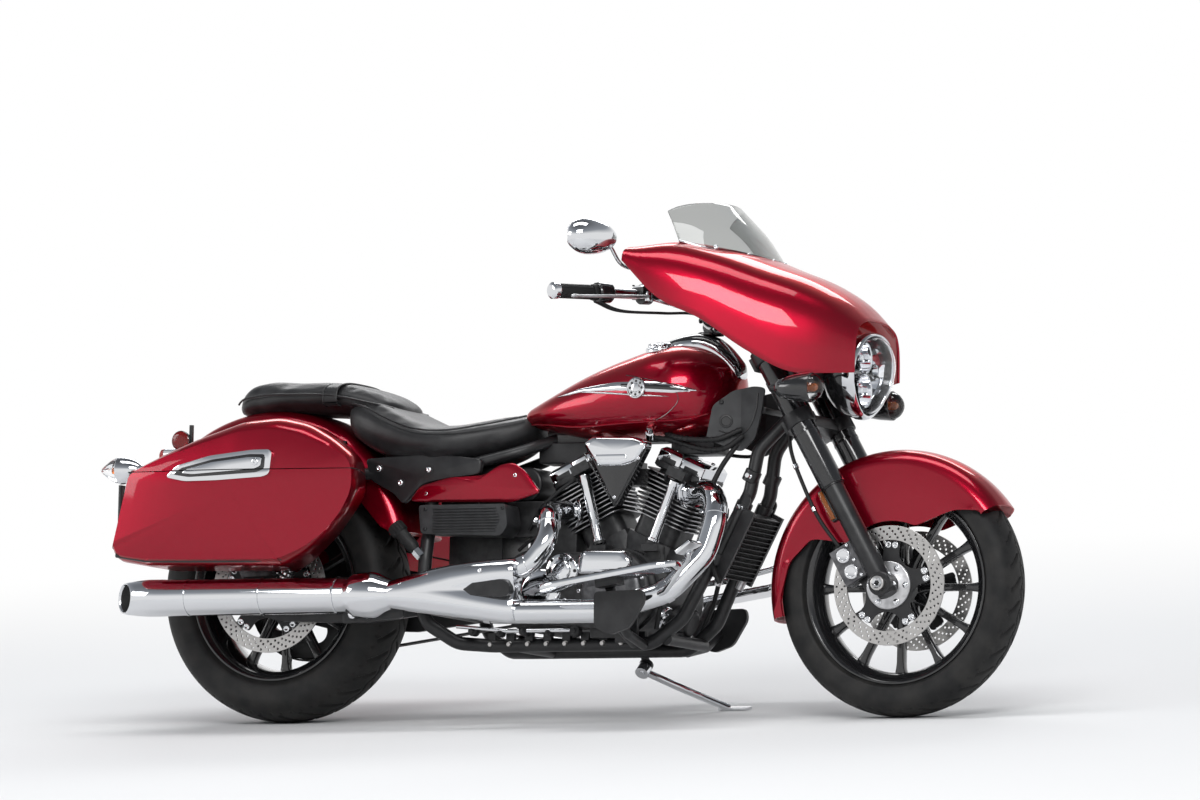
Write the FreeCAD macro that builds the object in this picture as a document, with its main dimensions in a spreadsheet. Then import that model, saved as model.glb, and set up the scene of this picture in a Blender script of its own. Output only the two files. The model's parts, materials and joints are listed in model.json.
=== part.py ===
import FreeCAD, Part
import math
import os
import Sketcher

V = FreeCAD.Vector
X = V(1, 0, 0)
Y = V(0, 1, 0)
Z = V(0, 0, 1)

# Driving dimensions in millimetres and degrees: alias, value.
# The motorcycle is drawn upright, x forward, y to its left, z up, with the rear
# axle over x = 0 and the ground at z = 0. It leans on its side stand at the end.
DIMENSIONS = [
    ("wheelbase", 1715), ("lean_angle", 9), ("rake_angle", 30), ("fork_offset", 38),
    ("clearance", 0.3), ("running_gap", 0.08), ("wheel_facets", 44),
    # Front wheel
    ("front_tyre_radius", 320), ("front_tyre_half_width", 63), ("front_rim_radius", 242),
    ("front_rim_half_width", 50), ("front_spoke_count", 12), ("front_disc_radius", 149),
    ("front_disc_offset", 86), ("front_axle_radius", 12), ("front_axle_bore", 7),
    ("front_hub_radius", 36),
    # Rear wheel
    ("rear_tyre_radius", 330), ("rear_tyre_half_width", 95), ("rear_rim_radius", 230),
    ("rear_rim_half_width", 83), ("rear_spoke_count", 12), ("rear_disc_radius", 160),
    ("rear_disc_offset", 105), ("rear_axle_radius", 12.5), ("rear_axle_bore", 7.5),
    ("rear_hub_radius", 44), ("disc_thickness", 5), ("disc_band", 36), ("rim_wall", 7),
    ("rim_well_depth", 24), ("rim_flange", 16), ("spoke_width", 21), ("spoke_depth", 40),
    # Final drive
    ("pulley_radius", 160), ("sprocket_radius", 52), ("belt_width", 28), ("belt_offset", 117),
    ("belt_thickness", 5), ("sprocket_x", 638),
    # Fork
    ("fork_spread", 120), ("slider_radius", 26), ("fork_cover_radius", 32),
    ("stem_radius", 20), ("head_radius", 36), ("head_low", 500), ("head_high", 640),
    ("fork_top", 690), ("slider_top", 300), ("fork_cover_low", 285), ("clamp_thickness", 34),
    ("clamp_gap", 5),
    # Frame
    ("frame_tube_radius", 17), ("backbone_radius", 24), ("rail_radius", 15),
    ("rail_spread", 132), ("rail_height", 634), ("cradle_spread", 110),
    ("cradle_height", 180), ("pivot_x", 470), ("pivot_z", 286), ("pivot_spread", 176),
    ("pivot_tube_radius", 27), ("pivot_bolt_radius", 10), ("arm_spread", 142),
    ("arm_thickness", 15), ("stay_radius", 9),
    # Engine
    ("crank_x", 985), ("crank_z", 312), ("crankcase_radius", 110), ("crankcase_half_width", 100),
    ("gearbox_x", 745), ("gearbox_z", 318), ("gearbox_radius", 104),
    ("front_cylinder_tilt", 24), ("rear_cylinder_tilt", -26), ("barrel_half_width", 60),
    ("fin_half_width", 84), ("fin_thickness", 3.4), ("fin_pitch", 11), ("fin_count", 11),
    ("fin_start", 199), ("barrel_start", 150), ("barrel_length", 192),
    ("pushrod_radius", 13), ("pushrod_offset", 104),
    # Body
    ("tank_half_width", 175), ("tank_height", 935), ("panel", 4), ("bag_inner", 206),
    ("bag_outer", 430), ("bag_wall", 4), ("bag_seam", 606), ("hinge_inset", 6),
    ("hinge_z", 690), ("hinge_pin_radius", 3), ("knuckle_radius", 7), ("muffler_radius", 46),
    ("muffler_spread", 300), ("muffler_height", 296), ("header_radius", 27),
    ("lower_pipe_radius", 30), ("front_fender_radius", 344), ("front_fender_half_width", 80),
    ("rear_fender_radius", 400), ("rear_fender_half_width", 124), ("rear_fender_z", 390),
    ("handlebar_radius", 12.7), ("grip_radius", 17), ("stand_eye_radius", 18),
    ("stand_eye_width", 24), ("stand_pin_radius", 6), ("stand_leg_radius", 10),
    ("plate_hole_radius", 3.5), ("plate_hole_spread", 73), ("plate_hole_z", 590),
]


class Size:
    """A number and the sheet formula it comes from, so both stay together."""

    def __init__(self, value, text):
        self.value = float(value)
        self.text = text

    def __float__(self):
        return self.value

    def __add__(self, other):
        other = as_size(other)
        return Size(self.value + other.value, f"({self.text} + {other.text})")

    def __sub__(self, other):
        other = as_size(other)
        return Size(self.value - other.value, f"({self.text} - {other.text})")

    def __mul__(self, other):
        other = as_size(other)
        return Size(self.value * other.value, f"({self.text} * {other.text})")

    def __truediv__(self, other):
        other = as_size(other)
        return Size(self.value / other.value, f"({self.text} / {other.text})")

    def __neg__(self):
        return Size(-self.value, f"(0 - {self.text})")

    __radd__ = __add__
    __rmul__ = __mul__

    def __rsub__(self, other):
        return as_size(other) - self


def as_size(number):
    return number if isinstance(number, Size) else Size(number, repr(float(number)))


class Sheet:
    """The spreadsheet of driving dimensions, read by alias."""

    def __init__(self, document, rows):
        self.cells = document.addObject("Spreadsheet::Sheet", "Sizes")
        for row, (alias, value) in enumerate(rows, start=1):
            self.cells.set(f"A{row}", alias)
            self.cells.set(f"B{row}", str(value))
            self.cells.setAlias(f"B{row}", alias)
        document.recompute()

    def __getattr__(self, alias):
        return Size(float(self.cells.get(alias)), f"Sizes.{alias}")


doc = FreeCAD.newDocument("TouringMotorcycle")
sz = Sheet(doc, DIMENSIONS)
nodes = {}


def turned(axis, degrees):
    return FreeCAD.Rotation(axis, degrees)


def placed(base, rotation=FreeCAD.Rotation()):
    return FreeCAD.Placement(V(*base), rotation)


def keep(obj, label, offset=FreeCAD.Placement()):
    """Make an object a sub-part of its own under the given name."""
    obj.Label = label
    nodes[label] = (obj, offset.multiply(obj.Placement))
    return obj


def bind(obj, **sizes):
    for name, size in sizes.items():
        size = as_size(size)
        setattr(obj, name, size.value)
        obj.setExpression(name, size.text)
    return obj


def cylinder(radius, height, base, direction=Z):
    """A cylinder from base along direction."""
    obj = bind(doc.addObject("Part::Cylinder", "Cylinder"), Radius=radius, Height=height)
    obj.Placement = placed(base, FreeCAD.Rotation(Z, V(*direction)))
    return obj


def across(radius, length, x, z, y=0.0):
    """A cylinder along y, centred on the given y."""
    length = as_size(length)
    return cylinder(radius, length, (float(x), float(y) - length.value / 2, float(z)), Y)


def block(length, width, height, centre, rotation=FreeCAD.Rotation()):
    """A box about its centre."""
    obj = bind(doc.addObject("Part::Box", "Box"), Length=length, Width=width, Height=height)
    half = V(float(length) / 2, float(width) / 2, float(height) / 2)
    obj.Placement = FreeCAD.Placement(V(*centre) - rotation.multVec(half), rotation)
    return obj


def fuse(parts):
    obj = doc.addObject("Part::MultiFuse", "Union")
    obj.Shapes = parts
    return obj


def cut(base, tool):
    obj = doc.addObject("Part::Cut", "Cut")
    obj.Base = base
    obj.Tool = tool
    return obj


def shaped(shape, name="Form"):
    obj = doc.addObject("Part::Feature", name)
    obj.Shape = shape
    return obj


def bent_path(points, radius, facet=25.0):
    """The corners of a path whose bends are broken into short straight chords."""
    points = [V(*point) for point in points]
    corners = [points[0]]
    for before, corner, after in zip(points, points[1:], points[2:]):
        back = (before - corner).normalize()
        ahead = (after - corner).normalize()
        turn = math.pi - back.getAngle(ahead)
        limit = 0.45 * min((before - corner).Length, (after - corner).Length)
        inset = min(float(radius) * math.tan(turn / 2), limit)
        arc_radius = inset / math.tan(turn / 2)
        centre = corner + (back + ahead).normalize() * (arc_radius / math.cos(turn / 2))
        first = corner + back * inset - centre
        chords = max(1, round(math.degrees(turn) / facet))
        hinge = (-back).cross(ahead)
        for step in range(chords + 1):
            swing = FreeCAD.Rotation(hinge, math.degrees(turn) * step / chords)
            corners.append(centre + swing.multVec(first))
    corners.append(points[-1])
    return corners


def tube(points, radius, bend=60.0, sides=10):
    """A bar swept along a path with mitred bends: round, or with flat sides."""
    corners = bent_path(points, bend)
    path = shaped(Part.makePolygon(corners), "Path")
    if sides:
        ring = bind(doc.addObject("Part::RegularPolygon", "Ring"), Circumradius=radius)
        ring.Polygon = sides
    else:
        ring = bind(doc.addObject("Part::Circle", "Ring"), Radius=radius)
    ring.Placement = placed(corners[0], FreeCAD.Rotation(Z, corners[1] - corners[0]))
    sweep = doc.addObject("Part::Sweep", "Tube")
    sweep.Sections = [ring]
    sweep.Spine = (path, [f"Edge{i + 1}" for i in range(len(corners) - 1)])
    sweep.Solid = True
    sweep.Frenet = False
    sweep.Transition = "Right corner"
    return sweep


def body(name):
    return doc.addObject("PartDesign::Body", name)


def origin_feature(owner, role):
    for feature in owner.Origin.OriginFeatures:
        if feature.Role == role:
            return feature
    raise ValueError(role)


def outline(owner, name, plane, corners):
    """A closed sketch. A corner is (x, y), or (x, y, r) for an arc of radius r to
    the next corner; r is positive where the arc bulges to the right of its run."""
    sketch = owner.newObject("Sketcher::SketchObject", name)
    sketch.AttachmentSupport = [(origin_feature(owner, plane), "")]
    sketch.MapMode = "FlatFace"
    count = len(corners)
    bends = []
    for index, corner in enumerate(corners):
        following = corners[(index + 1) % count]
        start = V(float(corner[0]), float(corner[1]), 0)
        end = V(float(following[0]), float(following[1]), 0)
        if len(corner) == 3:
            radius = float(corner[2])
            chord = end - start
            right = V(chord.y, -chord.x, 0).normalize()
            rise = abs(radius) - math.sqrt(radius ** 2 - (chord.Length / 2) ** 2)
            middle = (start + end) * 0.5 + right * math.copysign(rise, radius)
            edge = Part.Arc(start, middle, end)
            bends.append((index, corner[2]))
        else:
            edge = Part.LineSegment(start, end)
        sketch.addGeometry(edge, False)
    ends = {}
    for index in range(count):
        ends[index] = (1, 2)
        geometry = sketch.Geometry[index]
        corner = corners[index]
        if (geometry.StartPoint - V(float(corner[0]), float(corner[1]), 0)).Length > 1e-4:
            ends[index] = (2, 1)
    for index in range(count):
        following = (index + 1) % count
        sketch.addConstraint(Sketcher.Constraint(
            "Coincident", index, ends[index][1], following, ends[following][0]))
    for index, corner in enumerate(corners):
        for kind, size in (("DistanceX", as_size(corner[0])), ("DistanceY", as_size(corner[1]))):
            number = sketch.addConstraint(Sketcher.Constraint(
                kind, -1, 1, index, ends[index][0], size.value))
            sketch.setExpression(f"Constraints[{number}]", size.text)
    for index, radius in bends:
        radius = as_size(radius)
        if radius.value < 0:
            radius = -radius
        number = sketch.addConstraint(Sketcher.Constraint("Radius", index, radius.value))
        sketch.setExpression(f"Constraints[{number}]", radius.text)
    return sketch


def revolved(owner, name, corners):
    """Turn an outline of (radius, y) about the y axis of its body."""
    sketch = outline(owner, name + "Profile", "XY_Plane", corners)
    feature = owner.newObject("PartDesign::Revolution", name)
    feature.Profile = sketch
    feature.ReferenceAxis = (sketch, ["V_Axis"])
    feature.Angle = 360
    return feature


def mirrored_corners(half):
    """The outline of (radius, y) completed by its mirror image in y = 0."""
    other = [(corner[0], -as_size(corner[1])) for corner in reversed(half)]
    return list(half) + other


def front_axle():
    return float(sz.wheelbase), float(sz.front_tyre_radius)


RAKE = math.radians(float(sz.rake_angle))
UP = V(-math.sin(RAKE), 0, math.cos(RAKE))
AHEAD = V(math.cos(RAKE), 0, math.sin(RAKE))
FRONT_X, FRONT_Z = front_axle()
REAR_Z = float(sz.rear_tyre_radius)


def fork_point(along, ahead=0.0, side=0.0):
    """A point by its distance up the fork from the axle, ahead of the legs, and y."""
    return V(FRONT_X, side, FRONT_Z) + UP * float(along) + AHEAD * float(ahead)


def steer_point(along, side=0.0):
    return fork_point(along, -float(sz.fork_offset), side)


def xz_face(points):
    """A closed plane face in y = 0 from (x, z) points, each side straight."""
    corners = [V(x, 0, z) for x, z in points]
    return Part.Face(Part.makePolygon(corners + corners[:1]))


def solid_from(faces):
    solid = Part.Solid(Part.Shell(faces))
    if solid.Volume < 0:
        solid.reverse()
    return solid


def flat_faces(corners):
    """A flat face through four points, or two triangles where they aren't in a plane."""
    a, b, c, d = corners
    across_plane = abs((b - a).cross(c - a).dot(d - a))
    if across_plane < 1e-4 * max((b - a).cross(c - a).Length, 1.0):
        return [Part.Face(Part.makePolygon([a, b, c, d, a]))]
    return [Part.Face(Part.makePolygon([a, b, c, a])), Part.Face(Part.makePolygon([a, c, d, a]))]


def skinned(sections):
    """A solid through plane sections of equal point counts, its skin in flat facets."""
    sections = [[V(*point) for point in section] for section in sections]
    faces = []
    for near, far in zip(sections, sections[1:]):
        count = len(near)
        for index in range(count):
            following = (index + 1) % count
            faces += flat_faces([near[index], near[following], far[following], far[index]])
    for section in (sections[0], sections[-1]):
        faces.append(Part.Face(Part.makePolygon(section + section[:1])))
    return solid_from(faces)


def ring_of_facets(profile, count, start=0.0, sweep=360.0):
    """An outline of (radius, y) turned about the y axis in equal flat facets."""
    closed = sweep >= 360.0
    rows = []
    for step in range(count if closed else count + 1):
        angle = math.radians(start + sweep * step / count)
        rows.append([V(r * math.cos(angle), y, r * math.sin(angle)) for r, y in profile])
    pairs = list(zip(rows, rows[1:]))
    if closed:
        pairs.append((rows[-1], rows[0]))
    faces = []
    for near, far in pairs:
        for index in range(len(profile)):
            following = (index + 1) % len(profile)
            faces += flat_faces([near[index], near[following], far[following], far[index]])
    if not closed:
        for row in (rows[0], rows[-1]):
            faces.append(Part.Face(Part.makePolygon(row + row[:1])))
    return solid_from(faces)


def spindle(stations, sides=16):
    """A turned form about the x axis from (x, radius) stations, with flat sides."""
    return skinned([
        [(x, radius * math.cos(2 * math.pi * i / sides), radius * math.sin(2 * math.pi * i / sides))
         for i in range(sides)] for x, radius in stations])


def ring_section(x, half, top, bottom, shoulder=0.55, power=2.6, count=20):
    """A rounded section across the machine at x: a superellipse whose widest line
    lies at the given share of its height."""
    middle = bottom + (top - bottom) * shoulder
    points = []
    for step in range(count):
        angle = 2 * math.pi * step / count
        c = math.cos(angle)
        s = math.sin(angle)
        y = half * math.copysign(abs(c) ** (2 / power), c)
        reach = (top - middle) if s > 0 else (middle - bottom)
        z = middle + reach * math.copysign(abs(s) ** (2 / power), s)
        points.append((x, y, z))
    return points


def lofted(stations, **form):
    return skinned([ring_section(*station, **form) for station in stations])


def plate(points, y, thickness):
    """A flat plate from its (x, z) outline, from y towards y + thickness."""
    face = xz_face(points)
    face.translate(V(0, y, 0))
    return face.extrude(V(0, thickness, 0))


# Wheels

FACETS = int(float(sz.wheel_facets))
# Rims and tyres are turned by half a facet, so that a flat is at the bottom.
HALF_FACET = math.pi / FACETS


def tyre(label, radius, half, rim_radius, rim_half, seat):
    """A tyre on its rim, seated 0.3 mm from the bead seats and flanges."""
    radius, half, rim_radius, rim_half = (float(v) for v in (radius, half, rim_radius, rim_half))
    gap = float(sz.clearance)
    height = radius - rim_radius
    crown = radius / math.cos(HALF_FACET)
    side = [
        (rim_radius - float(sz.rim_flange) + gap, rim_half - 9.5), (rim_radius + gap, rim_half - 4.5),
        (rim_radius + height * 0.22, max(half * 0.96, rim_half + 2)),
        (rim_radius + height * 0.52, half), (rim_radius + height * 0.78, half * 0.84),
        (crown - height * 0.06, half * 0.48), (crown, half * 0.14)]
    profile = side + [(r, -y) for r, y in reversed(side)]
    form = shaped(ring_of_facets(profile, FACETS, math.degrees(HALF_FACET)), "Tyre")
    return keep(form, label, seat)


def rim(label, radius, half, hub_radius, hub_half, bore, spokes, seat):
    """A cast wheel: rim, hub and spokes in one piece."""
    owner = body(label)
    outer = float(radius)
    well = outer - float(sz.rim_well_depth)
    bead = outer - float(sz.rim_flange)
    wall = float(sz.rim_wall)
    wide = float(half)
    side = [(well - wall, wide * 0.3), (bead - wall, wide - 14), (outer - 5, wide), (outer, wide),
            (outer, wide - 4), (bead, wide - 9), (bead, wide - 20), (well, wide * 0.3 + 3)]
    profile = side + [(r, -y) for r, y in reversed(side)]
    ring = shaped(ring_of_facets(profile, FACETS, math.degrees(HALF_FACET)), "RimRing")
    owner.BaseFeature = ring
    doc.recompute()
    hub = [
        (bore, hub_half), (hub_radius, hub_half),
        (as_size(hub_radius) + 16, sz.spoke_depth / 2)]
    revolved(owner, label + "_hub", mirrored_corners(hub))
    inner = as_size(hub_radius) + 8
    reach = as_size(radius) - sz.rim_well_depth - sz.rim_wall / 2
    arm = outline(owner, label + "_arm", "XZ_Plane", [
        (inner, -sz.spoke_width * 0.62), (reach, -sz.spoke_width / 2),
        (reach, sz.spoke_width / 2), (inner, sz.spoke_width * 0.62)])
    pad = owner.newObject("PartDesign::Pad", label + "_spoke")
    pad.Profile = arm
    bind(pad, Length=sz.spoke_depth)
    pad.Midplane = True
    pattern = owner.newObject("PartDesign::PolarPattern", label + "_spokes")
    pattern.Originals = [pad]
    pattern.Axis = (origin_feature(owner, "Y_Axis"), [""])
    pattern.Angle = 360
    pattern.Occurrences = int(float(spokes))
    owner.Tip = pattern
    return keep(owner, label, seat)


def disc_pair(label, radius, offsets, hub_radius, seat):
    """Brake discs on their five-armed carriers."""
    parts = []
    inner = radius - sz.disc_band
    for offset in offsets:
        band = across(radius, sz.disc_thickness, 0, 0, offset)
        ring = cut(band, across(inner, sz.disc_thickness * 3, 0, 0, offset))
        arms = [across(as_size(hub_radius) + 26, sz.disc_thickness, 0, 0, offset)]
        for step in range(5):
            angle = math.radians(72 * step + 15)
            reach = float(inner) / 2 + 12
            centre = (reach * math.cos(angle), float(offset), reach * math.sin(angle))
            arms.append(block(float(inner) + 2, sz.disc_thickness, 22, centre,
                              turned(Y, -72 * step - 15)))
        parts.append(cut(fuse([ring] + arms), across(hub_radius, 40, 0, 0, offset)))
    whole = parts[0] if len(parts) == 1 else compound(parts)
    return keep(whole, label, seat)


def compound(parts):
    obj = doc.addObject("Part::Compound", "Set")
    obj.Links = parts
    return obj


front_seat = placed((FRONT_X, 0, FRONT_Z))
rear_seat = placed((0, 0, REAR_Z))
tyre("front_tyre", sz.front_tyre_radius, sz.front_tyre_half_width, sz.front_rim_radius,
     sz.front_rim_half_width, front_seat)
rim("front_rim", sz.front_rim_radius, sz.front_rim_half_width, sz.front_hub_radius,
    sz.front_disc_offset - sz.disc_thickness / 2 - sz.clearance,
    sz.front_axle_radius + sz.running_gap, sz.front_spoke_count, front_seat)
disc_pair("front_discs", sz.front_disc_radius,
          [sz.front_disc_offset, -sz.front_disc_offset], sz.front_axle_radius + 4, front_seat)
tyre("rear_tyre", sz.rear_tyre_radius, sz.rear_tyre_half_width, sz.rear_rim_radius,
     sz.rear_rim_half_width, rear_seat)
rim("rear_rim", sz.rear_rim_radius, sz.rear_rim_half_width, sz.rear_hub_radius,
    sz.rear_disc_offset - sz.disc_thickness / 2 - sz.clearance,
    sz.rear_axle_radius + sz.running_gap, sz.rear_spoke_count, rear_seat)
disc_pair("rear_disc", sz.rear_disc_radius, [-sz.rear_disc_offset],
          sz.rear_axle_radius + 4, rear_seat)

pulley = cut(
    across(sz.pulley_radius, sz.belt_width, 0, 0, sz.belt_offset),
    fuse([across(sz.rear_axle_radius + 4, 60, 0, 0, sz.belt_offset)] + [
        across(30, 60, 95 * math.cos(math.radians(72 * i)), 95 * math.sin(math.radians(72 * i)),
               sz.belt_offset) for i in range(5)]))
keep(pulley, "rear_pulley", rear_seat)


# Axles, swinging arm and final drive

def axle(label, radius, reach, bore, x, z):
    """A hollow axle with a nut at each end."""
    reach = as_size(reach)
    nuts = [across(as_size(radius) + 6, 14, x, z, side * (reach.value + 7.0)) for side in (1, -1)]
    solid = fuse([across(radius, 2 * reach, x, z)] + nuts)
    return keep(cut(solid, across(bore, 2 * reach + 60, x, z)), label)


axle("rear_axle", sz.rear_axle_radius, sz.arm_spread + sz.arm_thickness / 2 + sz.clearance,
     sz.rear_axle_bore, 0, REAR_Z)
axle("front_axle", sz.front_axle_radius, sz.fork_spread + 27 + sz.clearance,
     sz.front_axle_bore, FRONT_X, FRONT_Z)
PIVOT = V(float(sz.pivot_x), 0, float(sz.pivot_z))


def swingarm():
    """Two plate arms on a cross tube that turns on the frame's pivot bolt."""
    parts = []
    thick = float(sz.arm_thickness)
    for side in (1, -1):
        y = side * float(sz.arm_spread)
        outline_points = [
            (PIVOT.x + 30, PIVOT.z - 24), (PIVOT.x + 30, PIVOT.z + 26), (180, 306), (60, REAR_Z + 34),
            (-52, REAR_Z + 30), (-62, REAR_Z - 26), (-40, REAR_Z - 60), (60, 246), (300, 238)]
        arm = shaped(plate(outline_points, y - thick / 2, thick), "ArmPlate")
        parts.append(cut(arm, across(sz.rear_axle_radius + sz.running_gap, 60, 0, REAR_Z, y)))
    parts.append(across(sz.pivot_tube_radius, 2 * sz.arm_spread - sz.arm_thickness + 4, PIVOT.x,
                        PIVOT.z))
    bore = across(sz.pivot_bolt_radius + sz.running_gap, 2 * sz.arm_spread + 80, PIVOT.x, PIVOT.z)
    return keep(cut(fuse(parts), bore), "swingarm")


swingarm()


def belt():
    """The drive belt, round the wheel pulley and the gearbox sprocket."""
    x = float(sz.sprocket_x)
    sprocket_z = float(sz.crank_z)
    rise = sprocket_z - REAR_Z
    outer = float(sz.pulley_radius) + 0.6
    inner = float(sz.sprocket_radius) + 0.6
    distance = math.hypot(x, rise)
    heading = math.atan2(rise, x)

    def loop(extra):
        big = outer + extra
        small = inner + extra
        spread = math.acos((big - small) / distance)
        points = []
        for step in range(25):
            angle = heading + spread + (2 * math.pi - 2 * spread) * step / 24
            points.append((big * math.cos(angle), REAR_Z + big * math.sin(angle)))
        for step in range(13):
            angle = heading - spread + 2 * spread * step / 12
            points.append((x + small * math.cos(angle), sprocket_z + small * math.sin(angle)))
        return xz_face(points)

    ring = loop(float(sz.belt_thickness)).cut(loop(0.45))
    ring.translate(V(0, float(sz.belt_offset) - float(sz.belt_width) / 2 + 1, 0))
    return keep(shaped(ring.extrude(V(0, float(sz.belt_width) - 2, 0)), "Belt"), "drive_belt")


belt()


def rear_caliper():
    """The rear caliper on its bracket, held by the axle beside the swinging arm."""
    y = -float(sz.rear_disc_offset)
    grip = block(78, 44, 62, (-92, y, REAR_Z + 112), turned(Y, -40))
    outer = -float(sz.arm_spread) + float(sz.arm_thickness) / 2 + float(sz.clearance)
    bracket = shaped(plate([(-34, REAR_Z - 26), (30, REAR_Z - 26), (34, REAR_Z + 20),
                            (-44, REAR_Z + 130), (-116, REAR_Z + 118)], outer, y - 21 - outer),
                     "Bracket")
    slot = across(sz.rear_disc_radius + 4, sz.disc_thickness + 4, 0, REAR_Z, y)
    hole = across(sz.rear_axle_radius + sz.running_gap, 90, 0, REAR_Z, y)
    keep(cut(fuse([grip, bracket]), fuse([slot, hole])), "rear_caliper")


rear_caliper()


# Frame

STAND_PIVOT = V(950, 116, 132)
STAND_AXIS = V(0.044, 1, 1).normalize()
REAR_RAIL_Y = float(sz.rear_fender_half_width) + float(sz.rail_radius) + float(sz.clearance)


def frame():
    parts = []
    low = steer_point(sz.head_low)
    head = cylinder(sz.head_radius, sz.head_high - sz.head_low, tuple(low), UP)
    stem_hole = cylinder(sz.stem_radius + sz.running_gap, sz.head_high - sz.head_low + 20,
                         tuple(low - UP * 10), UP)
    middle = steer_point((float(sz.head_low) + float(sz.head_high)) / 2)
    parts.append(tube([tuple(middle - X * 4), (1235, 0, 716), (735, 0, 716)],
                      sz.backbone_radius, 160))
    floor = float(sz.cradle_height)
    spread = float(sz.cradle_spread)
    pivot_y = float(sz.pivot_spread)
    wall = float(sz.bag_inner) - float(sz.clearance)
    for side in (1, -1):
        down = steer_point(530, side * 20)
        parts.append(tube([
            tuple(down), (1334, side * 50, 666), (1318, side * 60, 558), (1210, side * 88, 345),
            (1160, side * 100, 243), (1080, side * spread, floor), (640, side * spread, floor),
            (560, side * 150, 184), (480, side * pivot_y, 236),
            (PIVOT.x, side * pivot_y, PIVOT.z), (474, side * 172, 400), (470, side * 136, 520),
            (470, side * float(sz.rail_spread), 625)], sz.frame_tube_radius, 70))
        rail_y = side * REAR_RAIL_Y
        parts.append(tube([
            (760, side * 18, 706), (690, side * 96, 668),
            (560, side * float(sz.rail_spread), float(sz.rail_height)), (300, rail_y, 616),
            (-306, rail_y, 640)], sz.rail_radius, 120))
        for stay in (-110, 230):
            parts.append(tube([(stay, rail_y, 625), (stay, rail_y, 548), (stay, side * wall, 548)],
                              sz.stay_radius, 30, 8))
        parts.append(cylinder(sz.stay_radius, 40, (170, rail_y, 622), (0, side, 0)))
    muffler_side = float(sz.muffler_spread) - float(sz.lower_pipe_radius) - float(sz.clearance)
    parts.append(cylinder(sz.stay_radius, muffler_side - pivot_y + 4, (466, -pivot_y + 4, 296),
                          -Y))
    parts.append(across(sz.pivot_bolt_radius, 2 * pivot_y, PIVOT.x, PIVOT.z))
    parts.append(across(16, 2 * sz.cradle_spread, 1120, sz.cradle_height + 12))
    parts.append(across(16, 2 * sz.cradle_spread, 700, sz.cradle_height))
    parts.append(across(8, 139.4, 1352, 764))
    lug = STAND_PIVOT + STAND_AXIS * (float(sz.stand_eye_width) / 2 + 5.3)
    pin_start = STAND_PIVOT - STAND_AXIS * (float(sz.stand_eye_width) / 2)
    parts.append(cylinder(18, 10, tuple(lug - STAND_AXIS * 5), STAND_AXIS))
    parts.append(cylinder(sz.stand_pin_radius, sz.stand_eye_width + 8, tuple(pin_start), STAND_AXIS))
    strut = lug + STAND_AXIS * 6
    parts.append(cylinder(10, 34, tuple(strut), V(950, spread, floor) - strut))
    keep(cut(fuse(parts + [head]), stem_hole), "frame_cradle")


frame()


def shocks():
    """The two rear dampers, on pins at the swinging arm and the rails."""
    parts = []
    for side in (1, -1):
        y = side * 178
        foot = V(70, y, 322)
        top = V(170, y, 622)
        line = (top - foot).normalize()
        lower = cylinder(14, 190, tuple(foot + line * 12), line)
        upper = cylinder(23, 165, tuple(foot + line * 138), line)
        eyes = [across(17, 26, foot.x, foot.z, y), across(17, 26, top.x, top.z, y)]
        arm_face = float(sz.arm_spread) + float(sz.arm_thickness) / 2 + float(sz.clearance)
        pin = cylinder(8, 178 - arm_face, (foot.x, side * arm_face, foot.z), (0, side, 0))
        hole = across(sz.stay_radius + sz.running_gap, 60, top.x, top.z, y)
        parts.append(cut(fuse([lower, upper, pin] + eyes), hole))
    keep(compound(parts), "rear_shocks")


shocks()


# Engine

CRANK = V(float(sz.crank_x), 0, float(sz.crank_z))
TILTS = (float(sz.front_cylinder_tilt), float(sz.rear_cylinder_tilt))
PUSHROD_LEAN = (21, 35)
TAPPET_X = (-58, 85)
TAPPET_TOP = 430.0
BARREL_TOP = float(sz.barrel_start) + float(sz.barrel_length)


def cylinder_axis(tilt):
    angle = math.radians(tilt)
    return V(math.sin(angle), 0, math.cos(angle))


def soft_square(half, corner, z):
    """A square of eight or twelve points about the z axis with cut corners."""
    points = []
    for quarter in range(4):
        turn = turned(Z, 90 * quarter)
        for x, y in ((half, half - corner), (half - corner * 0.3, half - corner * 0.3),
                     (half - corner, half)):
            point = turn.multVec(V(x, y, 0))
            points.append((point.x, point.y, z))
    return points


def slab(half, corner, low, high):
    return skinned([soft_square(half, corner, low), soft_square(half, corner, high)])


def finned(label, tilt, lean):
    """An air-cooled cylinder and head: a barrel in a stack of cooling fins, with the
    pushrods' tower on its right side."""
    half = float(sz.fin_half_width)
    start = float(sz.barrel_start)
    pieces = []
    for step in range(int(float(sz.fin_count))):
        base = float(sz.fin_start) + step * float(sz.fin_pitch)
        inset = 0 if step > 2 else (3 - step) * 3
        pieces.append(slab(half - inset, 30, base, base + float(sz.fin_thickness)))
    pieces.append(slab(half - 10, 26, BARREL_TOP - 20, BARREL_TOP))
    tower = Part.makeBox(50, 44, 24, V(lean - 25, -118, BARREL_TOP - 24))
    core = slab(float(sz.barrel_half_width), 26, start, BARREL_TOP)
    solid = core.multiFuse(pieces + [tower]).removeSplitter()
    solid.Placement = FreeCAD.Placement(CRANK, FreeCAD.Rotation(Z, cylinder_axis(tilt)))
    keep(shaped(solid, "Cylinder"), label)


finned("front_cylinder", TILTS[0], PUSHROD_LEAN[0])
finned("rear_cylinder", TILTS[1], PUSHROD_LEAN[1])


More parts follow.
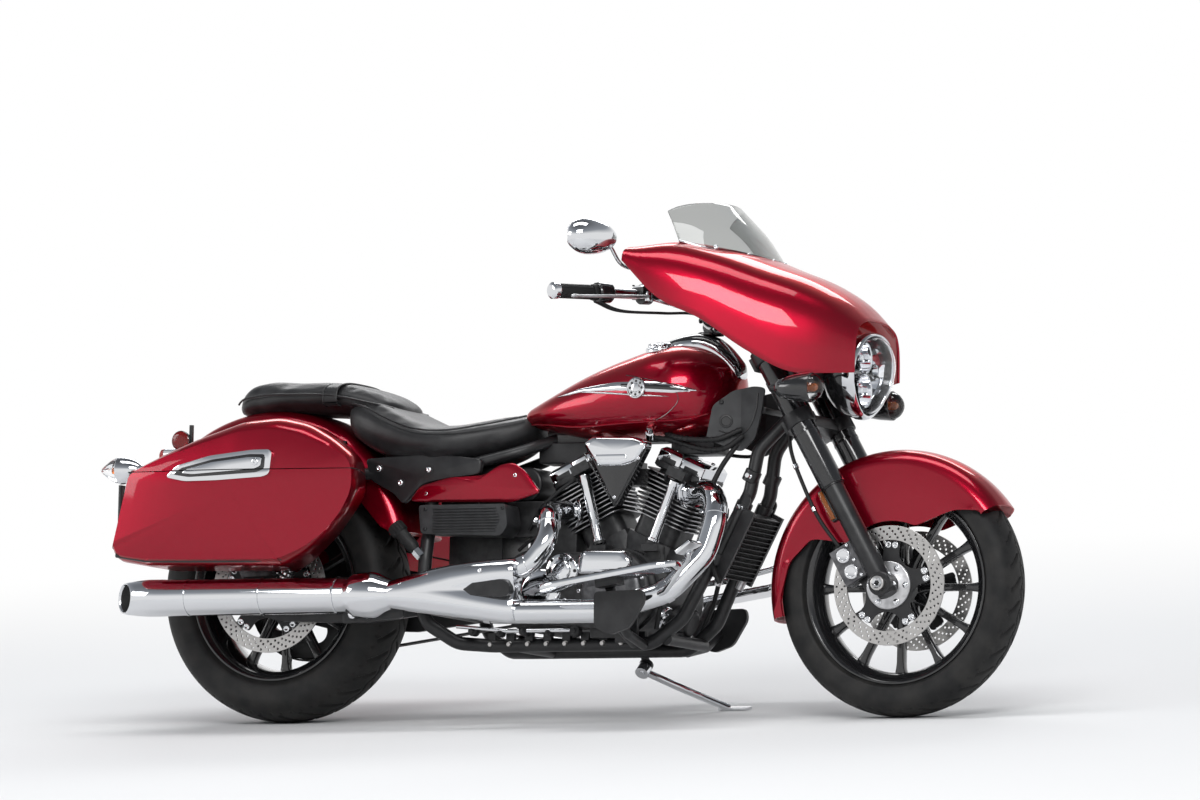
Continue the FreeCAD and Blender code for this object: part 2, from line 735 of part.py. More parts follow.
def rocker_covers():
    """The covers on the heads and the pushrod tubes up to them."""
    parts = []
    base = BARREL_TOP + float(sz.clearance)
    for tilt, lean in zip(TILTS, PUSHROD_LEAN):
        axis = cylinder_axis(tilt)
        turn = FreeCAD.Rotation(Z, axis)
        solid = skinned([soft_square(66, 22, base), soft_square(66, 22, base + 22),
                         soft_square(54, 22, base + 34)])
        solid.Placement = FreeCAD.Placement(CRANK, turn)
        parts.append(shaped(solid, "Cover"))
        side = V(axis.z, 0, -axis.x)
        y = -float(sz.pushrod_offset)
        head = CRANK + axis * (BARREL_TOP - 24) + side * lean + Y * y
        foot = V(float(sz.crank_x) + TAPPET_X[tilt > 0], y, TAPPET_TOP)
        run = (head - foot).normalize()
        radius = float(sz.pushrod_radius)
        head = head - run * (radius * math.sin(run.getAngle(axis)) + float(sz.clearance))
        foot = foot + run * (radius * math.sin(run.getAngle(Z)) + float(sz.clearance))
        parts.append(cylinder(sz.pushrod_radius, (head - foot).Length, tuple(foot), head - foot))
    keep(compound(parts), "rocker_covers")


rocker_covers()


def crankcase():
    """The crankcase and gearbox, with the cylinders' pedestals, the tappet blocks and
    the sprocket on its shaft."""
    width = 2 * sz.crankcase_half_width
    middle_x = (float(sz.crank_x) + float(sz.gearbox_x)) / 2
    parts = [
        across(sz.crankcase_radius, width, sz.crank_x, sz.crank_z),
        across(sz.gearbox_radius, width, sz.gearbox_x, sz.gearbox_z),
        block(sz.crank_x - sz.gearbox_x, width, 196, (middle_x, 0, float(sz.crank_z) + 4)),
        across(sz.sprocket_radius, sz.belt_width, sz.sprocket_x, sz.crank_z, sz.belt_offset),
        across(20, 70, sz.sprocket_x, sz.crank_z, 96),
        across(50, 60, float(sz.sprocket_x) + 26, sz.crank_z, 60),
    ]
    for tilt in TILTS:
        turn = FreeCAD.Rotation(Z, cylinder_axis(tilt))
        pedestal = slab(70, 26, 60, float(sz.barrel_start) - float(sz.clearance))
        pedestal.Placement = FreeCAD.Placement(CRANK, turn)
        parts.append(shaped(pedestal, "Pedestal"))
        foot = float(sz.crank_x) + TAPPET_X[tilt > 0]
        cover_face = float(sz.crankcase_half_width) - float(sz.clearance)
        parts.append(block(44, cover_face - 74, 56, (foot, -(cover_face + 74) / 2, 402)))
        parts.append(block(44, 44, 18, (foot, -96, TAPPET_TOP - 9)))
    keep(fuse(parts), "crankcase")


crankcase()


def side_cover(label, side, reach, rear_x, rear_radius):
    inner = float(sz.crankcase_half_width) + float(sz.clearance)
    y = side * (inner + reach / 2)
    crown = side * (inner + reach + 5)
    top = float(sz.crank_z) + 92
    low = float(sz.crank_z) - 84
    parts = [
        across(104, reach, sz.crank_x, sz.crank_z, y),
        across(rear_radius, reach, rear_x, sz.gearbox_z, y),
        block(sz.crank_x - rear_x, reach, top - low,
              ((float(sz.crank_x) + rear_x) / 2, y, (top + low) / 2)),
        across(76, 10, sz.crank_x, sz.crank_z, crown),
    ]
    keep(fuse(parts), label)


side_cover("primary_cover", 1, 78, 790, 88)
side_cover("gear_cover", -1, 52, 790, 84)

COVER_OUTLINE = [(893, 683), (918, 698), (1037, 695), (1076, 680), (989, 518)]
THROTTLE_OUTLINE = [(958, 575), (1002, 575), (1034, 650), (922, 650)]


def port_rooms():
    """The cylinders' envelopes with clearance, to trim the pipes that end at them."""
    ports = []
    for tilt in TILTS:
        port = slab(float(sz.fin_half_width) + float(sz.clearance), 10, float(sz.barrel_start),
                    BARREL_TOP)
        port.Placement = FreeCAD.Placement(CRANK, FreeCAD.Rotation(Z, cylinder_axis(tilt)))
        ports.append(shaped(port, "Port"))
    return fuse(ports)


keep(cut(fuse([shaped(plate(COVER_OUTLINE, -152, 34), "Cover"),
               shaped(plate(THROTTLE_OUTLINE, -119, 109), "Throttle"),
               block(130, 60, 46, (980, -45, 603))]), port_rooms()), "intake_cover")


# Exhaust

def exhaust():
    spread = float(sz.muffler_spread)
    height = float(sz.muffler_height)
    front = tube([(1150, -40, 560), (1240, -110, 560), (1272, -150, 500), (1250, -170, 400),
                  (1170, -215, 300), (1010, -250, 252), (720, -268, 252), (560, -288, 285),
                  (500, -spread, height), (452.3, -spread, height)], sz.lower_pipe_radius, 110, 16)
    rear = tube([(840, -50, 520), (790, -130, 515), (835, -205, 490), (848, -240, 430),
                 (800, -250, 366), (700, -262, 354), (600, -280, 336), (520, -296, 302)],
                sz.header_radius, 70, 14)
    keep(cut(fuse([front, rear]), port_rooms()), "exhaust_headers")
    radius = float(sz.muffler_radius)
    can = spindle([(452, radius * 0.78), (400, radius + 12), (350, radius + 12), (330, radius),
                   (-180, radius), (-196, radius + 2), (-330, radius - 2), (-350, radius - 8)], 24)
    mouth = spindle([(-360, radius - 13), (-250, radius - 13)], 24)
    keep(shaped(can.cut(mouth), "Muffler"), "muffler", placed((0, -spread, height)))


exhaust()


# Tank and seats

def tank():
    full = float(sz.tank_half_width)
    top = float(sz.tank_height)
    shell = lofted([
        (676, full * 0.28, 776, 738), (760, full * 0.60, 814, 722), (860, full * 0.80, 863, 702),
        (980, full * 0.93, 908, 698), (1100, full, top, 698), (1190, full * 0.97, top - 2, 702),
        (1242, full * 0.78, top - 18, 728), (1274, full * 0.5, top - 40, 760),
        (1298, full * 0.26, top - 64, 800)],
        shoulder=0.46, power=2.3)
    tunnel = plate([(600, 660), (600, 742), (1180, 762), (1330, 830), (1330, 660)], -40, 80)
    body_shell = shell.cut(tunnel)
    keep(shaped(body_shell, "Tank"), "fuel_tank")
    console = lofted([
        (1030, 22, 938, 930), (1076, 42, 952, 918), (1120, 52, 963, 918), (1170, 54, 965, 918),
        (1220, 46, 948, 906), (1290, 34, 888, 864)], shoulder=0.5, power=3.0, count=12)
    caps = [Part.makeCylinder(36, 26, V(1066, side * 66, 913)) for side in (1, -1)]
    console = console.cut(Part.makeCompound(caps)).cut(shell)
    pieces = [max(console.Solids, key=lambda solid: solid.Volume)]
    for cap in caps:
        pieces.append(max(cap.cut(shell).Solids, key=lambda solid: solid.Volume))
    keep(shaped(Part.makeCompound(pieces), "Console"), "tank_console")
    return shell


tank_form = tank()


def fender_profile(radius, half, skirt, wall):
    """The fender's section: a flat crown, two bevels and straight sides."""
    outside = [(skirt, -half), (radius - 40, -half), (radius - 12, -half + 12),
               (radius, -half + 46), (radius, half - 46), (radius - 12, half - 12),
               (radius - 40, half), (skirt, half)]
    if wall == 0:
        return outside
    inside = [(skirt, half - wall), (radius - 41, half - wall),
              (radius - 12 - wall, half - 12 - wall), (radius - wall, half - 47),
              (radius - wall, -half + 47), (radius - 12 - wall, -half + 12 + wall),
              (radius - 41, -half + wall), (skirt, -half + wall)]
    return outside + inside


def fender_shape(radius, half, centre, start, end, skirt, wall, foot, steps=26):
    """A fender: an arched channel between two angles, trimmed to its side outline."""
    profile = fender_profile(radius, half, skirt, wall)
    solid = ring_of_facets(profile, steps, start, end - start)
    solid.translate(V(*centre))
    return solid.common(foot) if foot else solid


FRONT_SKIRT = [(1990, 560), (2020, 500), (1880, 505), (1790, 470), (1700, 440), (1600, 425),
               (1500, 440), (1440, 380), (1420, 300), (1400, 235), (1300, 235), (1300, 700),
               (1990, 700)]
REAR_SKIRT = [(-420, 420), (-300, 470), (-180, 560), (100, 600), (250, 560), (330, 470),
              (420, 470), (420, 900), (-420, 900)]
panel = float(sz.panel)
keep(shaped(fender_shape(
    float(sz.front_fender_radius), float(sz.front_fender_half_width), (FRONT_X, 0, FRONT_Z),
    36, 194, 160.0, panel, plate(FRONT_SKIRT, -200, 400)), "Fender"), "front_fender")
rear_centre = (0, 0, float(sz.rear_fender_z))
rear_half = float(sz.rear_fender_half_width)
rear_reach = float(sz.rear_fender_radius)
keep(shaped(fender_shape(rear_reach, rear_half, rear_centre, 12, 176, 180.0, panel,
                         plate(REAR_SKIRT, -200, 400)), "Fender"), "rear_fender")
gap = float(sz.clearance)
fender_room = fender_shape(rear_reach + gap, rear_half + gap, rear_centre, 12, 176, 60.0, 0, None)

rider = lofted([
    (262, 120, 800, 716), (300, 160, 790, 690), (340, 178, 776, 666), (430, 188, 742, 656),
    (520, 184, 738, 655), (600, 150, 752, 666), (676, 96, 770, 694), (720, 62, 778, 724)],
    shoulder=0.5, power=3.0)
pillion = lofted([
    (-136, 60, 806, 770), (-100, 96, 846, 776), (-40, 122, 861, 780), (60, 142, 858, 785),
    (200, 146, 852, 785), (290, 124, 826, 785), (350, 74, 796, 778)],
    shoulder=0.45, power=3.0)
rider = rider.cut(tank_form).cut(fender_room)
rider = max(rider.Solids, key=lambda solid: solid.Volume)
keep(shaped(rider, "Seat"), "rider_seat")
pillion = pillion.cut(fender_room).cut(rider)
keep(shaped(max(pillion.Solids, key=lambda solid: solid.Volume), "Seat"), "passenger_seat")


# Saddlebags

BAG_OUTLINE = [
    (-262, 604), (-305, 410), (-290, 384), (-208, 371), (176, 366), (262, 404), (318, 410),
    (352, 446), (394, 520), (404, 590), (396, 640), (330, 686), (253, 724), (165, 742),
    (60, 734), (-60, 696), (-150, 660), (-225, 625)]


HINGE_X = (30, 262)


def bag_form(wall, side):
    """A bag's form: its side outline drawn in towards the outer face."""
    xs = [x for x, z in BAG_OUTLINE]
    zs = [z for x, z in BAG_OUTLINE]
    middle_x = (min(xs) + max(xs)) / 2
    middle_z = (min(zs) + max(zs)) / 2
    half_x = (max(xs) - min(xs)) / 2
    half_z = (max(zs) - min(zs)) / 2
    inner = float(sz.bag_inner)
    outer = float(sz.bag_outer)
    sections = []
    for y, inset in ((inner + wall, 6), (inner + 14, 0), (outer - 70, 0), (outer - 26, 10),
                     (outer - 8, 26), (outer - wall, 42)):
        share_x = 1 - (inset + wall) / half_x
        share_z = 1 - (inset + wall) / half_z
        sections.append([(middle_x + (x - middle_x) * share_x, side * y,
                          middle_z + (z - middle_z) * share_z) for x, z in BAG_OUTLINE])
    return skinned(sections)


def saddlebag(name, side):
    seam = float(sz.bag_seam)
    shell = bag_form(0, side).cut(bag_form(float(sz.bag_wall), side))
    under = Part.makeBox(1200, 2000, seam, V(-600, -1000, 0))
    over = Part.makeBox(1200, 2000, 600, V(-600, -1000, seam + float(sz.clearance)))
    inner = float(sz.bag_inner)
    y = side * (inner - float(sz.hinge_inset))
    z = float(sz.hinge_z)
    half = float(sz.hinge_inset) - float(sz.clearance)
    bag_parts = [shaped(shell.common(under), "Bag")]
    lid_parts = [shaped(shell.common(over), "Lid")]
    bores = []
    for x in HINGE_X:
        bag_parts.append(cylinder(sz.hinge_pin_radius, 42, (x - 21, y, z), X))
        for end in (-18, 18):
            bag_parts.append(cylinder(half, 6, (x + end - 3, y, z), X))
            bag_parts.append(block(6, 2 * half, z - 564, (x + end, y, (z + 564) / 2)))
        bag_parts.append(block(42, 14, 30, (x, side * (inner - 5.5), 581)))
        lid_parts.append(cylinder(sz.knuckle_radius, 29, (x - 14.5, y, z), X))
        bores.append(cylinder(sz.hinge_pin_radius + sz.running_gap, 60, (x - 30, y, z), X))
    keep(fuse(bag_parts), f"saddlebag_{name}")
    keep(cut(fuse(lid_parts), fuse(bores)), f"bag_lid_{name}")


saddlebag("right", -1)
saddlebag("left", 1)


# Fork and front end

def fork():
    legs = []
    turn = FreeCAD.Rotation(Z, UP)
    fender_side = float(sz.front_fender_half_width) + float(sz.clearance)
    for side in (1, -1):
        y = side * float(sz.fork_spread)
        slider = cylinder(sz.slider_radius, sz.slider_top + 30, tuple(fork_point(-30, 0, y)), UP)
        cover = cylinder(sz.fork_cover_radius, sz.fork_top - sz.fork_cover_low,
                         tuple(fork_point(sz.fork_cover_low, 0, y)), UP)
        boss = across(30, 54, FRONT_X, FRONT_Z, y)
        mounts = []
        for along in (190, 250):
            seat = fork_point(along, 0, side * fender_side)
            mounts.append(cylinder(9, float(sz.fork_spread) - fender_side, tuple(seat),
                                   (0, side, 0)))
        leg = fuse([slider, cover, boss] + mounts)
        hole = across(sz.front_axle_radius + sz.running_gap, 90, FRONT_X, FRONT_Z, y)
        legs.append(cut(leg, hole))
    keep(compound(legs), "fork_legs")
    clamps = []
    offset = float(sz.fork_offset)
    thick = float(sz.clamp_thickness)
    reach = thick / 2 + float(sz.clamp_gap)
    for along in (float(sz.head_low) - reach, float(sz.head_high) + reach):
        web = block(offset + 20, 2 * float(sz.fork_spread), thick,
                    tuple(fork_point(along, -offset / 2)), turn)
        collars = [cylinder(38, thick, tuple(fork_point(along - thick / 2, 0, side *
                                                        float(sz.fork_spread))), UP)
                   for side in (1, -1)]
        boss = cylinder(34, thick, tuple(steer_point(along - thick / 2)), UP)
        holes = [cylinder(sz.fork_cover_radius + sz.running_gap, 120,
                          tuple(fork_point(along - 60, 0, side * float(sz.fork_spread))), UP)
                 for side in (1, -1)]
        clamps.append(cut(fuse([web, boss] + collars), fuse(holes)))
    stem = cylinder(sz.stem_radius, sz.head_high - sz.head_low + 2 * reach,
                    tuple(steer_point(float(sz.head_low) - reach)), UP)
    plate_ahead = float(sz.fork_cover_radius) + 5 + float(sz.clearance)
    lamp_plate = block(10, 250, 96, tuple(fork_point(616, plate_ahead)), turn)
    lamp_post = cylinder(20, 54, (LAMP_BACK - 54.3, 0, LAMP_Z + 4), X)
    keep(fuse(clamps + [stem, lamp_plate, lamp_post]), "triple_clamp")


LAMP_BACK = 1500.0
LAMP_Z = 858.0
LAMP_TILT = 0.13


def egg(x, share, tilt=LAMP_TILT, wall=0.0, count=18):
    """The lamp's egg outline, wider above, on a plane that leans with its height."""
    points = []
    for step in range(count):
        angle = 2 * math.pi * step / count
        c = math.cos(angle)
        s = math.sin(angle)
        reach = (100 if s > 0 else 117) + wall
        y = (124 + wall) * c * (1 - 0.14 * max(0.0, -s) ** 2)
        rise = share * reach * s
        points.append((x + tilt * rise, share * y, LAMP_Z + rise))
    return points


fork()


def headlamp():
    """The egg-shaped lamp: a chrome bowl with a rolled rim, and its lens."""
    bowl = skinned([egg(LAMP_BACK, 0.36, 0), egg(1524, 0.66), egg(1560, 0.88), egg(1592, 0.97),
                    egg(1604, 1.0), egg(1618, 0.99), egg(1622, 0.94)])
    hollow = skinned([egg(1530, 0.50), egg(1562, 0.80), egg(1600, 0.91), egg(1623, 0.91)])
    keep(shaped(bowl.cut(hollow), "Bowl"), "headlamp_bowl")
    lens = skinned([egg(1608, 0.905), egg(1626, 0.90), egg(1642, 0.72), egg(1650, 0.40)])
    keep(shaped(lens, "Lens"), "headlamp_lens")


headlamp()


def arch(x, half, top, low, inset=0.0):
    """An arch across the machine, its foot level, drawn in by an inset."""
    half = half - inset
    top = top - inset
    rise = top - low
    side = [(half, low), (half * 0.99, low + rise * 0.35), (half * 0.95, low + rise * 0.62),
            (half * 0.82, low + rise * 0.83), (half * 0.52, low + rise * 0.955),
            (half * 0.2, low + rise * 0.998)]
    return [(x, y, z) for y, z in side] + [(x, -y, z) for y, z in reversed(side)]


FAIRING_STATIONS = [(1090, 356, 1172, 1092), (1180, 346, 1186, 1026), (1290, 318, 1164, 970),
                    (1400, 275, 1124, 893), (1500, 228, 1084, 842), (1580, 178, 1034, 842),
                    (1632, 136, 986, 846)]


def fairing():
    """The fork-mounted fairing: an arched shell, open behind and below, with the lamp's
    hole in its nose and the rider's opening under the screen."""
    wall = float(sz.panel) + 1
    outer = skinned([arch(*station) for station in FAIRING_STATIONS])
    inner = skinned([arch(x - 10, half, top, low - 60, wall)
                     for x, half, top, low in FAIRING_STATIONS])
    shell = outer.cut(inner)
    opening = Part.Face(Part.makePolygon([
        V(1000, -252, 0), V(1176, -238, 0), V(1268, -170, 0), V(1326, -80, 0), V(1342, 0, 0),
        V(1326, 80, 0), V(1268, 170, 0), V(1176, 238, 0), V(1000, 252, 0), V(1000, -252, 0)]))
    opening.translate(V(0, 0, 1080))
    lamp_hole = skinned([egg(1480, 1.0, 0, 0.6), egg(1700, 1.0, 0, 0.6)])
    shell = shell.cut(opening.extrude(V(0, 0, 300))).cut(lamp_hole)
    shell = max(shell.Solids, key=lambda solid: solid.Volume)
    keep(shaped(shell, "Fairing"), "fairing")
    room = skinned([arch(x - 10, half, top, low - 60, wall + float(sz.clearance))
                    for x, half, top, low in FAIRING_STATIONS])
    panel_form = Part.makeBox(8, 800, 180, V(1296, -400, 1010)).common(room)
    dials = []
    for y, radius in ((-62, 44), (62, 44), (-150, 26), (150, 26)):
        dials.append(Part.makeCylinder(radius, 22, V(1304, y, 1078 if radius > 30 else 1060), -X))
    keep(shaped(panel_form.multiFuse(dials).removeSplitter(), "Panel"), "gauges")
    return outer


fairing_form = fairing()


def windscreen():
    """The clear screen, curved across and raked back, seated on the fairing."""
    def band(front, rear, half, front_z, rear_z, thick):
        outside = []
        inside = []
        for step in range(13):
            angle = math.radians(-90 + 15 * step)
            share = math.cos(angle)
            for points, inset in ((outside, 0.0), (inside, thick)):
                x = rear + (front - rear - inset) * share
                z = rear_z + (front_z - rear_z) * (x - rear) / (front - rear)
                points.append((x, (half - inset) * math.sin(angle), z))
        return outside + inside[::-1]

    solid = skinned([band(1350, 1176, 240, 1126, 1176, 5), band(1296, 1146, 214, 1210, 1224, 5),
                     band(1226, 1110, 172, 1288, 1268, 5)])
    solid = max(solid.cut(fairing_form).Solids, key=lambda item: item.Volume)
    keep(shaped(solid, "Screen"), "windscreen")


windscreen()


BAR_BEND = V(1089, 186, 1047)
GRIP_END = V(955, 456, 1033)
GRIP_START = GRIP_END + (BAR_BEND - GRIP_END) * 0.8


def handlebar():
    """The bar on its two risers, with grips, housings, levers and mirrors."""
    half = [(1333, 52, 957), (1290, 90, 985), tuple(BAR_BEND), tuple(GRIP_END)]
    points = [(x, -y, z) for x, y, z in reversed(half)] + half
    bar = tube(points, sz.handlebar_radius, 80, 0)
    risers = [cylinder(15, 58, tuple(fork_point(679.3, -15, side * 52)), UP) for side in (1, -1)]
    keep(fuse([bar] + risers), "handlebar")
    grips = []
    controls = []
    mirrors = []
    for side in (1, -1):
        start = V(GRIP_START.x, side * GRIP_START.y, GRIP_START.z)
        end = V(GRIP_END.x, side * GRIP_END.y, GRIP_END.z)
        heading = (end - start).normalize()
        inner = end - heading * 128
        turn = FreeCAD.Rotation(Y * side, heading)
        core = cylinder(sz.handlebar_radius + sz.running_gap, 330, tuple(inner - heading * 170),
                        heading)
        grip = shaped(spindle([(0, 20), (10, 20), (12, 17), (118, 17), (120, 21), (134, 21),
                               (138, 15)], 12), "Grip")
        grip.Placement = FreeCAD.Placement(inner, FreeCAD.Rotation(X, heading))
        grips.append(cut(grip, core))
        housing = shaped(spindle([(-48, 22), (-44, 26), (-6, 26), (-2, 22)], 12), "Housing")
        housing.Placement = FreeCAD.Placement(inner, FreeCAD.Rotation(X, heading))
        perch = start + heading * 16
        master = block(46, 66, 34, tuple(perch + V(4, 0, 2)), turn)
        lever = tube([tuple(perch + V(22, side * 8, -4)), tuple(perch + V(26, side * 60, -10)),
                      tuple(end + V(50, 0, -14))], 6, 60, 8)
        controls.append(cut(housing, core))
        controls.append(cut(fuse([master, lever]), core))
        post = perch + V(0, 0, 20)
        head_centre = V(1040, side * 398, 1172)
        stem = tube([tuple(post), (post.x, post.y, 1094), (1050, side * 320, 1122),
                     (1046, side * 364, 1152)], 7, 30, 8)
        sections = []
        for y, deep, tall, lift in ((-80, 6, 14, -4), (-66, 18, 34, -1), (-24, 30, 45, 0),
                                    (30, 30, 42, 2), (64, 20, 30, 4), (80, 7, 14, 6)):
            sections.append([
                (head_centre.x + deep * math.cos(a) * (1.0 if math.cos(a) > 0 else 0.4),
                 head_centre.y + side * y, head_centre.z + lift + tall * math.sin(a))
                for a in (2 * math.pi * i / 12 for i in range(12))])
        mirrors.append(fuse([shaped(skinned(sections), "MirrorHead"), stem]))
    keep(compound(grips), "grips")
    keep(compound(controls), "hand_controls")
    keep(compound(mirrors), "mirrors")


handlebar()


def lamps():
    """The turn signals on their arms."""
    front = []
    rear = []
    for side in (1, -1):
        pod = shaped(spindle([(-98, 16), (-84, 28), (-30, 36), (0, 37), (6, 33), (26, 22), (34, 8)]),
                     "Pod")
        pod.Placement = placed((1562, side * 242, 800))
        spread = float(sz.fork_spread) + float(sz.fork_cover_radius) + float(sz.clearance)
        stalk = tube([(1436, side * spread, 804), (1436, side * 206, 804),
                      (1500, side * 240, 800)], 10, 30, 8)
        front.append(fuse([pod, stalk]))
        tail = shaped(spindle([(-66, 8), (-58, 22), (-34, 34), (-28, 36), (0, 34), (44, 22),
                               (58, 10)]), "Tail")
        tail.Placement = placed((-378, side * 200, 632))
        arm = tube([(-280, side * (rear_half + gap), 600), (-280, side * 164, 600),
                    (-350, side * 200, 632)], 10, 20, 8)
        rear.append(fuse([tail, arm]))
    keep(compound(front), "front_signals")
    keep(compound(rear), "rear_signals")


lamps()


def front_calipers():
    parts = []
    turn = FreeCAD.Rotation(Z, UP)
    for side in (1, -1):
        grip = block(70, 46, 96, tuple(fork_point(96, -60.8, side * 92)), turn)
        slot = across(sz.front_disc_radius + 3, sz.disc_thickness + 4, FRONT_X, FRONT_Z,
                      side * float(sz.front_disc_offset))
        parts.append(cut(grip, slot))
    keep(compound(parts), "front_calipers")


front_calipers()


# Footboards, covers and stand

def footboards():
    """The rider's boards, long plates with rounded ends on arms from the frame."""
    parts = []
    plan = [(-186, -26), (-170, -44), (-120, -52), (120, -52), (172, -44), (190, -24), (190, 24),
            (172, 42), (120, 48), (-120, 48), (-170, 42), (-186, 26)]
    for side in (1, -1):
        face = Part.Face(Part.makePolygon([V(x, y, 0) for x, y in plan + plan[:1]]))
        board = shaped(face.extrude(V(0, 0, 18)), "Board")
        board.Placement = placed((1076, side * 348, 331), turned(Y, -9))
        rail = float(sz.cradle_spread) + float(sz.frame_tube_radius) + float(sz.clearance)
        arm = tube([(1040, side * rail, 180), (1040, side * 270, 196), (1040, side * 330, 250),
                    (1040, side * 348, 330)], 11, 50, 10)
        parts.append(fuse([board, arm]))
    keep(compound(parts), "footboards")


footboards()


def body_panels():
    """The side covers under the seat, the ribbed box, the neck covers and the cooler."""
    outline_points = [(420, 545), (447, 581), (528, 602), (626, 606), (673, 632), (709, 637),
                      (743, 614), (786, 560), (706, 536), (448, 541)]
    inner = float(sz.pivot_spread) - 23.5
    keep(compound([shaped(plate(outline_points, side * inner, side * 10), "Panel")
                   for side in (1, -1)]), "side_covers")
    ribs = [block(4, 62, 76, (x, -157, 491.5)) for x in range(508, 690, 16)]
    keep(fuse([block(200, 52, 82, (589.2, -157, 491.5))] + ribs), "side_box")
    neck = [(1306, 700), (1306, 800), (1330, 826), (1388, 818), (1372, 760), (1346, 694)]
    keep(compound([shaped(plate(neck, side * 70, side * 8), "Panel") for side in (1, -1)]),
         "neck_covers")
    fins = [block(30, 176, 3, (0, 0, -86 + 12 * i)) for i in range(15)]
    core = block(18, 170, 190, (0, 0, 0))
    frame_part = fuse(fins + [core])
    keep(frame_part, "oil_cooler",
         FreeCAD.Placement(V(1288, 0, 427), turned(Y, 26.9)))


body_panels()


def tail_end():
    """The tail lamp on the fender and the plate holder below it."""
    room = shaped(fender_room, "Room")
    lamp = cut(block(60, 150, 60, (-320, 0, 672)), room)
    keep(lamp, "tail_lamp")
    arm = cut(block(80, 90, 16, (-404, 0, 560)), room)
    holder = block(8, 190, 130, (-444, 0, 540))
    holes = [cylinder(sz.plate_hole_radius, 40, (-464, side * float(sz.plate_hole_spread),
                                                 float(sz.plate_hole_z)), X) for side in (1, -1)]
    keep(cut(fuse([arm, holder]), fuse(holes)), "tail_bracket")


tail_end()


def side_stand():
    """The stand's leg, and its foot flat on the ground when the machine leans."""
    foot = V(1130, 248, 44)
    run = foot - STAND_PIVOT
    leg = tube([tuple(STAND_PIVOT + run * 0.04 - STAND_AXIS * 2), tuple(STAND_PIVOT + run * 0.5 + V(-8, 6, 0)),
                tuple(foot)], sz.stand_leg_radius, 200, 10)
    eye = cylinder(sz.stand_eye_radius, sz.stand_eye_width,
                   tuple(STAND_PIVOT - STAND_AXIS * (float(sz.stand_eye_width) / 2)), STAND_AXIS)
    hole = cylinder(sz.stand_pin_radius + sz.running_gap, 60, tuple(STAND_PIVOT - STAND_AXIS * 30),
                    STAND_AXIS)
    level = turned(X, float(sz.lean_angle))
    pad = block(76, 40, 8, tuple(level.multVec(V(1140, 262, 0)) + level.multVec(V(0, 0, 4))), level)
    keep(cut(fuse([leg, eye, pad]), hole), "side_stand")


side_stand()


# Checks, the parking lean and export

doc.recompute()
for item in doc.Objects:
    if "Invalid" in item.State or "Error" in item.State:
        raise RuntimeError(f"{item.Label}: {item.State}")

lean = turned(X, -float(sz.lean_angle))
drop = float(sz.rear_tyre_half_width) * (1 - math.cos(math.radians(float(sz.lean_angle))))
corners = []
for label, (obj, offset) in nodes.items():
    obj.Placement = FreeCAD.Placement(V(0, 0, drop), lean).multiply(offset)
doc.recompute()
for label, (obj, offset) in nodes.items():
    points, faces = obj.Shape.tessellate(2.0)
    corners.extend(points)
middle_x = (min(p.x for p in corners) + max(p.x for p in corners)) / 2
middle_y = (min(p.y for p in corners) + max(p.y for p in corners)) / 2
parking = FreeCAD.Placement(V(-middle_x, -middle_y, drop), lean)
for label, (obj, offset) in nodes.items():
    obj.Placement = parking.multiply(offset)
doc.recompute()

os.makedirs("parts", exist_ok=True)
for label, (obj, offset) in nodes.items():
    shape = obj.Shape
    if shape.isNull() or not shape.isValid() or shape.Volume <= 0:
        raise RuntimeError(f"{label} is not a valid solid")
    shape.exportStep(f"parts/{label}.step")
    print(label, len(shape.Solids), round(shape.Volume / 1000.0, 1))
print("shift", round(middle_x, 3), round(middle_y, 3), round(drop, 3))
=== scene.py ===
import json
import math

import bmesh
import bpy
import numpy as np
from mathutils import Matrix, Vector
from mathutils.geometry import delaunay_2d_cdt

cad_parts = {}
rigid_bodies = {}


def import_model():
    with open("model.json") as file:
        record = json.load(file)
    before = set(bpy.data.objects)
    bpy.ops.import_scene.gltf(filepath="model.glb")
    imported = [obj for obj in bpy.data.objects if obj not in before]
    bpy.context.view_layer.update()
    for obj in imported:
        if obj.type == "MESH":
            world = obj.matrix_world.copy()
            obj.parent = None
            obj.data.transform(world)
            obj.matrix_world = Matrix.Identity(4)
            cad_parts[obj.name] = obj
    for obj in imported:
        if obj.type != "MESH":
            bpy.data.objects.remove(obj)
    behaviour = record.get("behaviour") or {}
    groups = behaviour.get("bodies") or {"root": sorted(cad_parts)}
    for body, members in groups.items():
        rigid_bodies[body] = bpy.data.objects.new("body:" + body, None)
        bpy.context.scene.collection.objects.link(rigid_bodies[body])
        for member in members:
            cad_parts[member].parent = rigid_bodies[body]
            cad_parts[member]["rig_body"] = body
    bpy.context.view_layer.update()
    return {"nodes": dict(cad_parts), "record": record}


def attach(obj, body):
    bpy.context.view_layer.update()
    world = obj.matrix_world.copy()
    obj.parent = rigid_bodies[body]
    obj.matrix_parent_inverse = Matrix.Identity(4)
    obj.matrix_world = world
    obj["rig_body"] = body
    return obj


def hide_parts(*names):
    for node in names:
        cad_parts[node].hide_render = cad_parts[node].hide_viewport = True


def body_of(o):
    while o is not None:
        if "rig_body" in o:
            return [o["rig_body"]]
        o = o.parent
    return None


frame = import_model()

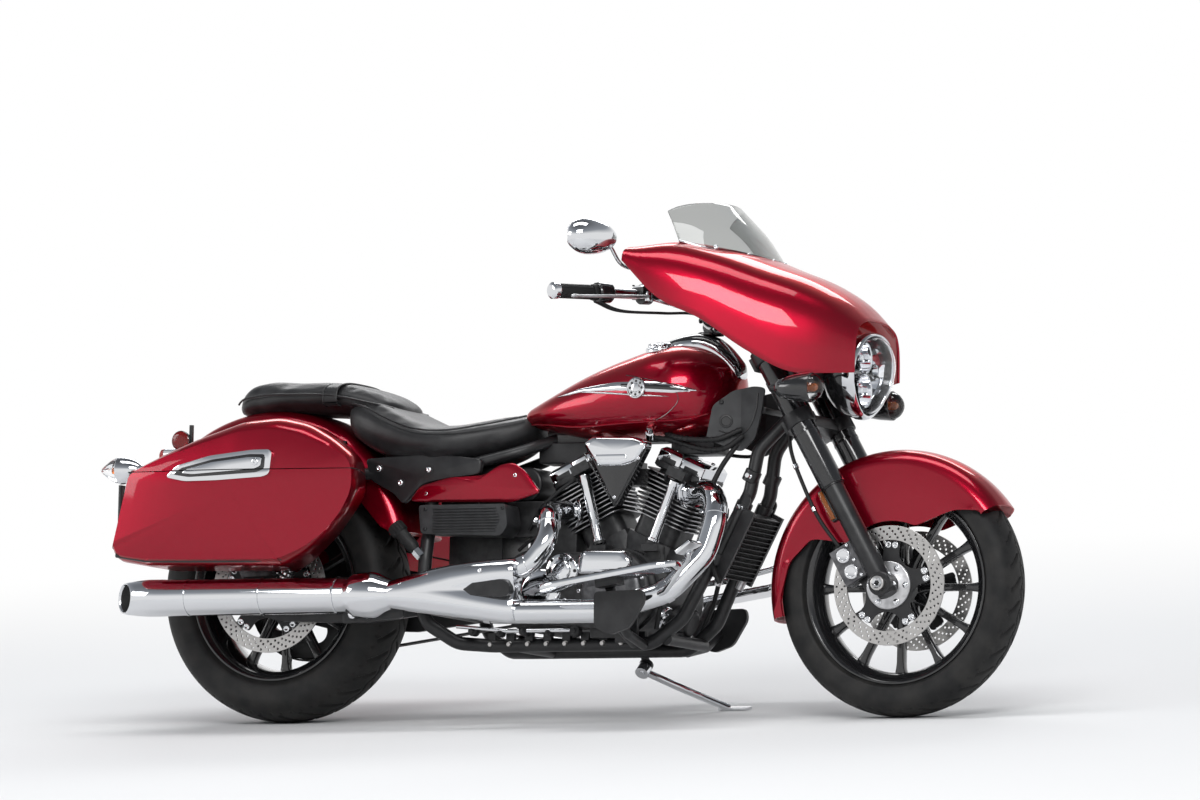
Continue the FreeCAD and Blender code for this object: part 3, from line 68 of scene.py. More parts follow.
# The upright machine: millimetres, x forward, y to its left, z up, rear axle over
# x = 0 and the ground at z = 0. The frame holds it leaning on its stand, in metres.
WHEELBASE = 1715.0
REAR_AXLE_Z = 330.0
FRONT_AXLE_Z = 320.0
JOINTS = {joint["name"]: joint for joint in frame["record"]["behaviour"]["joints"]}
WHEEL_AXIS = Vector(JOINTS["rear_wheel_spin"]["axis"])
LEAN = math.atan2(WHEEL_AXIS.z, WHEEL_AXIS.y)
TILT = Matrix.Rotation(LEAN, 4, "X")
PARKED_HUB = Vector(JOINTS["rear_wheel_spin"]["pos_m"])
SHIFT = PARKED_HUB - TILT @ Vector((0, 0, REAR_AXLE_Z / 1000))
TO_ROW = Matrix.Translation(SHIFT) @ TILT @ Matrix.Scale(0.001, 4)
RAKE = math.radians(30)
UP = Vector((-math.sin(RAKE), 0, math.cos(RAKE)))
AHEAD = Vector((math.cos(RAKE), 0, math.sin(RAKE)))
RAKE_TURN = Matrix.Rotation(-RAKE, 3, "Y")
SIDES = ((-1, "right"), (1, "left"))


def fork_point(along, ahead=0.0, side=0.0):
    """A point by its place along the fork, ahead of it and to its side, from the axle."""
    return Vector((WHEELBASE, side, FRONT_AXLE_Z)) + UP * along + AHEAD * ahead


# Camera, floor and light

CAMERA_AZIMUTH = math.radians(25.787)
CAMERA_ELEVATION = math.radians(2.671)
CAMERA_ROLL = math.radians(-2.587)
CAMERA_DISTANCE = 28.0
CAMERA_TARGET = Vector((0.922576, 0.012202, 0.801993))
FOCAL_PIXELS = 11183.878
PHOTO_WIDTH = 1200
SENSOR = 36.0


def make_camera():
    """The photo's camera, by its angles about the machine."""
    data = bpy.data.cameras.new("photo_camera")
    data.sensor_width = SENSOR
    data.lens = FOCAL_PIXELS / PHOTO_WIDTH * SENSOR
    data.clip_start = 0.5
    data.clip_end = 200
    camera = bpy.data.objects.new("photo_camera", data)
    bpy.context.scene.collection.objects.link(camera)
    back = Vector((math.sin(CAMERA_AZIMUTH) * math.cos(CAMERA_ELEVATION),
                   -math.cos(CAMERA_AZIMUTH) * math.cos(CAMERA_ELEVATION),
                   math.sin(CAMERA_ELEVATION)))
    right = Vector((math.cos(CAMERA_AZIMUTH), math.sin(CAMERA_AZIMUTH), 0))
    up = back.cross(right)
    turned_right = right * math.cos(CAMERA_ROLL) + up * math.sin(CAMERA_ROLL)
    turned_up = back.cross(turned_right)
    target = SHIFT + CAMERA_TARGET
    place = Matrix((turned_right, turned_up, back)).transposed().to_4x4()
    camera.matrix_world = Matrix.Translation(target + back * CAMERA_DISTANCE) @ place
    bpy.context.scene.camera = camera


def make_floor(paint):
    """A wide floor at the ground's level."""
    mesh = bpy.data.meshes.new("floor")
    reach = 60.0
    mesh.from_pydata([(-reach, -reach, 0), (reach, -reach, 0), (reach, reach, 0),
                      (-reach, reach, 0)], [], [(0, 1, 2, 3)])
    floor = bpy.data.objects.new("floor", mesh)
    bpy.context.scene.collection.objects.link(floor)
    mesh.materials.append(paint)


def area_light(name, place, aim, size, power):
    data = bpy.data.lights.new(name, "AREA")
    data.shape = "RECTANGLE"
    data.size, data.size_y = size
    data.energy = power
    lamp = bpy.data.objects.new(name, data)
    lamp.location = place
    lamp.rotation_euler = (Vector(aim) - Vector(place)).to_track_quat("-Z", "Y").to_euler()
    bpy.context.scene.collection.objects.link(lamp)


def shown_ray(tree):
    """One for a ray that shows the background: from the camera, a mirror or glass."""
    path = tree.nodes.new("ShaderNodeLightPath")
    total = path.outputs["Is Camera Ray"]
    for kind in ("Is Glossy Ray", "Is Transmission Ray"):
        larger = tree.nodes.new("ShaderNodeMath")
        larger.operation = "MAXIMUM"
        tree.links.new(total, larger.inputs[0])
        tree.links.new(path.outputs[kind], larger.inputs[1])
        total = larger.outputs[0]
    return total


def make_light():
    """Four lamps, a pale background that mirrors and glass show, and a plain world."""
    area_light("key", (3.0, -6.0, 5.0), (0, 0, 0.5), (4.0, 2.0), 300)
    area_light("fill", (-6.0, -4.0, 3.2), (0, 0, 0.6), (3.0, 2.0), 90)
    area_light("rim", (-2.0, 6.0, 5.0), (0, 0, 0.6), (6.0, 2.0), 240)
    area_light("top", (0.2, -0.6, 6.5), (0, 0, 0.4), (6.0, 2.0), 190)
    world = bpy.data.worlds.new("studio")
    bpy.context.scene.world = world
    world.use_nodes = True
    tree = world.node_tree
    tree.nodes.clear()
    out = tree.nodes.new("ShaderNodeOutputWorld")
    plain = tree.nodes.new("ShaderNodeBackground")
    plain.inputs["Color"].default_value = (0.80, 0.84, 0.90, 1)
    plain.inputs["Strength"].default_value = 0.42
    seen = tree.nodes.new("ShaderNodeBackground")
    seen.inputs["Strength"].default_value = 1.0
    ramp = tree.nodes.new("ShaderNodeValToRGB")
    ramp.color_ramp.elements[0].position = 0.62
    ramp.color_ramp.elements[0].color = (1, 1, 1, 1)
    ramp.color_ramp.elements[1].position = 0.98
    ramp.color_ramp.elements[1].color = (0.10, 0.105, 0.115, 1)
    upper = ramp.color_ramp.elements.new(0.74)
    upper.color = (0.34, 0.36, 0.39, 1)
    coords = tree.nodes.new("ShaderNodeTexCoord")
    split = tree.nodes.new("ShaderNodeSeparateXYZ")
    lift = tree.nodes.new("ShaderNodeMath")
    lift.operation = "MULTIPLY_ADD"
    lift.inputs[1].default_value = 0.5
    lift.inputs[2].default_value = 0.5
    final = tree.nodes.new("ShaderNodeMixShader")
    link = tree.links.new
    link(coords.outputs["Generated"], split.inputs[0])
    link(split.outputs["Z"], lift.inputs[0])
    link(lift.outputs[0], ramp.inputs[0])
    link(ramp.outputs[0], seen.inputs["Color"])
    link(shown_ray(tree), final.inputs[0])
    link(plain.outputs[0], final.inputs[1])
    link(seen.outputs[0], final.inputs[2])
    link(final.outputs[0], out.inputs["Surface"])


# Materials

def material(name, color, metallic=0.0, roughness=0.4, coat=0.0, coat_roughness=0.03,
             transmission=0.0, ior=1.45, specular=0.5, sheen=0.0):
    """A Principled material."""
    paint = bpy.data.materials.new(name)
    paint.use_nodes = True
    shader = paint.node_tree.nodes["Principled BSDF"]
    shader.inputs["Base Color"].default_value = (*color, 1)
    shader.inputs["Metallic"].default_value = metallic
    shader.inputs["Roughness"].default_value = roughness
    shader.inputs["Coat Weight"].default_value = coat
    shader.inputs["Coat Roughness"].default_value = coat_roughness
    shader.inputs["Transmission Weight"].default_value = transmission
    shader.inputs["IOR"].default_value = ior
    shader.inputs["Specular IOR Level"].default_value = specular
    shader.inputs["Sheen Weight"].default_value = sheen
    return paint


def noise(paint, scale, detail=3.0, kind="ShaderNodeTexNoise"):
    """The value of a texture over the object's own coordinates."""
    tree = paint.node_tree
    coords = tree.nodes.new("ShaderNodeTexCoord")
    texture = tree.nodes.new(kind)
    texture.inputs["Scale"].default_value = scale
    if "Detail" in texture.inputs:
        texture.inputs["Detail"].default_value = detail
    tree.links.new(coords.outputs["Object"], texture.inputs["Vector"])
    return texture.outputs[0]


def spread(paint, value, low, high, span=(0.3, 0.7)):
    """Map a texture value to a range."""
    node = paint.node_tree.nodes.new("ShaderNodeMapRange")
    node.inputs["From Min"].default_value = span[0]
    node.inputs["From Max"].default_value = span[1]
    node.inputs["To Min"].default_value = low
    node.inputs["To Max"].default_value = high
    paint.node_tree.links.new(value, node.inputs["Value"])
    return node.outputs[0]


def shader_of(paint):
    return paint.node_tree.nodes["Principled BSDF"]


def rough_noise(paint, scale, low, high):
    """Vary the roughness between two values with a noise."""
    value = spread(paint, noise(paint, scale, 4.0), low, high)
    paint.node_tree.links.new(value, shader_of(paint).inputs["Roughness"])
    return paint


def tint(paint, scale, dark, light, detail=3.0):
    """Vary the base colour between two colours with a noise."""
    tree = paint.node_tree
    share = spread(paint, noise(paint, scale, detail), 0.0, 1.0, (0.35, 0.65))
    mix = tree.nodes.new("ShaderNodeMix")
    mix.data_type = "RGBA"
    mix.inputs["A"].default_value = (*dark, 1)
    mix.inputs["B"].default_value = (*light, 1)
    tree.links.new(share, mix.inputs["Factor"])
    tree.links.new(mix.outputs["Result"], shader_of(paint).inputs["Base Color"])
    return paint


def bump(paint, height, strength, distance):
    """Raise the surface's shading by a height value."""
    tree = paint.node_tree
    node = tree.nodes.new("ShaderNodeBump")
    node.inputs["Strength"].default_value = strength
    node.inputs["Distance"].default_value = distance
    tree.links.new(height, node.inputs["Height"])
    tree.links.new(node.outputs["Normal"], shader_of(paint).inputs["Normal"])
    return paint


def grain(paint, scale, strength, distance=0.0004, detail=4.0, kind="ShaderNodeTexNoise"):
    """A fine noise as bump."""
    return bump(paint, noise(paint, scale, detail, kind), strength, distance)


def candy_red():
    """Deep red over fine metal flake, under a clear coat."""
    paint = material("candy_red", (0.36, 0.002, 0.016), metallic=0.78, roughness=0.30, coat=0.6)
    shader_of(paint).inputs["Specular Tint"].default_value = (0.8, 0.12, 0.16, 1)
    tint(paint, 2600, (0.19, 0.001, 0.008), (0.37, 0.002, 0.022), 1.0)
    grain(paint, 3200, 0.10, 0.00006, 1.0)
    return paint


def chrome():
    paint = material("chrome", (0.70, 0.71, 0.73), metallic=1.0, roughness=0.05)
    rough_noise(paint, 34, 0.035, 0.085)
    return paint


def black_gloss():
    paint = material("black_gloss", (0.010, 0.010, 0.011), roughness=0.16, coat=0.7)
    rough_noise(paint, 45, 0.12, 0.22)
    return grain(paint, 420, 0.03, 0.0002)


def black_satin():
    paint = material("black_satin", (0.014, 0.014, 0.015), roughness=0.38, specular=0.5)
    tint(paint, 26, (0.010, 0.010, 0.011), (0.020, 0.020, 0.021))
    return grain(paint, 900, 0.08, 0.0002)


def engine_black():
    """Wrinkle-painted casting."""
    paint = material("engine_black", (0.016, 0.016, 0.017), roughness=0.44, specular=0.55)
    tint(paint, 60, (0.010, 0.010, 0.011), (0.026, 0.026, 0.027))
    return grain(paint, 1500, 0.22, 0.0004)


def cast_aluminium():
    paint = material("cast_aluminium", (0.52, 0.52, 0.53), metallic=1.0, roughness=0.36)
    tint(paint, 40, (0.40, 0.40, 0.41), (0.60, 0.60, 0.61))
    return grain(paint, 1100, 0.14, 0.0003)


def grey_casting():
    paint = material("grey_casting", (0.11, 0.11, 0.115), metallic=0.75, roughness=0.40)
    tint(paint, 50, (0.08, 0.08, 0.085), (0.15, 0.15, 0.155))
    return grain(paint, 900, 0.12, 0.0003)


def disc_steel():
    """Ground steel with fine rings from the pads."""
    paint = material("disc_steel", (0.50, 0.49, 0.48), metallic=1.0, roughness=0.30)
    tint(paint, 1500, (0.44, 0.43, 0.42), (0.52, 0.51, 0.50))
    return grain(paint, 2400, 0.10, 0.0001)


def tyre_rubber():
    paint = material("tyre_rubber", (0.012, 0.012, 0.0125), roughness=0.62, specular=0.35)
    tint(paint, 18, (0.008, 0.008, 0.0085), (0.022, 0.021, 0.020), 5.0)
    return grain(paint, 1300, 0.20, 0.0004)


def rubber():
    paint = material("soft_rubber", (0.013, 0.013, 0.0135), roughness=0.55, specular=0.35)
    rough_noise(paint, 90, 0.48, 0.62)
    return grain(paint, 1600, 0.12, 0.0003)


def leather():
    """Black vinyl with a pebbled grain."""
    paint = material("leather", (0.013, 0.013, 0.014), roughness=0.42, specular=0.45, sheen=0.04)
    tint(paint, 22, (0.009, 0.009, 0.010), (0.019, 0.019, 0.020), 4.0)
    tree = paint.node_tree
    cells = noise(paint, 620, 2.0, "ShaderNodeTexVoronoi")
    folds = noise(paint, 55, 4.0)
    join = tree.nodes.new("ShaderNodeMath")
    join.operation = "MULTIPLY_ADD"
    join.inputs[1].default_value = 0.5
    tree.links.new(cells, join.inputs[0])
    tree.links.new(folds, join.inputs[2])
    return bump(paint, join.outputs[0], 0.35, 0.0006)


def clear_glass(name="clear_glass", color=(0.97, 0.98, 0.99), ior=1.45):
    return material(name, color, roughness=0.0, transmission=1.0, ior=ior)


def screen_tint():
    """The windscreen's lightly smoked acrylic."""
    return clear_glass("smoked_acrylic", (0.48, 0.49, 0.48))


def colored_lens(name, color):
    paint = material(name, color, roughness=0.12, transmission=0.75, ior=1.49)
    return grain(paint, 260, 0.2, 0.001, 0.0, "ShaderNodeTexVoronoi")


def grey_plastic():
    paint = material("grey_plastic", (0.024, 0.0245, 0.026), roughness=0.5)
    tint(paint, 30, (0.018, 0.0185, 0.02), (0.032, 0.033, 0.035))
    return grain(paint, 1800, 0.25, 0.0004)


def mirror_glass():
    paint = material("mirror_glass", (0.9, 0.9, 0.92), metallic=1.0, roughness=0.02)
    return rough_noise(paint, 20, 0.012, 0.03)


def lamp_bowl():
    """The headlamp reflector's metal in a darker copy, painted shade on every other facet and on the
    bowl's floor.
    """
    paint = material("lamp_bowl", (0.16, 0.165, 0.175), metallic=1.0, roughness=0.2)
    return rough_noise(paint, 60, 0.15, 0.25)


def dial_paint(name, color, roughness, dark, light):
    return tint(material(name, color, roughness=roughness), 90, dark, light)


def floor_paint():
    """A pale matt floor that turns to plain white away from the machine."""
    paint = bpy.data.materials.new("floor_paint")
    paint.use_nodes = True
    tree = paint.node_tree
    tree.nodes.clear()
    out = tree.nodes.new("ShaderNodeOutputMaterial")
    near = tree.nodes.new("ShaderNodeBsdfDiffuse")
    near.inputs["Color"].default_value = (0.74, 0.74, 0.74, 1)
    far = tree.nodes.new("ShaderNodeEmission")
    far.inputs["Color"].default_value = (1, 1, 1, 1)
    far.inputs["Strength"].default_value = 1.0
    coords = tree.nodes.new("ShaderNodeTexCoord")
    reach = tree.nodes.new("ShaderNodeVectorMath")
    reach.operation = "LENGTH"
    share = tree.nodes.new("ShaderNodeMapRange")
    share.interpolation_type = "SMOOTHSTEP"
    share.inputs["From Min"].default_value = 1.6
    share.inputs["From Max"].default_value = 7.0
    mix = tree.nodes.new("ShaderNodeMixShader")
    shown = tree.nodes.new("ShaderNodeMath")
    shown.operation = "MULTIPLY"
    tree.links.new(coords.outputs["Object"], reach.inputs[0])
    tree.links.new(reach.outputs["Value"], share.inputs["Value"])
    tree.links.new(share.outputs[0], shown.inputs[0])
    tree.links.new(shown_ray(tree), shown.inputs[1])
    tree.links.new(shown.outputs[0], mix.inputs[0])
    tree.links.new(near.outputs[0], mix.inputs[1])
    tree.links.new(far.outputs[0], mix.inputs[2])
    tree.links.new(mix.outputs[0], out.inputs["Surface"])
    return paint


bpy.context.scene.view_settings.view_transform = "Standard"
make_camera()
make_light()
make_floor(floor_paint())
RED = candy_red()
CHROME = chrome()
GLOSS = black_gloss()
SATIN = black_satin()
ENGINE = engine_black()
ALLOY = cast_aluminium()
CASTING = grey_casting()
STEEL = disc_steel()
TYRE = tyre_rubber()
RUBBER = rubber()
LEATHER = leather()
GLASS = clear_glass()
SMOKED = screen_tint()
AMBER = colored_lens("amber_lens", (0.85, 0.22, 0.02))
RED_LENS = colored_lens("red_lens", (0.55, 0.01, 0.01))
PLASTIC = grey_plastic()
MIRROR = mirror_glass()
LAMP_GLASS = clear_glass("lamp_glass", ior=1.1)
SHADED_BOWL = lamp_bowl()
DARK = material("shadow_gap", (0.004, 0.004, 0.004), roughness=0.7)
NEEDLE = dial_paint("gauge_needle", (0.72, 0.05, 0.02), 0.4, (0.66, 0.04, 0.02), (0.78, 0.07, 0.03))
MARKS = dial_paint("gauge_marks", (0.72, 0.72, 0.70), 0.5, (0.68, 0.68, 0.66), (0.76, 0.76, 0.74))


# Mesh tools: all is drawn in upright millimetres and set in the row frame at the end

ACROSS = Vector((0, 1, 0))
FORWARD = Vector((1, 0, 0))
UPWARD = Vector((0, 0, 1))
SHARP = 34.0


class Form:
    """Points and faces in upright millimetres, each face in one of the form's paints."""

    def __init__(self):
        self.points = []
        self.faces = []
        self.paints = []
        self.marks = []

    def add(self, points, faces, paint):
        start = len(self.points)
        if paint not in self.paints:
            self.paints.append(paint)
        mark = self.paints.index(paint)
        self.points += [tuple(point) for point in points]
        self.faces += [tuple(start + corner for corner in face) for face in faces]
        self.marks += [mark] * len(faces)
        return self

    def mesh(self, name):
        mesh = bpy.data.meshes.new(name)
        mesh.from_pydata(self.points, [], self.faces)
        for paint in self.paints:
            mesh.materials.append(paint)
        mesh.polygons.foreach_set("material_index", self.marks)
        mesh.update()
        return mesh


def linked(name, mesh):
    """A new object in the scene."""
    obj = bpy.data.objects.new(name, mesh)
    bpy.context.scene.collection.objects.link(obj)
    return obj


def applied(obj):
    """The object's mesh with its modifiers in it."""
    bpy.context.view_layer.update()
    result = bpy.data.meshes.new_from_object(obj.evaluated_get(
        bpy.context.evaluated_depsgraph_get()))
    obj.modifiers.clear()
    old = obj.data
    obj.data = result
    bpy.data.meshes.remove(old)
    return obj


def welded(mesh, distance=0.02):
    """Join near points, and turn the faces outward."""
    work = bmesh.new()
    work.from_mesh(mesh)
    bmesh.ops.remove_doubles(work, verts=work.verts, dist=distance)
    bmesh.ops.recalc_face_normals(work, faces=work.faces)
    work.to_mesh(mesh)
    work.free()


def rounded(obj, width, segments=2, angle=32.0):
    """Round the edges of a solid."""
    bevel = obj.modifiers.new("bevel", "BEVEL")
    bevel.width = width
    bevel.segments = segments
    bevel.limit_method = "ANGLE"
    bevel.angle_limit = math.radians(angle)
    bevel.harden_normals = False
    return applied(obj)


def carved(obj, *cutters):
    """Cut closed forms out of a solid."""
    for cutter in cutters:
        tool = linked("cutter", cutter.mesh("cutter"))
        welded(tool.data)
        boolean = obj.modifiers.new("boolean", "BOOLEAN")
        boolean.operation = "DIFFERENCE"
        boolean.solver = "EXACT"
        boolean.object = tool
        applied(obj)
        bpy.data.objects.remove(tool)
    return obj


def solid(name, form, width=0.0, segments=2):
    """A loose object, still in upright millimetres, from a closed form."""
    obj = linked(name, form.mesh(name))
    welded(obj.data)
    if width:
        rounded(obj, width, segments)
    return obj


def seat(obj, body, nodes=(), sharp=SHARP):
    """Set a piece drawn in upright millimetres in the row frame, on its body."""
    mesh = obj.data
    mesh.transform(TO_ROW)
    mesh.polygons.foreach_set("use_smooth", [True] * len(mesh.polygons))
    mesh.set_sharp_from_angle(angle=math.radians(sharp))
    mesh.update()
    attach(obj, body)
    if nodes:
        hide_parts(*nodes)
    return obj


def piece(name, form, body, nodes=(), width=0.0, segments=2, sharp=SHARP):
    """A finished piece from a form, its edges rounded by a width."""
    return seat(solid(name, form, width, segments), body, nodes, sharp)


def walled(obj, thickness, offset=-1.0):
    """Give a skin a wall."""
    wall = obj.modifiers.new("wall", "SOLIDIFY")
    wall.thickness = thickness
    wall.offset = offset
    return applied(obj)


def turns(count, start=0.0):
    """The angles of places spaced evenly round a circle, the first a share of a step on."""
    return [2 * math.pi * (index + start) / count for index in range(count)]


def smooth_line(points, count, closed=False):
    """A smooth curve through points of any dimension, evenly sampled by its length."""
    points = np.array(points, float)
    if closed:
        around = np.vstack([points[-1], points, points[0], points[1]])
    else:
        around = np.vstack([2 * points[0] - points[1], points, 2 * points[-1] - points[-2]])
    fine = []
    for a, b, c, d in zip(around, around[1:], around[2:], around[3:]):
        for t in np.linspace(0, 1, 24, endpoint=False):
            fine.append(0.5 * ((2 * b) + (c - a) * t + (2 * a - 5 * b + 4 * c - d) * t * t
                               + (3 * b - a - 3 * c + d) * t ** 3))
    fine.append(points[0] if closed else points[-1])
    fine = np.array(fine)
    run = np.concatenate([[0], np.cumsum(np.linalg.norm(np.diff(fine, axis=0), axis=1))])
    want = np.linspace(0, run[-1], count, endpoint=not closed)
    return np.stack([np.interp(want, run, fine[:, i]) for i in range(fine.shape[1])], axis=1)


def through(xs, table):
    """Values at xs on smooth curves through the rows of a table whose first column is x."""
    table = np.array(sorted(table), float)
    knots = table[:, 0]
    slopes = np.gradient(table[:, 1:], knots, axis=0)
    rows = []
    for x in xs:
        x = min(max(x, knots[0]), knots[-1])
        index = min(max(int(np.searchsorted(knots, x, side="right")) - 1, 0), len(knots) - 2)
        width = knots[index + 1] - knots[index]
        t = (x - knots[index]) / width
        a, b = table[index, 1:], table[index + 1, 1:]
        low, high = slopes[index] * width, slopes[index + 1] * width
        rows.append((2 * t ** 3 - 3 * t ** 2 + 1) * a + (t ** 3 - 2 * t ** 2 + t) * low
                    + (3 * t ** 2 - 2 * t ** 3) * b + (t ** 3 - t ** 2) * high)
    return rows


def grid_faces(rows, columns, wrap=True, loop=False):
    """Quads over a grid of rows, closed round each row and maybe from last row to first."""
    faces = []
    for row in range(rows if loop else rows - 1):
        following = (row + 1) % rows
        for column in range(columns if wrap else columns - 1):
            beside = (column + 1) % columns
            faces.append((row * columns + column, row * columns + beside,
                          following * columns + beside, following * columns + column))
    return faces


def skin(form, rings, paint, caps=True, loop=False):
    """A tube of skin through rings of equal point counts."""
    count = len(rings[0])
    points = [point for ring in rings for point in ring]
    faces = grid_faces(len(rings), count, True, loop)
    if caps and not loop:
        for row in (0, len(rings) - 1):
            middle = np.mean(np.array(rings[row], float), axis=0)
            centre = len(points)
            points.append(tuple(middle))
            for column in range(count):
                faces.append((centre, row * count + column, row * count + (column + 1) % count))
    return form.add(points, faces, paint)


def frame_at(direction, hint=UPWARD):
    """Two axes square to a direction."""
    direction = Vector(direction).normalized()
    if abs(direction.dot(hint)) > 0.95:
        hint = FORWARD
    side = direction.cross(hint).normalized()
    return side, side.cross(direction).normalized()


def lathe(form, profile, base, direction, paint, steps=64, caps=False):
    """Turn (along, radius) stations about an axis."""
    direction = Vector(direction).normalized()
    side, lift = frame_at(direction)
    rings = []
    for along, radius in profile:
        rings.append([Vector(base) + direction * along + side * (radius * math.cos(angle))
                      + lift * (radius * math.sin(angle)) for angle in turns(steps)])
    return skin(form, rings, paint, caps)


def wheel_ring(form, profile, centre, paint, steps):
    """Turn a closed outline of (radius, y) about the y axis."""
    rings = [[centre + Vector((r * math.cos(angle), y, r * math.sin(angle))) for r, y in profile]
             for angle in turns(steps)]
    return skin(form, rings, paint, False, True)


def bent(points, radius, chord=6.0):
    """Points along straight runs joined by round bends."""
    points = [Vector(point) for point in points]
    line = [points[0]]
    for before, corner, after in zip(points, points[1:], points[2:]):
        back = (before - corner).normalized()
        ahead = (after - corner).normalized()
        turn = math.pi - back.angle(ahead)
        if turn < 0.01:
            continue
        limit = 0.48 * min((before - corner).length, (after - corner).length)
        inset = min(radius * math.tan(turn / 2), limit)
        arc = inset / math.tan(turn / 2)
        centre = corner + (back + ahead).normalized() * (arc / math.cos(turn / 2))
        first = corner + back * inset - centre
        steps = max(2, round(math.degrees(turn) / chord))
        hinge = (-back).cross(ahead)
        for step in range(steps + 1):
            line.append(centre + Matrix.Rotation(turn * step / steps, 3, hinge) @ first)
    line.append(points[-1])
    return line


def pipe(form, line, radius, paint, sides=24, caps=True, flat=1.0):
    """A round bar along points; a number, or one radius for each point."""
    line = [Vector(point) for point in line]
    radii = radius if hasattr(radius, "__len__") else [radius] * len(line)
    heading = (line[1] - line[0]).normalized()
    side, lift = frame_at(heading)
    rings = []
    for index, point in enumerate(line):
        before = line[max(index - 1, 0)]
        after = line[min(index + 1, len(line) - 1)]
        following = (after - before).normalized()
        swing = heading.rotation_difference(following)
        side = swing @ side
        lift = swing @ lift
        heading = following
        rings.append([point + side * (radii[index] * math.cos(angle))
                      + lift * (radii[index] * flat * math.sin(angle)) for angle in turns(sides)])
    return skin(form, rings, paint, caps)


def bar(form, points, radius, paint, bend=60.0, sides=20):
    """A round bar along straight runs with round bends."""
    return pipe(form, bent(points, bend), radius, paint, sides)


def box(form, size, centre, paint, turn=Matrix.Identity(3)):
    """A plain block; its piece rounds the edges."""
    half = Vector(size) / 2
    corners = [Vector(centre) + turn @ Vector((sx * half.x, sy * half.y, sz * half.z))
               for sx in (-1, 1) for sy in (-1, 1) for sz in (-1, 1)]
    faces = [(0, 1, 3, 2), (4, 6, 7, 5), (0, 4, 5, 1), (2, 3, 7, 6), (0, 2, 6, 4), (1, 5, 7, 3)]
    return form.add(corners, faces, paint)


def circle(x, z, radius, count):
    """The (x, z) points of a circle."""
    return [(x + radius * math.cos(angle), z + radius * math.sin(angle))
            for angle in turns(count)]


def softened_corners(points, radius, steps=4):
    """A plane outline with its corners rounded."""
    result = []
    count = len(points)
    for index in range(count):
        corner = Vector(points[index])
        before = Vector(points[index - 1])
        after = Vector(points[(index + 1) % count])
        back = before - corner
        ahead = after - corner
        reach = min(radius, back.length * 0.45, ahead.length * 0.45)
        start = corner + back.normalized() * reach
        end = corner + ahead.normalized() * reach
        for step in range(steps + 1):
            t = step / steps
            result.append(tuple(start * (1 - t) ** 2 + corner * 2 * t * (1 - t) + end * t * t))
    return result


def clipped(outline, level, upper):
    """The part of an outline above or below a level."""
    result = []
    sign = 1 if upper else -1
    for (xa, za), (xb, zb) in zip(outline, outline[1:] + outline[:1]):
        first, second = (za - level) * sign, (zb - level) * sign
        if first >= 0:
            result.append((xa, za))
        if first * second < 0:
            share = first / (first - second)
            result.append((xa + (xb - xa) * share, level))
    return result


def drawn_in(outline, centre, reach, levels, place=lambda x, y, z: (x, y, z)):
    """Rings of an outline drawn in towards its centre: one for each (y, inset)."""
    return [[place(centre[0] + (x - centre[0]) * (1 - inset / reach[0]), y,
                   centre[1] + (z - centre[1]) * (1 - inset / reach[1])) for x, z in outline]
            for y, inset in levels]


def stepped_in(outline, centre, levels, share_of):
    """Rings of an outline stepped in by an inset all round: one for each (y, inset)."""
    rings = []
    for y, inset in levels:
        ring = []
        for x, z in outline:
            away = Vector((x - centre[0], z - centre[1]))
            share = share_of(away.length, inset)
            ring.append((centre[0] + away.x * share, y, centre[1] + away.y * share))
        rings.append(ring)
    return rings


def crosswise(y, x, z):
    """The place of a plate's point where the plate is square to the machine's length."""
    return x, y, z


def plate(form, outline, low, high, paint, holes=(), place=lambda x, y, z: (x, y, z)):
    """A plate through an outline of (x, z) points with convex holes, between two y."""
    low, high = sorted((low, high))
    loops = [list(outline)] + [list(hole) for hole in holes]
    flat = [Vector(point) for loop in loops for point in loop]
    edges = []
    owner = []
    for index, loop in enumerate(loops):
        start = len(owner)
        edges += [(start + i, start + (i + 1) % len(loop)) for i in range(len(loop))]
        owner += [index] * len(loop)
    corners, _, faces, origins, _, _ = delaunay_2d_cdt(flat, edges, [], 1, 1e-4)
    loop_of = [owner[origin[0]] if origin else 0 for origin in origins]
    faces = [face for face in faces
             if len({loop_of[corner] for corner in face}) > 1 or loop_of[face[0]] == 0]
    lower = [place(p.x, low, p.y) for p in corners]
    upper = [place(p.x, high, p.y) for p in corners]
    count = len(corners)
    form.add(lower + upper, [tuple(face) for face in faces]
             + [tuple(count + corner for corner in reversed(face)) for face in faces], paint)
    for loop in loops:
        near = [place(x, low, z) for x, z in loop]
        far = [place(x, high, z) for x, z in loop]
        form.add(near + far, grid_faces(2, len(loop)), paint)
    return form


def domed_plate(form, outline, y, side, reach, paint, draw, dome):
    """A side cover: upright walls, a round shoulder and a slightly domed face."""
    levels = [(0.0, 0.0), (reach - draw, 0.0), (reach - draw * 0.62, draw * 0.08),
              (reach - draw * 0.3, draw * 0.3), (reach - draw * 0.08, draw * 0.62),
              (reach, draw), (reach + dome * 0.4, draw * 3), (reach + dome, draw * 6)]
    skin(form, stepped_in(outline, np.mean(np.array(outline), axis=0),
                          [(y + side * along, inset) for along, inset in levels],
                          lambda length, inset: max(0.05, 1 - inset / max(length, 1))), paint)


def bolt(form, centre, direction, radius, paint):
    """A button-headed screw with a hexagon socket."""
    height = radius * 0.7
    lathe(form, [(-1.0, radius), (height * 0.45, radius), (height * 0.8, radius * 0.86),
                 (height, radius * 0.6), (height, radius * 0.42)], centre, direction, paint, 16)
    lathe(form, [(height, radius * 0.46), (height * 0.35, radius * 0.44),
                 (height * 0.35, 0.01)], centre, direction, paint, 6)


def bolt_circle(form, centre, radius, count, direction, size, paint, start=0.0):
    """Screws on a circle about an axis across the machine."""
    for angle in turns(count, start):
        bolt(form, (centre[0] + radius * math.cos(angle), centre[1],
                    centre[2] + radius * math.sin(angle)), direction, size, paint)


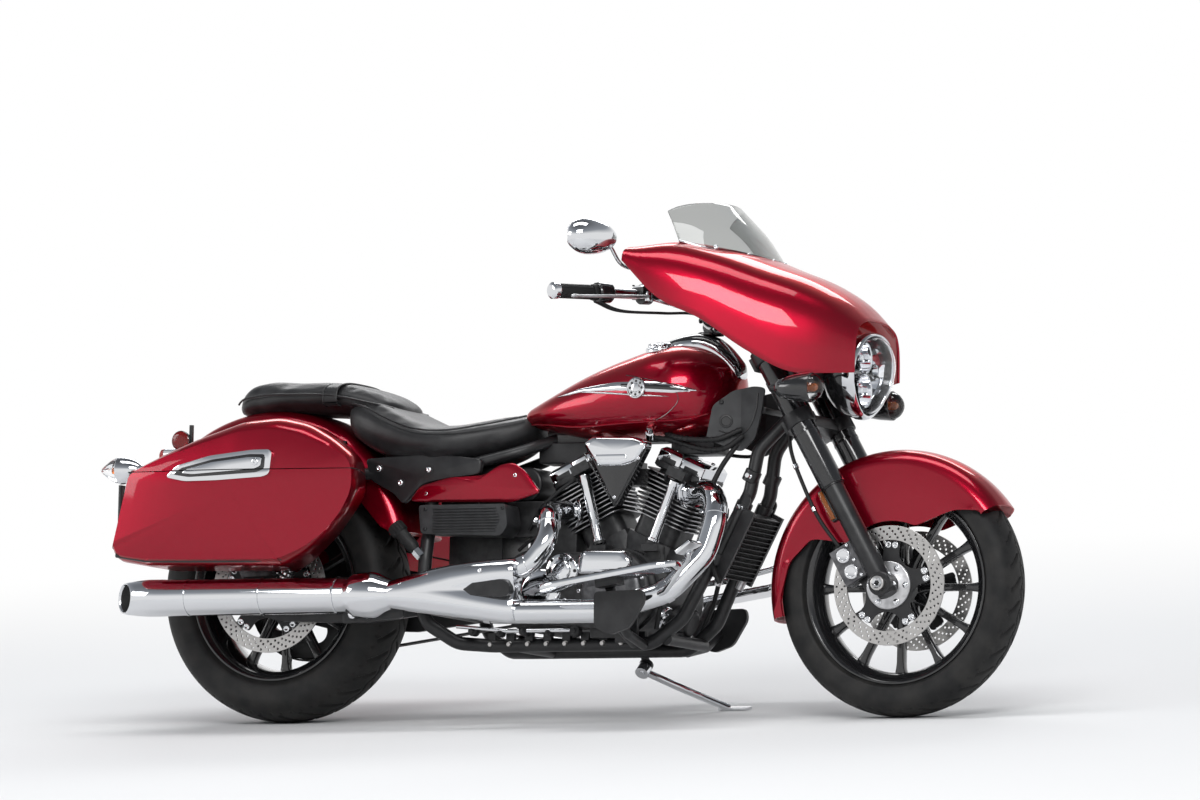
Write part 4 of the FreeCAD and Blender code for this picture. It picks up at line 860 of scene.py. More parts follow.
def hexagon(form, centre, direction, radius, height, paint):
    """A hexagon head on its washer."""
    lathe(form, [(-0.5, radius * 1.3), (1.6, radius * 1.3), (2.2, radius * 1.18),
                 (2.2, 0.01)], centre, direction, paint, 24)
    lathe(form, [(2.0, radius), (height * 0.9, radius), (height, radius * 0.88),
                 (height, 0.01)], centre, direction, paint, 6)


def section(x, half, top, bottom, shoulder, power, count=64):
    """A rounded section across the machine."""
    middle = bottom + (top - bottom) * shoulder
    ring = []
    for angle in turns(count):
        c, s = math.cos(angle), math.sin(angle)
        reach = (top - middle) if s > 0 else (middle - bottom)
        ring.append((x, half * math.copysign(abs(c) ** (2 / power), c),
                     middle + reach * math.copysign(abs(s) ** (2 / power), s)))
    return ring


def long_form(stations, shoulder, power, rows=56, nose=(14.0, 14.0), count=64):
    """Rings of a form through (x, half, top, bottom) stations, its two ends rounded."""
    first, last = stations[0][0], stations[-1][0]
    xs = np.linspace(first, last, rows)
    ease = []
    for inset in (0.0, 0.06, 0.2, 0.45, 0.75):
        ease += [first + nose[0] * inset, last - nose[1] * inset]
    xs = np.array(sorted(set(np.concatenate([xs, ease]))))
    rings = []
    for x, (half, top, bottom) in zip(xs, through(xs, stations)):
        near = min((x - first) / nose[0], 1.0) if nose[0] else 1.0
        far = min((last - x) / nose[1], 1.0) if nose[1] else 1.0
        share = math.sqrt(max(0.0, 1 - (1 - min(near, far)) ** 2)) * 0.7 + 0.3
        middle = (top + bottom) / 2
        rings.append(section(x, half * share, middle + (top - middle) * share,
                             middle + (bottom - middle) * share, shoulder, power, count))
    return rings


def softened(node, paint, width, segments):
    """A CAD node's own form with its edges rounded, in place of the node."""
    source = frame["nodes"][node]
    mesh = source.data.copy()
    mesh.transform(source.matrix_world)
    mesh.transform(TO_ROW.inverted())
    mesh.materials.clear()
    mesh.materials.append(paint)
    if mesh.attributes.get("custom_normal"):
        mesh.attributes.remove(mesh.attributes["custom_normal"])
    work = bmesh.new()
    work.from_mesh(mesh)
    bmesh.ops.remove_doubles(work, verts=work.verts, dist=0.02)
    bmesh.ops.dissolve_limit(work, angle_limit=math.radians(0.6), verts=work.verts,
                             edges=work.edges)
    work.to_mesh(mesh)
    work.free()
    mesh.polygons.foreach_set("material_index", [0] * len(mesh.polygons))
    obj = linked(f"{node}_form", mesh)
    rounded(obj, width, segments)
    return seat(obj, body_of(source)[0], (node,))


# Wheels

FRONT_HUB = Vector((WHEELBASE, 0, FRONT_AXLE_Z))
REAR_HUB = Vector((0, 0, REAR_AXLE_Z))
TREAD_PITCHES, TREAD_DEEP, TYRE_STEPS = 34, 4.5, 648
SPOKES, SPOKE_ROOT, SPOKE_TIP, SPOKE_DEPTH = 12, 26, 21, 38
DISC_ARMS, DISC_ROWS, DISC_HALF = 5, 4, 2.5


def tread_depth(around, across_share):
    """Depth of the tread at a share of the turn and of the half width, in millimetres."""
    share = abs(across_share)
    deep = 0.0
    if share < 0.66:
        shift = 0.5 if across_share >= 0 else 0.0
        cell = (around * TREAD_PITCHES + shift + share * 1.15) % 1.0
        half_width = 0.085 * min(1.0, max(0.0, share - 0.06) * 9)
        if abs(cell - 0.5) < half_width:
            deep = TREAD_DEEP
    centre_wave = 0.055 * math.sin(2 * math.pi * around * TREAD_PITCHES)
    if abs(across_share - centre_wave) < 0.022:
        deep = TREAD_DEEP
    if 0.70 < share < 0.78 and (around * TREAD_PITCHES * 2 + 0.25) % 1.0 < 0.18:
        deep = 2.5
    return deep


def tyre(name, hub, radius, half, rim_radius, rim_half, body, node):
    """A road tyre with slanting grooves, a centre groove and plain sidewalls."""
    height = radius - rim_radius
    side = [(rim_radius - 15.7, rim_half - 9.5), (rim_radius + 0.3, rim_half - 4.5),
            (rim_radius + height * 0.10, max(half * 0.93, rim_half + 1)),
            (rim_radius + height * 0.22, max(half * 0.975, rim_half + 2)),
            (rim_radius + height * 0.50, half), (rim_radius + height * 0.70, half * 0.91),
            (rim_radius + height * 0.84, half * 0.74), (radius - height * 0.065, half * 0.50),
            (radius - height * 0.012, half * 0.24), (radius, 0.0)]
    line = smooth_line(side + [(r, -y) for r, y in reversed(side[:-1])], 118)
    points = []
    for step in range(TYRE_STEPS):
        around = step / TYRE_STEPS
        angle = 2 * math.pi * around
        for r, y in line:
            if r > rim_radius + height * 0.55:
                r -= tread_depth(around, y / half)
            elif abs(r - (rim_radius + height * 0.36)) < 1.6:
                r -= 0.8
            points.append((hub.x + r * math.cos(angle), hub.y + y, hub.z + r * math.sin(angle)))
    form = Form()
    form.add(points, grid_faces(TYRE_STEPS, len(line), False, True), TYRE)
    seat(linked(name, form.mesh(name)), body, (node,), 50)


def spoke_rings(hub, angle, low, high):
    """A cast spoke from hub to rim, waisted in its middle."""
    radial = Vector((math.cos(angle), 0, math.sin(angle)))
    side = Vector((-math.sin(angle), 0, math.cos(angle)))
    rings = []
    for step in range(13):
        t = step / 12
        waist = 1 - 0.20 * math.sin(math.pi * min(1.0, t * 1.05))
        flare = 1 + 0.55 * max(0.0, 0.16 - t) / 0.16 + 0.5 * max(0.0, t - 0.88) / 0.12
        half_w = (SPOKE_ROOT + (SPOKE_TIP - SPOKE_ROOT) * t) / 2 * waist * flare
        half_d = SPOKE_DEPTH / 2 * (1 - 0.25 * t) * (1 + 0.25 * max(0.0, 0.2 - t) / 0.2)
        centre = hub + radial * (low + (high - low) * t)
        ring = []
        for around in turns(16):
            c, s = math.cos(around), math.sin(around)
            ring.append(centre + side * (half_w * math.copysign(abs(c) ** 0.55, c))
                        + ACROSS * (half_d * math.copysign(abs(s) ** 0.55, s)))
        rings.append(ring)
    return rings


def cast_wheel(name, hub, radius, half, hub_radius, hub_half, bore, body, node):
    """A cast wheel: a deep rim, spokes and a hub, with its air valve."""
    form = Form()
    well, bead = radius - 24, radius - 16
    side = [(well - 7, half * 0.3), (bead - 7, half - 14), (radius - 5, half), (radius, half),
            (radius, half - 4), (bead, half - 9), (bead, half - 20), (well, half * 0.3 + 3)]
    wheel_ring(form, side + [(r, -y) for r, y in reversed(side)], hub, GLOSS, 144)
    lathe(form, [(-hub_half, bore), (-hub_half, hub_radius - 4), (-hub_half + 4, hub_radius),
                 (-32, hub_radius), (-20, hub_radius + 16), (20, hub_radius + 16),
                 (32, hub_radius), (hub_half - 4, hub_radius), (hub_half, hub_radius - 4),
                 (hub_half, bore)], hub, ACROSS, GLOSS, 72)
    for angle in turns(SPOKES):
        skin(form, spoke_rings(hub, angle, hub_radius + 6, radius - 27), GLOSS)
    lathe(form, [(0, 4.2), (30, 4.0), (31, 5.2), (38, 5.2), (40, 3.0), (40, 0.01)],
          hub + Vector((0, 6, -(radius - 34))), UPWARD, CHROME, 12)
    obj = linked(name, form.mesh(name))
    welded(obj.data, 0.01)
    seat(rounded(obj, 1.6), body, (node,))


def drilled_disc(form, hub, y, radius, inner, per_row):
    """A brake ring with curved rows of cooling holes."""
    holes = [circle(hub.x, hub.z, inner, 144)]
    for index in range(per_row):
        for row in range(DISC_ROWS):
            reach = inner + 7 + (radius - inner - 14) * row / (DISC_ROWS - 1)
            angle = 2 * math.pi * (index / per_row) + row * 0.062
            holes.append(circle(hub.x + reach * math.cos(angle), hub.z + reach * math.sin(angle),
                                3.0, 8))
    plate(form, circle(hub.x, hub.z, radius, 144), y - DISC_HALF, y + DISC_HALF, STEEL, holes)


def carrier(form, hub, y, face, reach, bore):
    """The disc's carrier: a ring on arms with floating buttons."""
    outline = []
    buttons = []
    for start in turns(DISC_ARMS):
        centre = start + math.radians(15)
        for share, radius in ((-0.42, reach * 0.60), (-0.20, reach * 0.72), (-0.15, reach),
                              (0.15, reach), (0.20, reach * 0.72), (0.42, reach * 0.60)):
            angle = centre + share * 2 * math.pi / DISC_ARMS
            outline.append((hub.x + radius * math.cos(angle), hub.z + radius * math.sin(angle)))
        for share in (-0.075, 0.075):
            angle = centre + share * 2 * math.pi / DISC_ARMS
            buttons.append((hub.x + (reach - 8) * math.cos(angle), y,
                            hub.z + (reach - 8) * math.sin(angle)))
    plate(form, softened_corners(outline, 9, 3), y - 2.4, y + 2.4, SATIN,
          [circle(hub.x, hub.z, bore, 48)])
    for spot in buttons:
        lathe(form, [(-3.2 * face, 8.5), (3.2 * face, 8.5), (3.8 * face, 7.6), (3.8 * face, 4),
                     (3.0 * face, 3.6), (3.0 * face, 0.01)], spot, ACROSS, CHROME, 20)


def hub_cover(form, hub, y, face, radius, bore):
    """A round cover over the hub with a ring of six bolts."""
    lathe(form, [(0, radius), (face * 4, radius), (face * 6, radius - 3),
                 (face * 6, radius * 0.62), (face * 8, radius * 0.56), (face * 9, bore + 2),
                 (face * 9, bore)], hub + ACROSS * y, ACROSS, ALLOY, 64)
    reach = radius * 0.80
    for angle in turns(6):
        spot = hub + Vector((reach * math.cos(angle), y + face * 6, reach * math.sin(angle)))
        hexagon(form, spot, ACROSS * face, 6.0, 6.0, CHROME)


def wheels():
    """Both tyres, both cast wheels and the three brake discs."""
    tyre("front_tyre_tread", FRONT_HUB, 320, 63, 242, 50, "front_wheel", "front_tyre")
    tyre("rear_tyre_tread", REAR_HUB, 330, 95, 230, 83, "rear_wheel", "rear_tyre")
    cast_wheel("front_cast_wheel", FRONT_HUB, 242, 50, 36, 83.2, 12.08, "front_wheel", "front_rim")
    cast_wheel("rear_cast_wheel", REAR_HUB, 230, 83, 44, 102.2, 12.58, "rear_wheel", "rear_rim")
    form = Form()
    for side in (1, -1):
        drilled_disc(form, FRONT_HUB, side * 86, 149, 113, 36)
        carrier(form, FRONT_HUB, side * 86, side, 109, 16.5)
        hub_cover(form, FRONT_HUB, side * 88.6, side, 60, 16.5)
    piece("front_brake_discs", form, "front_wheel", ("front_discs",), 0.5, 1)
    form = Form()
    drilled_disc(form, REAR_HUB, -105, 160, 124, 40)
    carrier(form, REAR_HUB, -105, -1, 120, 17)
    hub_cover(form, REAR_HUB, -107.6, -1, 62, 17)
    piece("rear_brake_disc", form, "rear_wheel", ("rear_disc",), 0.5, 1)


wheels()


# Tank and console

TANK_FULL = 175.0
TANK_TOP = 935.0
TANK_STATIONS = [
    (676, TANK_FULL * 0.28, 776, 738), (760, TANK_FULL * 0.60, 814, 722),
    (860, TANK_FULL * 0.80, 863, 702), (980, TANK_FULL * 0.93, 908, 698),
    (1084, TANK_FULL, TANK_TOP, 698), (1156, TANK_FULL * 0.95, TANK_TOP - 2, 702),
    (1202, TANK_FULL * 0.78, TANK_TOP - 16, 718), (1236, TANK_FULL * 0.52, TANK_TOP - 38, 750),
    (1260, TANK_FULL * 0.28, TANK_TOP - 62, 796)]
TANK_SHOULDER = 0.46
TANK_POWER = 2.3
TANK_CORE_Z = 800.0


def tank_point(x, angle, lift=0.0):
    """A point on the tank's skin at x, by the angle round its section, and its normal."""
    def at(x, angle):
        half, top, bottom = through([x], TANK_STATIONS)[0]
        middle = bottom + (top - bottom) * TANK_SHOULDER
        c, s = math.cos(angle), math.sin(angle)
        reach = (top - middle) if s > 0 else (middle - bottom)
        return Vector((x, half * math.copysign(abs(c) ** (2 / TANK_POWER), c),
                       middle + reach * math.copysign(abs(s) ** (2 / TANK_POWER), s)))
    here = at(x, angle)
    along = at(x + 2, angle) - at(x - 2, angle)
    around = at(x, angle + 0.02) - at(x, angle - 0.02)
    normal = along.cross(around).normalized()
    if normal.dot(here - Vector((x, 0, TANK_CORE_Z))) < 0:
        normal = -normal
    return here + normal * lift, normal


def tank_angle(x, z, side):
    """The angle on the tank's section where its skin is at height z."""
    _, top, bottom = through([x], TANK_STATIONS)[0]
    middle = bottom + (top - bottom) * TANK_SHOULDER
    reach = (top - middle) if z > middle else (middle - bottom)
    share = max(-1.0, min(1.0, (z - middle) / reach))
    s = math.copysign(abs(share) ** (TANK_POWER / 2), share)
    angle = math.asin(max(-1.0, min(1.0, s)))
    return angle if side > 0 else math.pi - angle


def patch(form, upper, lower, side, lift, thick, paint, rows=9):
    """A raised strip that follows the tank's side between an upper and a lower (x, z) line."""
    xs = np.linspace(upper[0][0], upper[-1][0], 48)
    top = np.interp(xs, [p[0] for p in upper], [p[1] for p in upper])
    low = np.interp(xs, [p[0] for p in lower], [p[1] for p in lower])
    grid = []
    for x, high, down in zip(xs, top, low):
        for t in np.linspace(0, 1, rows):
            crown = thick * math.sin(math.pi * t) ** 0.6
            angle = tank_angle(x, down + (high - down) * t, side)
            grid.append(tank_point(x, angle, lift + crown)[0])
    form.add(grid, grid_faces(len(xs), rows, False), paint)


def tank_shell():
    """The painted tank."""
    form = Form()
    skin(form, long_form(TANK_STATIONS, TANK_SHOULDER, TANK_POWER, 72, (26, 20), 96), RED)
    piece("tank_shell", form, "chassis", ("fuel_tank",))


def tank_trim():
    """A spear of chrome and black on each side, with a plain disc and its ring of dots."""
    form = Form()
    strips = (
        ([(806, 803), (880, 822), (985, 833), (1080, 832), (1150, 826), (1200, 812)],
         [(806, 801), (880, 812), (985, 812), (1080, 806), (1150, 802), (1200, 808)], 0.2, 3.0,
         CHROME),
        ([(1006, 828), (1080, 826), (1146, 821), (1184, 812)],
         [(1006, 818), (1080, 812), (1146, 808), (1184, 808)], 2.2, 1.6, GLOSS),
        ([(880, 812), (960, 809), (1060, 800), (1140, 794)],
         [(880, 810), (960, 804), (1060, 795), (1140, 792)], 0.2, 2.2, CHROME))
    for side in (1, -1):
        for upper, lower, lift, thick, paint in strips:
            patch(form, upper, lower, side, lift, thick, paint)
        spot, normal = tank_point(1052, tank_angle(1052, 816, side), 1.0)
        lathe(form, [(0, 27), (3.5, 26), (4.5, 23.5), (3.0, 22), (3.4, 12), (5.5, 10.5),
                     (6.5, 0.01)], spot, normal, CHROME, 48)
        axis_a, axis_b = frame_at(normal)
        for angle in turns(8):
            at = spot + normal * 3.0 + axis_a * 17 * math.cos(angle) + axis_b * 17 * math.sin(angle)
            lathe(form, [(0, 3.6), (1.2, 3.2), (1.6, 0.01)], at, normal, GLOSS, 14)
    piece("tank_trim", form, "chassis")


def tank_lines():
    """The seam along the tank's foot and the thin curved stripe at its front."""
    form = Form()
    for side in (1, -1):
        line = []
        for x in np.linspace(694, 1248, 60):
            _, top, bottom = through([x], TANK_STATIONS)[0]
            angle = tank_angle(x, bottom + (top - bottom) * 0.16, side)
            line.append(tank_point(x, angle, 0.6)[0])
        pipe(form, line, 2.4, RED, 8)
    piece("tank_seam", form, "chassis")
    form = Form()
    marks = [(1016, 850), (1060, 842), (1120, 828), (1156, 806), (1160, 780), (1130, 752),
             (1080, 732)]
    for side in (1, -1):
        line = [tank_point(x, tank_angle(x, z, side), 0.15)[0] for x, z in smooth_line(marks, 70)]
        pipe(form, line, 1.1, GLOSS, 6)
    piece("tank_stripe", form, "chassis")


def tank_console():
    """The console on the tank, a chrome skirt under it, and the two filler caps."""
    form = Form()
    rows = [(1022, 14, 932, 922), (1040, 27, 941, 924), (1076, 42, 952, 918),
            (1120, 52, 963, 918), (1166, 54, 964, 916), (1208, 46, 946, 900),
            (1240, 39, 916, 876), (1264, 33, 888, 852)]
    skirt = [(x, half + 4.5, top - 9, low - 8) for x, half, top, low in rows]
    skin(form, long_form(rows, 0.5, 2.6, 44, (14, 8), 56), GLOSS)
    skin(form, long_form(skirt, 0.5, 2.6, 44, (14, 8), 56), CHROME)
    for side in (1, -1):
        lathe(form, [(0, 38), (10, 38), (13, 36.5), (14, 35), (14, 31), (17, 30), (22, 28.5),
                     (25, 25), (26, 18), (24.6, 14), (24.6, 0.01)],
              (1066, side * 66, 914), (0.0, side * 0.16, 1), CHROME, 72)
        for angle in turns(24):
            box(form, (2.4, 3.2, 8), (1066 + 30 * math.cos(angle),
                                      side * 69 + 30 * math.sin(angle), 930), CHROME,
                Matrix.Rotation(angle, 3, "Z"))
    dial, up = (1172, 0, 962), (0.02, 0, 1)
    lathe(form, [(0, 33), (4, 33), (6, 31), (6, 29), (3, 28.5)], dial, up, GLOSS, 64)
    lathe(form, [(0, 28.6), (3.6, 28.6), (3.7, 0.01)], dial, up, DARK, 48)
    piece("tank_console_trim", form, "chassis", ("tank_console",))


tank_shell()
tank_trim()
tank_lines()
tank_console()


# Fenders

FRONT_SKIRT = [(1990, 560), (2020, 500), (1880, 505), (1790, 470), (1700, 440), (1600, 425),
               (1500, 440), (1440, 380), (1420, 300), (1400, 235), (1300, 235), (1300, 700),
               (1990, 700)]
REAR_SKIRT = [(-420, 420), (-300, 470), (-180, 560), (100, 600), (250, 560), (330, 470),
              (420, 470), (420, 900), (-420, 900)]


def inside(x, z, outline):
    """Whether a point lies inside an outline."""
    hit = False
    for (ax, az), (bx, bz) in zip(outline, outline[1:] + outline[:1]):
        if (az > z) != (bz > z) and x < (bx - ax) * (z - az) / (bz - az) + ax:
            hit = not hit
    return hit


def skirt_radii(centre, radius, least, angles, skirt):
    """How far in the side reaches at each angle, up to the skirt's outline."""
    lows = []
    for angle in angles:
        low = radius
        for r in np.linspace(radius - 2, least, 160):
            if not inside(centre.x + r * math.cos(angle), centre.z + r * math.sin(angle), skirt):
                break
            low = r
        lows.append(low)
    kernel = np.hanning(11) / np.hanning(11).sum()
    return np.convolve(np.pad(np.array(lows), 5, mode="edge"), kernel, mode="valid")


def fender_profile(radius, half, low, wall=3.5, lip=7.0):
    """The closed section of a fender: upright sides, a round crown and a rolled edge."""
    side = [(low, half), (low + (radius - 46 - low) * 0.5, half)]
    for step in range(9):
        turn = math.radians(90 * step / 8)
        side.append((radius - 44 + 40 * math.sin(turn), half - 46 + 46 * math.cos(turn)))
    side.append((radius - 1.0, half * 0.25))
    profile = side + [(radius, 0.0)] + [(r, -y) for r, y in reversed(side)]
    inner = [(r - (0 if i in (0, len(profile) - 1) else wall), y * (half - wall) / half)
             for i, (r, y) in enumerate(profile)]
    return ([(low + 1, half + 1.2), (low + lip, half + 1.4)] + profile[1:-1]
            + [(low + lip, -half - 1.4), (low + 1, -half - 1.2)] + inner[::-1])


def fender(name, radius, half, centre, start, end, least, skirt, body, node):
    """An arched channel with a rolled edge, its sides trimmed to an outline."""
    centre = Vector(centre)
    angles = np.radians(np.linspace(start, end, 150))
    rings = []
    for angle, low in zip(angles, skirt_radii(centre, radius, least, angles, skirt)):
        closed = fender_profile(radius, half, min(low, radius - 30))
        rings.append([centre + Vector((r * math.cos(angle), y, r * math.sin(angle)))
                      for r, y in closed])
    form = Form()
    skin(form, rings, RED)
    piece(name, form, body, (node,))


fender("front_fender_panel", 344, 80, (WHEELBASE, 0, FRONT_AXLE_Z), 36, 194, 160, FRONT_SKIRT,
       "steering", "front_fender")
fender("rear_fender_panel", 400, 124, (0, 0, 390), 12, 176, 180, REAR_SKIRT,
       "chassis", "rear_fender")


# Seats

RIDER_STATIONS = [
    (204, 104, 812, 742), (244, 150, 818, 706), (296, 176, 808, 676), (344, 186, 784, 658),
    (430, 192, 748, 646), (520, 187, 740, 646), (600, 152, 754, 660), (676, 98, 772, 690),
    (720, 64, 780, 722)]
PILLION_STATIONS = [
    (-136, 60, 806, 770), (-100, 96, 846, 776), (-40, 122, 861, 780), (60, 142, 858, 785),
    (200, 146, 852, 776), (290, 130, 828, 764), (350, 84, 802, 762)]
RIDER_SHOULDER, PILLION_SHOULDER, SEAT_POWER = 0.5, 0.45, 3.0
PAD_SHRINK, PAD_RISE = 5.0, 7.0
STRAP_X, STRAP_HALF = 180, 17


def cushion(name, stations, shoulder):
    """A seat pad swollen by its filling from a slightly smaller form."""
    small = [(x, half - PAD_SHRINK, top - PAD_SHRINK, bottom + PAD_SHRINK * 0.4)
             for x, half, top, bottom in stations]
    form = Form()
    skin(form, long_form(small, shoulder, SEAT_POWER, 60, (30, 30), 72), LEATHER)
    obj = solid(name, form)
    return swollen(obj)


def places(obj):
    """The mesh's points as rows."""
    values = np.zeros(len(obj.data.vertices) * 3)
    obj.data.vertices.foreach_get("co", values)
    return values.reshape(-1, 3)


def swollen(obj):
    """Blow the pad up as cloth under pressure, but no further than its rise."""
    remesh = obj.modifiers.new("remesh", "REMESH")
    remesh.mode = "VOXEL"
    remesh.voxel_size = 6.5
    applied(obj)
    rest = places(obj)
    # The cloth is worked out in metres, the size its settings expect.
    obj.data.transform(Matrix.Scale(0.001, 4))
    cloth = obj.modifiers.new("cloth", "CLOTH")
    cloth.settings.use_pressure = True
    cloth.settings.uniform_pressure_force = 4.0
    cloth.settings.effector_weights.gravity = 0.0
    cloth.settings.quality = 5
    for step in range(1, 21):
        bpy.context.scene.frame_set(step)
    applied(obj)
    bpy.context.scene.frame_set(1)
    step = places(obj) * 1000 - rest
    length = np.linalg.norm(step, axis=1, keepdims=True)
    moved = rest + step * np.minimum(1.0, PAD_RISE / np.maximum(length, 1e-6))
    obj.data.vertices.foreach_set("co", moved.ravel())
    obj.data.update()
    smooth = obj.modifiers.new("smooth", "SMOOTH")
    smooth.factor = 0.5
    smooth.iterations = 4
    return applied(obj)


def seam_line(stations, shoulder, share, first, last, side):
    """A line along the side of a seat at a share of its height, just outside its skin."""
    line = []
    xs = np.linspace(first, last, 60)
    for x, (half, top, bottom) in zip(xs, through(xs, stations)):
        middle = bottom + (top - bottom) * shoulder
        z = bottom + (top - bottom) * share
        reach = (top - middle) if z > middle else (middle - bottom)
        c = max(0.0, 1 - abs((z - middle) / reach) ** SEAT_POWER) ** (1 / SEAT_POWER)
        line.append((x, side * (half * c + 0.5), z))
    return line


def seat_pads():
    """The two padded seats."""
    rider = cushion("rider_seat_pad", RIDER_STATIONS, RIDER_SHOULDER)
    seat(rider, "chassis", ("rider_seat",), 60)
    pillion = cushion("passenger_seat_pad", PILLION_STATIONS, PILLION_SHOULDER)
    seat(pillion, "chassis", ("passenger_seat",), 60)


def strap(form):
    """The strap over the passenger's seat, piped along both its edges."""
    half, top, bottom = through([STRAP_X], PILLION_STATIONS)[0]
    ring = [Vector(p) for p in section(STRAP_X, half + 1.6, top + 1.4, bottom - 1,
                                       PILLION_SHOULDER, SEAT_POWER, 72)]
    arch = [p for p in ring if p.z > bottom + 14]
    arch.sort(key=lambda p: math.atan2(p.z - 800, p.y))
    band = [p + Vector((offset, 0, 0)) for p in arch for offset in (-STRAP_HALF, STRAP_HALF)]
    form.add(band, [(2 * i, 2 * i + 1, 2 * i + 3, 2 * i + 2) for i in range(len(arch) - 1)],
             LEATHER)
    for offset in (-STRAP_HALF - 2, STRAP_HALF + 2):
        pipe(form, [p + Vector((offset, 0, 0)) for p in arch], 2.2, LEATHER, 8)


def seat_piping():
    """The piping along both seats and the passenger's strap."""
    form = Form()
    for side in (1, -1):
        for line in (seam_line(RIDER_STATIONS, RIDER_SHOULDER, 0.80, 236, 700, side),
                     seam_line(PILLION_STATIONS, PILLION_SHOULDER, 0.52, -112, 336, side)):
            pipe(form, line, 2.6, LEATHER, 8)
    strap(form)
    piece("seat_piping", form, "chassis")


seat_pads()
seat_piping()


# Saddlebags

BAG_INNER, BAG_OUTER, BAG_SEAM = 206.0, 429.4, 606.0
BAG_MIDDLE = (49.5, 554.0)
BAG_LEVEL, LID_LEVEL = BAG_SEAM - 1.0, BAG_SEAM + 1.2
HINGE_X, HINGE_Z = (30, 236), 690
BAG_OUTLINE = [
    (-262, 604), (-305, 410), (-290, 384), (-208, 371), (188, 366), (264, 396), (330, 440),
    (374, 492), (400, 544), (404, 590), (396, 640), (330, 686), (253, 724), (165, 742),
    (60, 734), (-60, 696), (-150, 660), (-225, 625)]


def bag_outline():
    """The bag's side outline on a smooth closed curve."""
    return smooth_line(softened_corners(BAG_OUTLINE, 26, 3), 150, True)


def bag_point(share_y, point, side):
    """A point of the bag's skin: its outline drawn in towards the outer face."""
    inset = 0.0
    if share_y > 0.62:
        t = (share_y - 0.62) / 0.38
        inset = 44 * (1 - math.sqrt(max(0.0, 1 - t ** 2.6)))
    if share_y < 0.06:
        inset = 6 * (1 - share_y / 0.06)
    x, z = point
    forward = min(max((x - 60) / 340, 0.0), 1.0)
    low = min(max((560 - z) / 150, 0.0), 1.0)
    x -= (83 + 50 * low) * forward * (1 - share_y)
    if z > BAG_SEAM:
        inset *= 1 + 0.9 * min((z - BAG_SEAM) / 110, 1.0)
    x = BAG_MIDDLE[0] + (x - BAG_MIDDLE[0]) * (1 - inset / 354.5)
    z = BAG_MIDDLE[1] + (z - BAG_MIDDLE[1]) * (1 - inset / 188.0)
    return Vector((x, side * (BAG_INNER + (BAG_OUTER - BAG_INNER) * share_y), z))


def bag_skin(side):
    """The whole bag: its sides out to the round shoulder and its slightly crowned face."""
    outline = bag_outline()
    rings = []
    for share in (0, 0.02, 0.06, 0.2, 0.4, 0.56, 0.66, 0.74, 0.8, 0.85, 0.89, 0.925):
        rings.append([bag_point(share, point, side) for point in outline])
    edge = rings[-1]
    middle = Vector((BAG_MIDDLE[0], edge[0].y, BAG_MIDDLE[1]))
    for reach in (0.97, 0.93, 0.88, 0.8, 0.7, 0.6, 0.5, 0.4, 0.3, 0.2, 0.1, 0.04):
        crown = ACROSS * (side * 16.0 * (1 - reach ** 2.4))
        rings.append([middle + (point - middle) * reach + crown for point in edge])
    form = Form()
    skin(form, rings, RED)
    return form


def halved(obj, height, upper):
    """Keep the part of a hollow form above or below a level, with a wall."""
    work = bmesh.new()
    work.from_mesh(obj.data)
    bmesh.ops.remove_doubles(work, verts=work.verts, dist=0.05)
    bmesh.ops.recalc_face_normals(work, faces=work.faces)
    bmesh.ops.bisect_plane(work, geom=work.verts[:] + work.edges[:] + work.faces[:],
                           plane_co=(0, 0, height), plane_no=(0, 0, 1),
                           clear_inner=upper, clear_outer=not upper)
    work.to_mesh(obj.data)
    work.free()
    return walled(obj, 4.0)


def bag_strips(name, side):
    """The bright strip down the rear edge and the rubbing strip along the foot."""
    form = Form()
    rear = [bag_point(0.80, point, side) + Vector((-1.0, 0, 0))
            for point in ((-266, 588), (-278, 520), (-292, 460), (-303, 412))]
    pipe(form, smooth_line([tuple(p) for p in rear], 24), 4.6, CHROME, 12)
    low = []
    for x in np.linspace(-292, 196, 60):
        z = float(np.interp(x, [-292, -208, 100, 196], [386, 372, 368, 372]))
        low.append(bag_point(0.87, (x, z + 5), side))
    pipe(form, low, 7.0, SATIN, 12)
    piece(f"bag_strips_{name}", form, "chassis")


def bag_latch(name, side):
    """The latch, in two halves: the lid's with the lock, and the keeper on the bag."""
    y = side * (BAG_OUTER - 5.0)
    lever = softened_corners([(-134, 590), (-104, 618), (-10, 642), (112, 655), (158, 655),
                              (166, 648), (160, 594), (142, 587), (10, 580), (-80, 579)], 12, 4)
    # A black plate between the chrome frame and the handle, standing in for the shadow under the
    # handle: painted shade.
    shade_plate = softened_corners([(-112, 596), (-90, 612), (-2, 632), (104, 644), (148, 643),
                             (146, 606), (124, 598), (10, 592), (-68, 589)], 8, 4)
    handle = softened_corners([(-86, 599), (-70, 609), (0, 625), (104, 636), (140, 635),
                               (138, 614), (120, 607), (10, 600), (-54, 596)], 6, 4)
    for upper, level, body, part in ((True, LID_LEVEL, f"bag_lid_{name}", "latch"),
                                     (False, BAG_LEVEL, "chassis", "keeper")):
        form = Form()
        for outline, low, high, paint in ((lever, 0, 8, CHROME), (shade_plate, 7, 9.5, GLOSS),
                                          (handle, 9, 13, CHROME)):
            plate(form, clipped(outline, level, upper), y + side * low, y + side * high, paint)
        if upper:
            lathe(form, [(0, 9), (3, 9), (4, 7), (4, 3), (2.5, 2.6), (2.5, 0.01)],
                  (122, y + side * 13, 624), (0, side, 0), CHROME, 32)
        piece(f"bag_{part}_{name}", form, body, width=1.2)


def bag_shells(name, side):
    """The hollow bag and its lid, cut from one skin at the seam."""
    for part, upper, level, body, node in (
            ("body", False, BAG_LEVEL, "chassis", f"saddlebag_{name}"),
            ("lid", True, LID_LEVEL, f"bag_lid_{name}", f"bag_lid_{name}")):
        obj = solid(f"saddlebag_{part}_{name}", bag_skin(side))
        seat(halved(obj, level, upper), body, (node,), 40)


